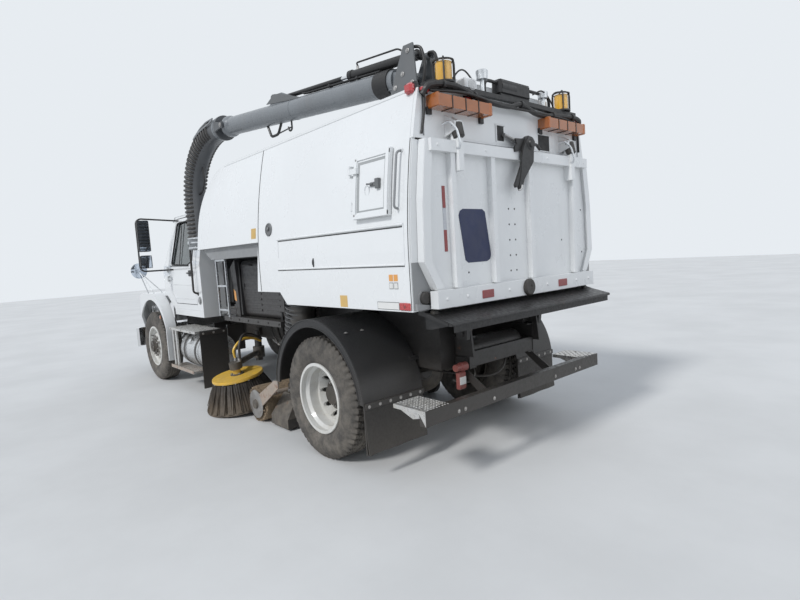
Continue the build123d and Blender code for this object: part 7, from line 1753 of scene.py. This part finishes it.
def add_cab_doors():
    """Trim on the doors, and rails, gaps, caps, drips and seams on the cab's sides."""
    for side, sign in SIDES:
        gasket = carried(circle(0.010, 8), rounded(on_side(WINDOW_LINE, sign, -0.001), 0.045, 5), closed=True)
        y = sign * (CAB_HALF + 0.004)
        handle = [block((DOOR_X0 + 0.055, y - 0.006, 1.560), (DOOR_X0 + 0.215, y + 0.006, 1.640), 0.004),
                  tube([(DOOR_X0 + 0.075, y, 1.605), (DOOR_X0 + 0.075, y + sign * 0.034, 1.605),
                        (DOOR_X0 + 0.195, y + sign * 0.034, 1.605), (DOOR_X0 + 0.195, y, 1.605)], 0.0095,
                       0.018)]
        lock = disc((DOOR_X0 + 0.235, y, 1.600), (0, sign, 0), 0.014, 0.012)
        press = [carried(circle(0.006, 6), on_side([(DOOR_X0 + 0.07, 1.445), (DOOR_X1 + 0.02, 1.445)], sign,
                                                   0.0)),
                 carried(circle(0.006, 6), on_side([(DOOR_X0 + 0.07, 1.255), (DOOR_X1 - 0.06, 1.255),
                                                    (DOOR_X1 + 0.02, 1.335)], sign, 0.0))]
        pane_edge = carried(circle(0.005, 6), on_side([(DOOR_X0 + 0.56, 1.712), (DOOR_X0 + 0.56, 2.300)],
                                                      sign, -0.004))
        sill = carried(oblong(0.010, 0.030, 0.004),
                       on_side([(DOOR_X0 + 0.19, 1.700), (DOOR_X1 + 0.05, 1.712)], sign, 0.002))
        piece(f"door_trim_{side}", [(gasket, "seal_black"), (handle, "plastic_black"), (lock, "nut_steel"),
                                    (press, "cab_white"), ([pane_edge, sill], "seal_black")], f"door_{side}")
        rail = tube([(DOOR_X0 - 0.055, sign * (CAB_HALF - 0.01), 1.330),
                     (DOOR_X0 - 0.060, sign * (CAB_HALF + 0.060), 1.350),
                     (DOOR_X0 - 0.060, sign * (CAB_HALF + 0.050), 2.020),
                     (DOOR_X0 - 0.055, sign * (cab_y(2.09) - 0.01), 2.090)], 0.0135, 0.06)
        feet = [disc((DOOR_X0 - 0.055, sign * (cab_y(z) - 0.002), z), (0, sign, 0), 0.026, 0.012)
                for z in (1.330, 2.085)]
        gap = carried(circle(0.0035, 6), on_side(DOOR_LINE, sign, -0.006), closed=True)
        cap = [disc((FRONT_X - 1.64, sign * (CAB_HALF - 0.001), 1.24), (0, sign, 0), 0.052, 0.012),
               disc((FRONT_X - 1.64, sign * (CAB_HALF + 0.009), 1.24), (0, sign, 0), 0.036, 0.010)]
        eaves = [(DOOR_X0 - 0.02, sign * 0.897, 2.396), (DOOR_X1 - 0.02, sign * 0.897, 2.396),
                 (DOOR_X1 + 0.02, sign * 0.915, 2.330)]
        drip = carried(oblong(0.012, 0.016, 0.004), eaves)
        seam = carried(circle(0.004, 6), on_side([(FRONT_X - 1.725, 1.110), (DOOR_X0 - 0.012, 1.110),
                                                  (DOOR_X1 - 0.02, 1.110)], sign, 0.0))
        piece(f"cab_side_{side}", [(rail, "rubber_black"), (feet, "plastic_black"), (gap, "seal_black"),
                                   (cap, "wedge_grey"), (drip, "cab_white"), (seam, "cab_white")], "chassis")


def add_mirrors():
    """Lips of the door mirrors' shells and the brackets behind them."""
    x, y0 = FRONT_X - 0.640, 1.340
    for side, sign in SIDES:
        y = sign * y0
        frames, brackets = [], []
        for z0, z1 in ((1.930, 2.360), (1.700, 1.880)):
            face, inner, outer = x - 0.0205, y - sign * 0.084, y + sign * 0.059
            ring = [(face, inner, z0 + 0.006), (face, outer, z0 + 0.006), (face, outer, z1 - 0.006),
                    (face, inner, z1 - 0.006)]
            frames.append(carried(circle(0.005, 8), rounded(ring, 0.030, 5), closed=True))
            mid = (z0 + z1) / 2
            brackets.append(block((x + 0.030, y - 0.030, mid - 0.03), (x + 0.052, y + 0.030, mid + 0.03),
                                  0.006))
            brackets.append(bar((x + 0.045, y, mid), (x + 0.042, y + sign * 0.058, mid), 0.022, 0.014))
        piece(f"mirror_trim_{side}", [(frames, "plastic_black"), (brackets, "frame_black")], f"door_{side}")


def cushion_surface(x0, x1, y0, y1, z0, z1, seams=3, crown=0.030):
    """A crowned pad: a rounded box whose top swells by a product of parabolas, with grooves across it."""
    u, v = np.meshgrid(np.linspace(-1, 1, 41), np.linspace(0, 2 * math.pi, 56, endpoint=False), indexing="ij")
    c, s = np.cos(v), np.sin(v)
    n = 2.0 / 5.0
    across = np.sign(c) * np.abs(c) ** n
    tall = np.sign(s) * np.abs(s) ** n
    end = (1 - np.abs(u) ** 8) ** 0.5
    taper = 0.35 + 0.65 * end
    swell = crown * np.maximum(tall, 0) * (1 - (0.92 * u) ** 2) * (1 - (0.9 * across) ** 2)
    off_seam = ((u * 0.5 + 0.5) * seams) % 1.0 - 0.5
    groove = 0.007 * np.maximum(tall, 0) * np.exp(-(off_seam / 0.035) ** 2) * (1 - across ** 4)
    pull = 1 - 0.02 * (1 - u ** 2)
    x = (x0 + x1) / 2 + (x1 - x0) / 2 * across * (0.90 + 0.10 * end)
    y = (y0 + y1) / 2 + (y1 - y0) / 2 * u * pull
    z = (z0 + z1) / 2 + (z1 - z0) / 2 * tall * taper + swell - groove
    return surface(np.stack([x, y, z], -1), wrap_cols=True, caps=True)


def add_seats():
    """Each seat is a crowned cushion, a leaning back of the same make and a moulded base."""
    x, z = FRONT_X - 1.640, 1.070
    cushions, backs, bases, rails = [], [], [], []
    lean = math.atan2(0.080, 0.76)
    for s in (1, -1):
        y = s * 0.480
        cushions.append(cushion_surface(x + 0.075, x + 0.525, y - 0.240, y + 0.240, z + 0.265, z + 0.385))
        flat = cushion_surface(-0.340, 0.340, -0.230, 0.230, -0.048, 0.030, 4, 0.020)
        upright = turned(turned(flat, (0, 1, 0), -math.pi / 2), (0, 0, 1), math.pi)
        backs.append(moved(turned(upright, (0, 1, 0), -lean), (x + 0.082, y, z + 0.755)))
        bases.append(block((x + 0.09, y - 0.175, z + 0.02), (x + 0.47, y + 0.175, z + 0.262), 0.03))
        rails += [block((x + 0.08, y + d - 0.015, z + 0.002), (x + 0.49, y + d + 0.015, z + 0.03), 0.004)
                  for d in (-0.14, 0.14)]
    pads = piece("seat_cushions", [(cushions, "seat_fabric")], "chassis", ("cab_seats",),
                 angle=60)
    rests = piece("seat_backs", [(backs, "seat_fabric")], "chassis", ("cab_seats",), angle=60)
    piece("seat_bases", [(bases, "dash_plastic"), (rails, "frame_black")], "chassis",
          ("cab_seats",))


def add_tanks_steps():
    """Straps, domes and caps of the fuel tanks, their flaps, and the steps' tread plates."""
    low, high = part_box("fuel_tanks")
    y, z, r = 0.860, 0.560, 0.235
    domes, caps, plates, treads, trims, bolts = [], [], [], [], [], []
    straps = [clamp_band((x - 0.026, s * y, z), (1, 0, 0), r + 0.0065, 0.052, 0.0045, 48)
              for s in (1, -1) for x in (low.x + 0.20, high.x - 0.16)]
    for s in (1, -1):
        for x, d in ((low.x + 0.0005, -1), (high.x - 0.0005, 1)):
            domes.append(lathed([(-0.004, r - 0.020), (0.000, r - 0.016), (0.003, r - 0.030), (0.0035, 0.05),
                                 (0.0035, 0.0)], (x, s * y, z), (d, 0, 0), 48))
        caps.append(lathed([(0, 0.045), (0.020, 0.047), (0.034, 0.044), (0.038, 0.030), (0.038, 0.0)],
                           (high.x - 0.33, s * (y + r * 0.80), z + r * 0.60 - 0.01), (0, s * 0.8, 0.6), 24))
        plates.append(diamond_plate(0.890, 1.860, *sorted((s * 0.785, s * 1.125)), 0.850))
        treads.append(diamond_plate(1.012, 1.860, *sorted((s * 0.945, s * 1.145)), 0.317))
        trims.append(prism([(s * 1.1505, 0.290), (s * 1.1505, 0.330), (s * 1.146, 0.330),
                            (s * 1.146, 0.290)], 0, 1.003, 1.867))
        for x in (1.05, 1.40, 1.82):
            bolts.append(bolt_heads([(x, s * 1.1305, 0.835)], (0, s, 0), 0.009, 0.006))
    piece("tank_trim", [(straps, "frame_black"), (domes, "tank_alloy"), (caps, "chrome")], "chassis")
    grid_y, grid_z = np.meshgrid(np.linspace(0.735, 1.095, 9), np.linspace(0.115, 0.860, 13), indexing="ij")
    drop = (0.860 - grid_z) / 0.745
    front = np.stack([0.8195 - 0.006 * drop ** 2 * np.sin(grid_y * 17), grid_y, grid_z], -1)
    sheet = surface(np.concatenate([front, (front - (0.008, 0, 0))[:, ::-1]], 1), wrap_cols=True, caps=True)
    rail = block((0.806, 0.730, 0.800), (0.8205, 1.100, 0.848), 0.004)
    hold = bolt_heads([(0.806, y, 0.824) for y in (0.78, 0.915, 1.05)], (-1, 0, 0), 0.010, 0.006)
    piece("tank_flaps", [(both(sheet), "flap_rubber"), (both(rail), "frame_black"),
                         (both(hold), "nut_steel")], "chassis")
    piece("step_treads", [(plates, "step_alloy"), (treads, "step_rusty"), (trims, "step_rusty"),
                          (bolts, "nut_steel")], "chassis")


def add_guard_pack():
    """Bolts of the guard, fittings, louvres, duct and hoses of the pack, and a black sheet behind the cab as
    painted shade.
    """
    x0, x1, side_y = REAR_X + 1.180, REAR_X + 2.150, 0.826
    rails, latches, rods, slats, struts = [], [], [], [], []
    gx0, gx1 = REAR_X + 2.270, REAR_X + 2.560
    for s in (1, -1):
        rods.append(bolt_heads([(x, s * 0.960, z) for x in (gx0 + 0.011, gx1 - 0.011)
                                for z in (1.10, 1.44, 1.735)], (0, s, 0), 0.008, 0.005))
        for x in (x0 + 0.46, x1 - 0.05):
            latches.append(block((x - 0.020, s * side_y - 0.008, 1.38),
                                 (x + 0.020, s * side_y + 0.008, 1.46), 0.006))
        for z in (1.10, 1.40, 1.64):
            latches.append(lathed([(-0.05, 0.012), (0.05, 0.012)], (x0 + 0.045, s * side_y, z), (0, 0, 1),
                                  12))
        rails.append(tube([(x1 - 0.30, s * 0.820, 1.66), (x1 - 0.30, s * 0.856, 1.665),
                           (x1 - 0.12, s * 0.856, 1.665), (x1 - 0.12, s * 0.820, 1.66)], 0.008, 0.015))
        rails.append(bolt_heads([(x, s * 0.900, 1.030) for x in np.arange(x0, x1 + 0.40, 0.24)], (0, s, 0),
                                0.010, 0.007))
        for z in np.linspace(1.475, 1.665, 6):
            slats.append(prism([(s * 0.818, z - 0.013), (s * 0.846, z - 0.016), (s * 0.849, z - 0.012),
                                (s * 0.820, z + 0.012)], 0, x0 + 0.10, x0 + 0.40))
        for x in (x0 + 0.085, x0 + 0.400):
            slats.append(block((x, s * side_y - 0.010, 1.445), (x + 0.015, s * side_y + 0.024, 1.690), 0.003))
        struts.append(bar((x1 + 0.06, s * 0.800, 1.700), (x1 - 0.04, s * 0.840, 1.085), 0.060, 0.030, 0.006,
                          (1, 0, 0)))
        struts.append(tube([(x1 + 0.075, s * 0.775, 1.72), (x1 + 0.030, s * 0.780, 1.42),
                            (x1 + 0.045, s * 0.790, 1.10)], 0.014, 0.05))
    duct_x = x1 + 0.12
    plate = prism([(duct_x - 0.030, 1.36), (duct_x + 0.028, 1.39), (duct_x + 0.010, 1.26),
                   (duct_x - 0.045, 1.24)], 1, 0.8695, 0.8715)
    clamps = [clamp_band((x1 + 0.170, y, 1.560), (0, 1, 0), 0.142, 0.022) for y in (-0.32, -0.10, 0.10, 0.32)]
    end_profile = [(0, 0.136), (0.004, 0.136), (0.006, 0.110), (0.020, 0.104), (0.022, 0.05), (0.030, 0.045),
                   (0.032, 0.0)]
    ends = [lathed(end_profile, (x1 + 0.170, s * 0.4995, 1.560), (0, s, 0), 36) for s in (1, -1)]
    # Each route: half its thickness, then places whose x counts from the pack's front
    routes = ((0.022, (0.17, 0.62, 1.075), (0.20, 0.66, 1.20), (0.10, 0.70, 1.32), (0.02, 0.66, 1.45)),
              (0.020, (0.28, 0.74, 1.075), (0.26, 0.74, 1.22), (0.17, 0.68, 1.38), (0.17, 0.52, 1.44)),
              (0.012, (0.34, 0.60, 1.075), (0.34, 0.60, 1.16), (0.26, 0.56, 1.28), (0.16, 0.50, 1.30)))
    hoses = [tube(through([(x1 + x, y, z) for x, y, z in places], 26), r) for r, *places in routes]
    valve = block((x1 + 0.20, 0.70, 1.062), (x1 + 0.38, 0.84, 1.14), 0.008)
    spools = [lathed([(0, 0.016), (0.03, 0.016), (0.034, 0.011), (0.05, 0.010)],
                     (x1 + 0.225 + 0.043 * k, 0.77, 1.138), (0, 0, 1), 12) for k in range(4)]
    piece("pack_trim", [(latches, "plastic_black"), (rails, "frame_black"), (plate, "label_orange"),
                        (clamps, "galvanised"), (ends, "pack_charcoal"), (hoses, "rubber_black"),
                        (valve, "engine_grey"), (spools, "copper_pipe")], "chassis")
    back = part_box("cab_shell")[0].x
    # A black sheet over the cab's back wall, with a box and a pipe: painted shade seen through the guard.
    shade_backing = [block((back - 0.030, -0.740, 1.130), (back + 0.001, 0.700, 1.790), 0.008),
              block((back - 0.130, 0.300, 1.180), (back - 0.028, 0.660, 1.640), 0.015),
              tube(through([(back - 0.075, 0.52, 1.64), (back - 0.080, 0.53, 1.76),
                            (back - 0.060, 0.42, 1.88), (back - 0.010, 0.40, 1.90)], 20), 0.028)]
    piece("cab_back_shield", [(shade_backing, "plastic_black")], "chassis")
    piece("pack_louvres", [(slats, "wedge_grey"), (struts, "frame_black")], "chassis")
    piece("guard_bolts", [(rods, "galvanised")], "chassis")


def add_front():
    """Hood seams and latches, lamp bezels and bowls, tow eyes and wipers."""
    seams, bezels, bowls, latches, wipers, eyes = [], [], [], [], [], []
    for s in (1, -1):
        path = np.array([(FRONT_X - 0.25, s * 0.800, 1.580), (FRONT_X + 0.20, s * 0.640, 1.515),
                         (FRONT_X + 0.60, s * 0.500, 1.435)])
        seams.append(carried(circle(0.006, 6), through(path, 16)))
        x = FRONT_X + 0.8015
        ring = [(x, s * 0.735, 0.925), (x, s * 0.925, 0.925), (x, s * 0.925, 1.095), (x, s * 0.735, 1.095)]
        bezels.append(carried(circle(0.007, 8), rounded(ring, 0.03, 5), closed=True))
        for y, r in ((0.785, 0.040), (0.875, 0.034)):
            bowls.append(lathed([(0.0, r), (-0.002, r - 0.004), (-0.010, r * 0.6), (-0.012, 0.0)],
                                (x + 0.006, s * y, 1.010), (1, 0, 0), 28))
        latches.append(block((FRONT_X - 0.17, s * 0.945 - 0.02, 1.18),
                             (FRONT_X - 0.09, s * 0.945 + 0.02, 1.28), 0.006))
        eyes.append(tube([(FRONT_X + 0.9645, s * 0.30, 0.60), (FRONT_X + 0.9600, s * 0.30, 0.70),
                          (FRONT_X + 0.9600, s * 0.22, 0.70), (FRONT_X + 0.9645, s * 0.22, 0.60)], 0.004,
                         0.03))
        wipers.append(bar((FRONT_X - 0.375, s * 0.55, 1.640), (FRONT_X - 0.475, s * 0.12, 1.868), 0.016,
                          0.010))
        wipers.append(disc((FRONT_X - 0.372, s * 0.55, 1.632), (0.3, 0, 1), 0.020, 0.024))
    piece("hood_trim", [(seams, "seal_black"), (bezels, "chrome"), (bowls, "chrome"),
                        (latches, "rubber_black")], "hood")
    piece("front_trim", [(eyes, "frame_black")], "chassis")
    piece("wiper_arms", [(wipers, "plastic_black")], "chassis")


def add_side_markers():
    """Oval marker lamps on the front fenders and amber roof lamps."""
    lamps, bases = [], []
    for s in (1, -1):
        fender_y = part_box("hood_shell")[1].y
        lamps.append(lathed([(0, 0.030), (0.006, 0.028), (0.010, 0.018), (0.011, 0.0)],
                            (FRONT_X - 0.42, s * (fender_y + 0.001), 0.98), (0, s, 0), 24))
        bases.append(disc((FRONT_X - 0.42, s * (fender_y - 0.001), 0.98), (0, s, 0), 0.036, 0.006))
    piece("fender_markers", [(lamps, "amber_lens"), (bases, "plastic_black")], "hood")
    roof = [lathed([(0, 0.030), (0.018, 0.024), (0.026, 0.012), (0.027, 0.0)], (FRONT_X - 0.84, y, 2.459),
                   (0, 0, 1), 20) for y in (-0.62, -0.16, 0.0, 0.16, 0.62)]
    piece("roof_markers", [(roof, "amber_lens")], "chassis")


# Operators: one for each group of pieces, in the order of main
class SweeperFinishes(bpy.types.Operator):
    """Makes the finishes and gives each node of the frame its own."""

    bl_idname = "sweeper.finishes"
    bl_label = "Finishes"

    def execute(self, context):
        make_finishes(context.scene.sweeper_look)
        dress_nodes()
        return {"FINISHED"}


class SweeperWheels(bpy.types.Operator):
    """Adds tyres with cut treads, nuts, hub covers and valves."""

    bl_idname = "sweeper.wheels"
    bl_label = "Wheels"

    def execute(self, context):
        for side, sign in SIDES:
            add_front_wheel(side, sign)
            add_rear_wheels(side, sign)
        return {"FINISHED"}


class SweeperHopper(bpy.types.Operator):
    """Adds the mouldings, caps, labels and hatch fittings of the hopper's sides."""

    bl_idname = "sweeper.hopper"
    bl_label = "Hopper sides"

    def execute(self, context):
        add_side_trim()
        add_roof_pads()
        add_side_labels()
        add_grab_handles()
        add_hatch_detail()
        return {"FINISHED"}


class SweeperRearDoor(bpy.types.Operator):
    """Adds the flange, strips, lever and lip of the rear door."""

    bl_idname = "sweeper.rear_door"
    bl_label = "Rear door"

    def execute(self, context):
        add_door_frame()
        add_rear_door_detail()
        add_lever_detail()
        add_lip_detail()
        return {"FINISHED"}


class SweeperRoofGear(bpy.types.Operator):
    """Adds the cable loom, lamps and boxes over the rear door."""

    bl_idname = "sweeper.roof_gear"
    bl_label = "Roof gear"

    def execute(self, context):
        add_light_bars()
        add_marker_lamps()
        add_rack_gear()
        add_rear_head()
        return {"FINISHED"}


class SweeperBoom(bpy.types.Operator):
    """Adds the boom's brackets, hooks and lines, and the ribs of its hose."""

    bl_idname = "sweeper.boom"
    bl_label = "Boom and hose"

    def execute(self, context):
        add_boom_fittings()
        add_ram_trim()
        add_post_trim()
        add_hose_ribs()
        add_hose_straps()
        add_collar_rings()
        return {"FINISHED"}


class SweeperBrooms(bpy.types.Operator):
    """Adds the bristles, discs' trim, motors and lines of the brooms, and the suction gear's fittings."""

    bl_idname = "sweeper.brooms"
    bl_label = "Brooms"

    def execute(self, context):
        for side, sign in SIDES:
            add_gutter_broom(side, sign)
            add_arm_lines(side, sign)
        add_wide_broom()
        add_broom_frame_detail()
        add_suction_detail()
        add_line_bundle()
        add_suction_ribs()
        return {"FINISHED"}


class SweeperUnderbody(bpy.types.Operator):
    """Adds the fenders' lips and flaps, the rear step's tread plates and the fittings under the hopper."""

    bl_idname = "sweeper.underbody"
    bl_label = "Fenders, step and underbody"

    def execute(self, context):
        add_fenders()
        add_rear_step()
        add_underbody()
        return {"FINISHED"}


class SweeperCab(bpy.types.Operator):
    """Adds door trim, handles, mirrors' trim, tanks' straps and steps' treads."""

    bl_idname = "sweeper.cab"
    bl_label = "Cab, tanks and steps"

    def execute(self, context):
        add_cab_doors()
        add_mirrors()
        add_tanks_steps()
        return {"FINISHED"}


class SweeperSeats(bpy.types.Operator):
    """Puts crowned and sewn cushions in place of the plain seats."""

    bl_idname = "sweeper.seats"
    bl_label = "Seats"

    def execute(self, context):
        add_seats()
        return {"FINISHED"}


class SweeperFront(bpy.types.Operator):
    """Adds the hood's seams, lamp bezels, wipers and marker lamps."""

    bl_idname = "sweeper.front"
    bl_label = "Hood and lamps"

    def execute(self, context):
        add_front()
        add_side_markers()
        return {"FINISHED"}


class SweeperPack(bpy.types.Operator):
    """Adds latches, hoses and clamps of the engine pack and the guard's bolts."""

    bl_idname = "sweeper.pack"
    bl_label = "Engine pack and guard"

    def execute(self, context):
        add_guard_pack()
        return {"FINISHED"}


class SweeperPanel(bpy.types.Panel):
    """Lists the groups of pieces with the colours and sizes that they take."""

    bl_idname = "VIEW3D_PT_sweeper"
    bl_label = "Street sweeper truck"
    bl_space_type = "VIEW_3D"
    bl_region_type = "UI"
    bl_category = "Sweeper"

    def draw(self, context):
        layout = self.layout
        for settings in (context.scene.sweeper_look, context.scene.sweeper_sizes):
            box = layout.box()
            for name in settings.__annotations__:
                box.prop(settings, name)
        for made in OPERATORS:
            layout.operator(made.bl_idname)


OPERATORS = (SweeperFinishes, SweeperWheels, SweeperHopper, SweeperRearDoor, SweeperRoofGear, SweeperBoom,
             SweeperBrooms, SweeperUnderbody, SweeperCab, SweeperSeats, SweeperFront, SweeperPack,
             SweeperStage)
CLASSES = (FinishSettings, SizeSettings, *OPERATORS, SweeperPanel)


def register():
    """Makes the operators, the panel and the settings known."""
    for made in CLASSES:
        bpy.utils.register_class(made)
    bpy.types.Scene.sweeper_look = PointerProperty(type=FinishSettings)
    bpy.types.Scene.sweeper_sizes = PointerProperty(type=SizeSettings)


def unregister():
    """Takes the settings, the panel and the operators away again."""
    del bpy.types.Scene.sweeper_sizes
    del bpy.types.Scene.sweeper_look
    for made in reversed(CLASSES):
        bpy.utils.unregister_class(made)


def main():
    """Runs the operators in order."""
    register()
    bpy.ops.sweeper.finishes()
    bpy.ops.sweeper.wheels()
    bpy.ops.sweeper.hopper()
    bpy.ops.sweeper.rear_door()
    bpy.ops.sweeper.roof_gear()
    bpy.ops.sweeper.boom()
    bpy.ops.sweeper.brooms()
    bpy.ops.sweeper.underbody()
    bpy.ops.sweeper.cab()
    bpy.ops.sweeper.seats()
    bpy.ops.sweeper.front()
    bpy.ops.sweeper.pack()
    bpy.ops.sweeper.stage()
    bpy.context.scene.view_settings.view_transform = "Standard"


if __name__ == "__main__":
    main()
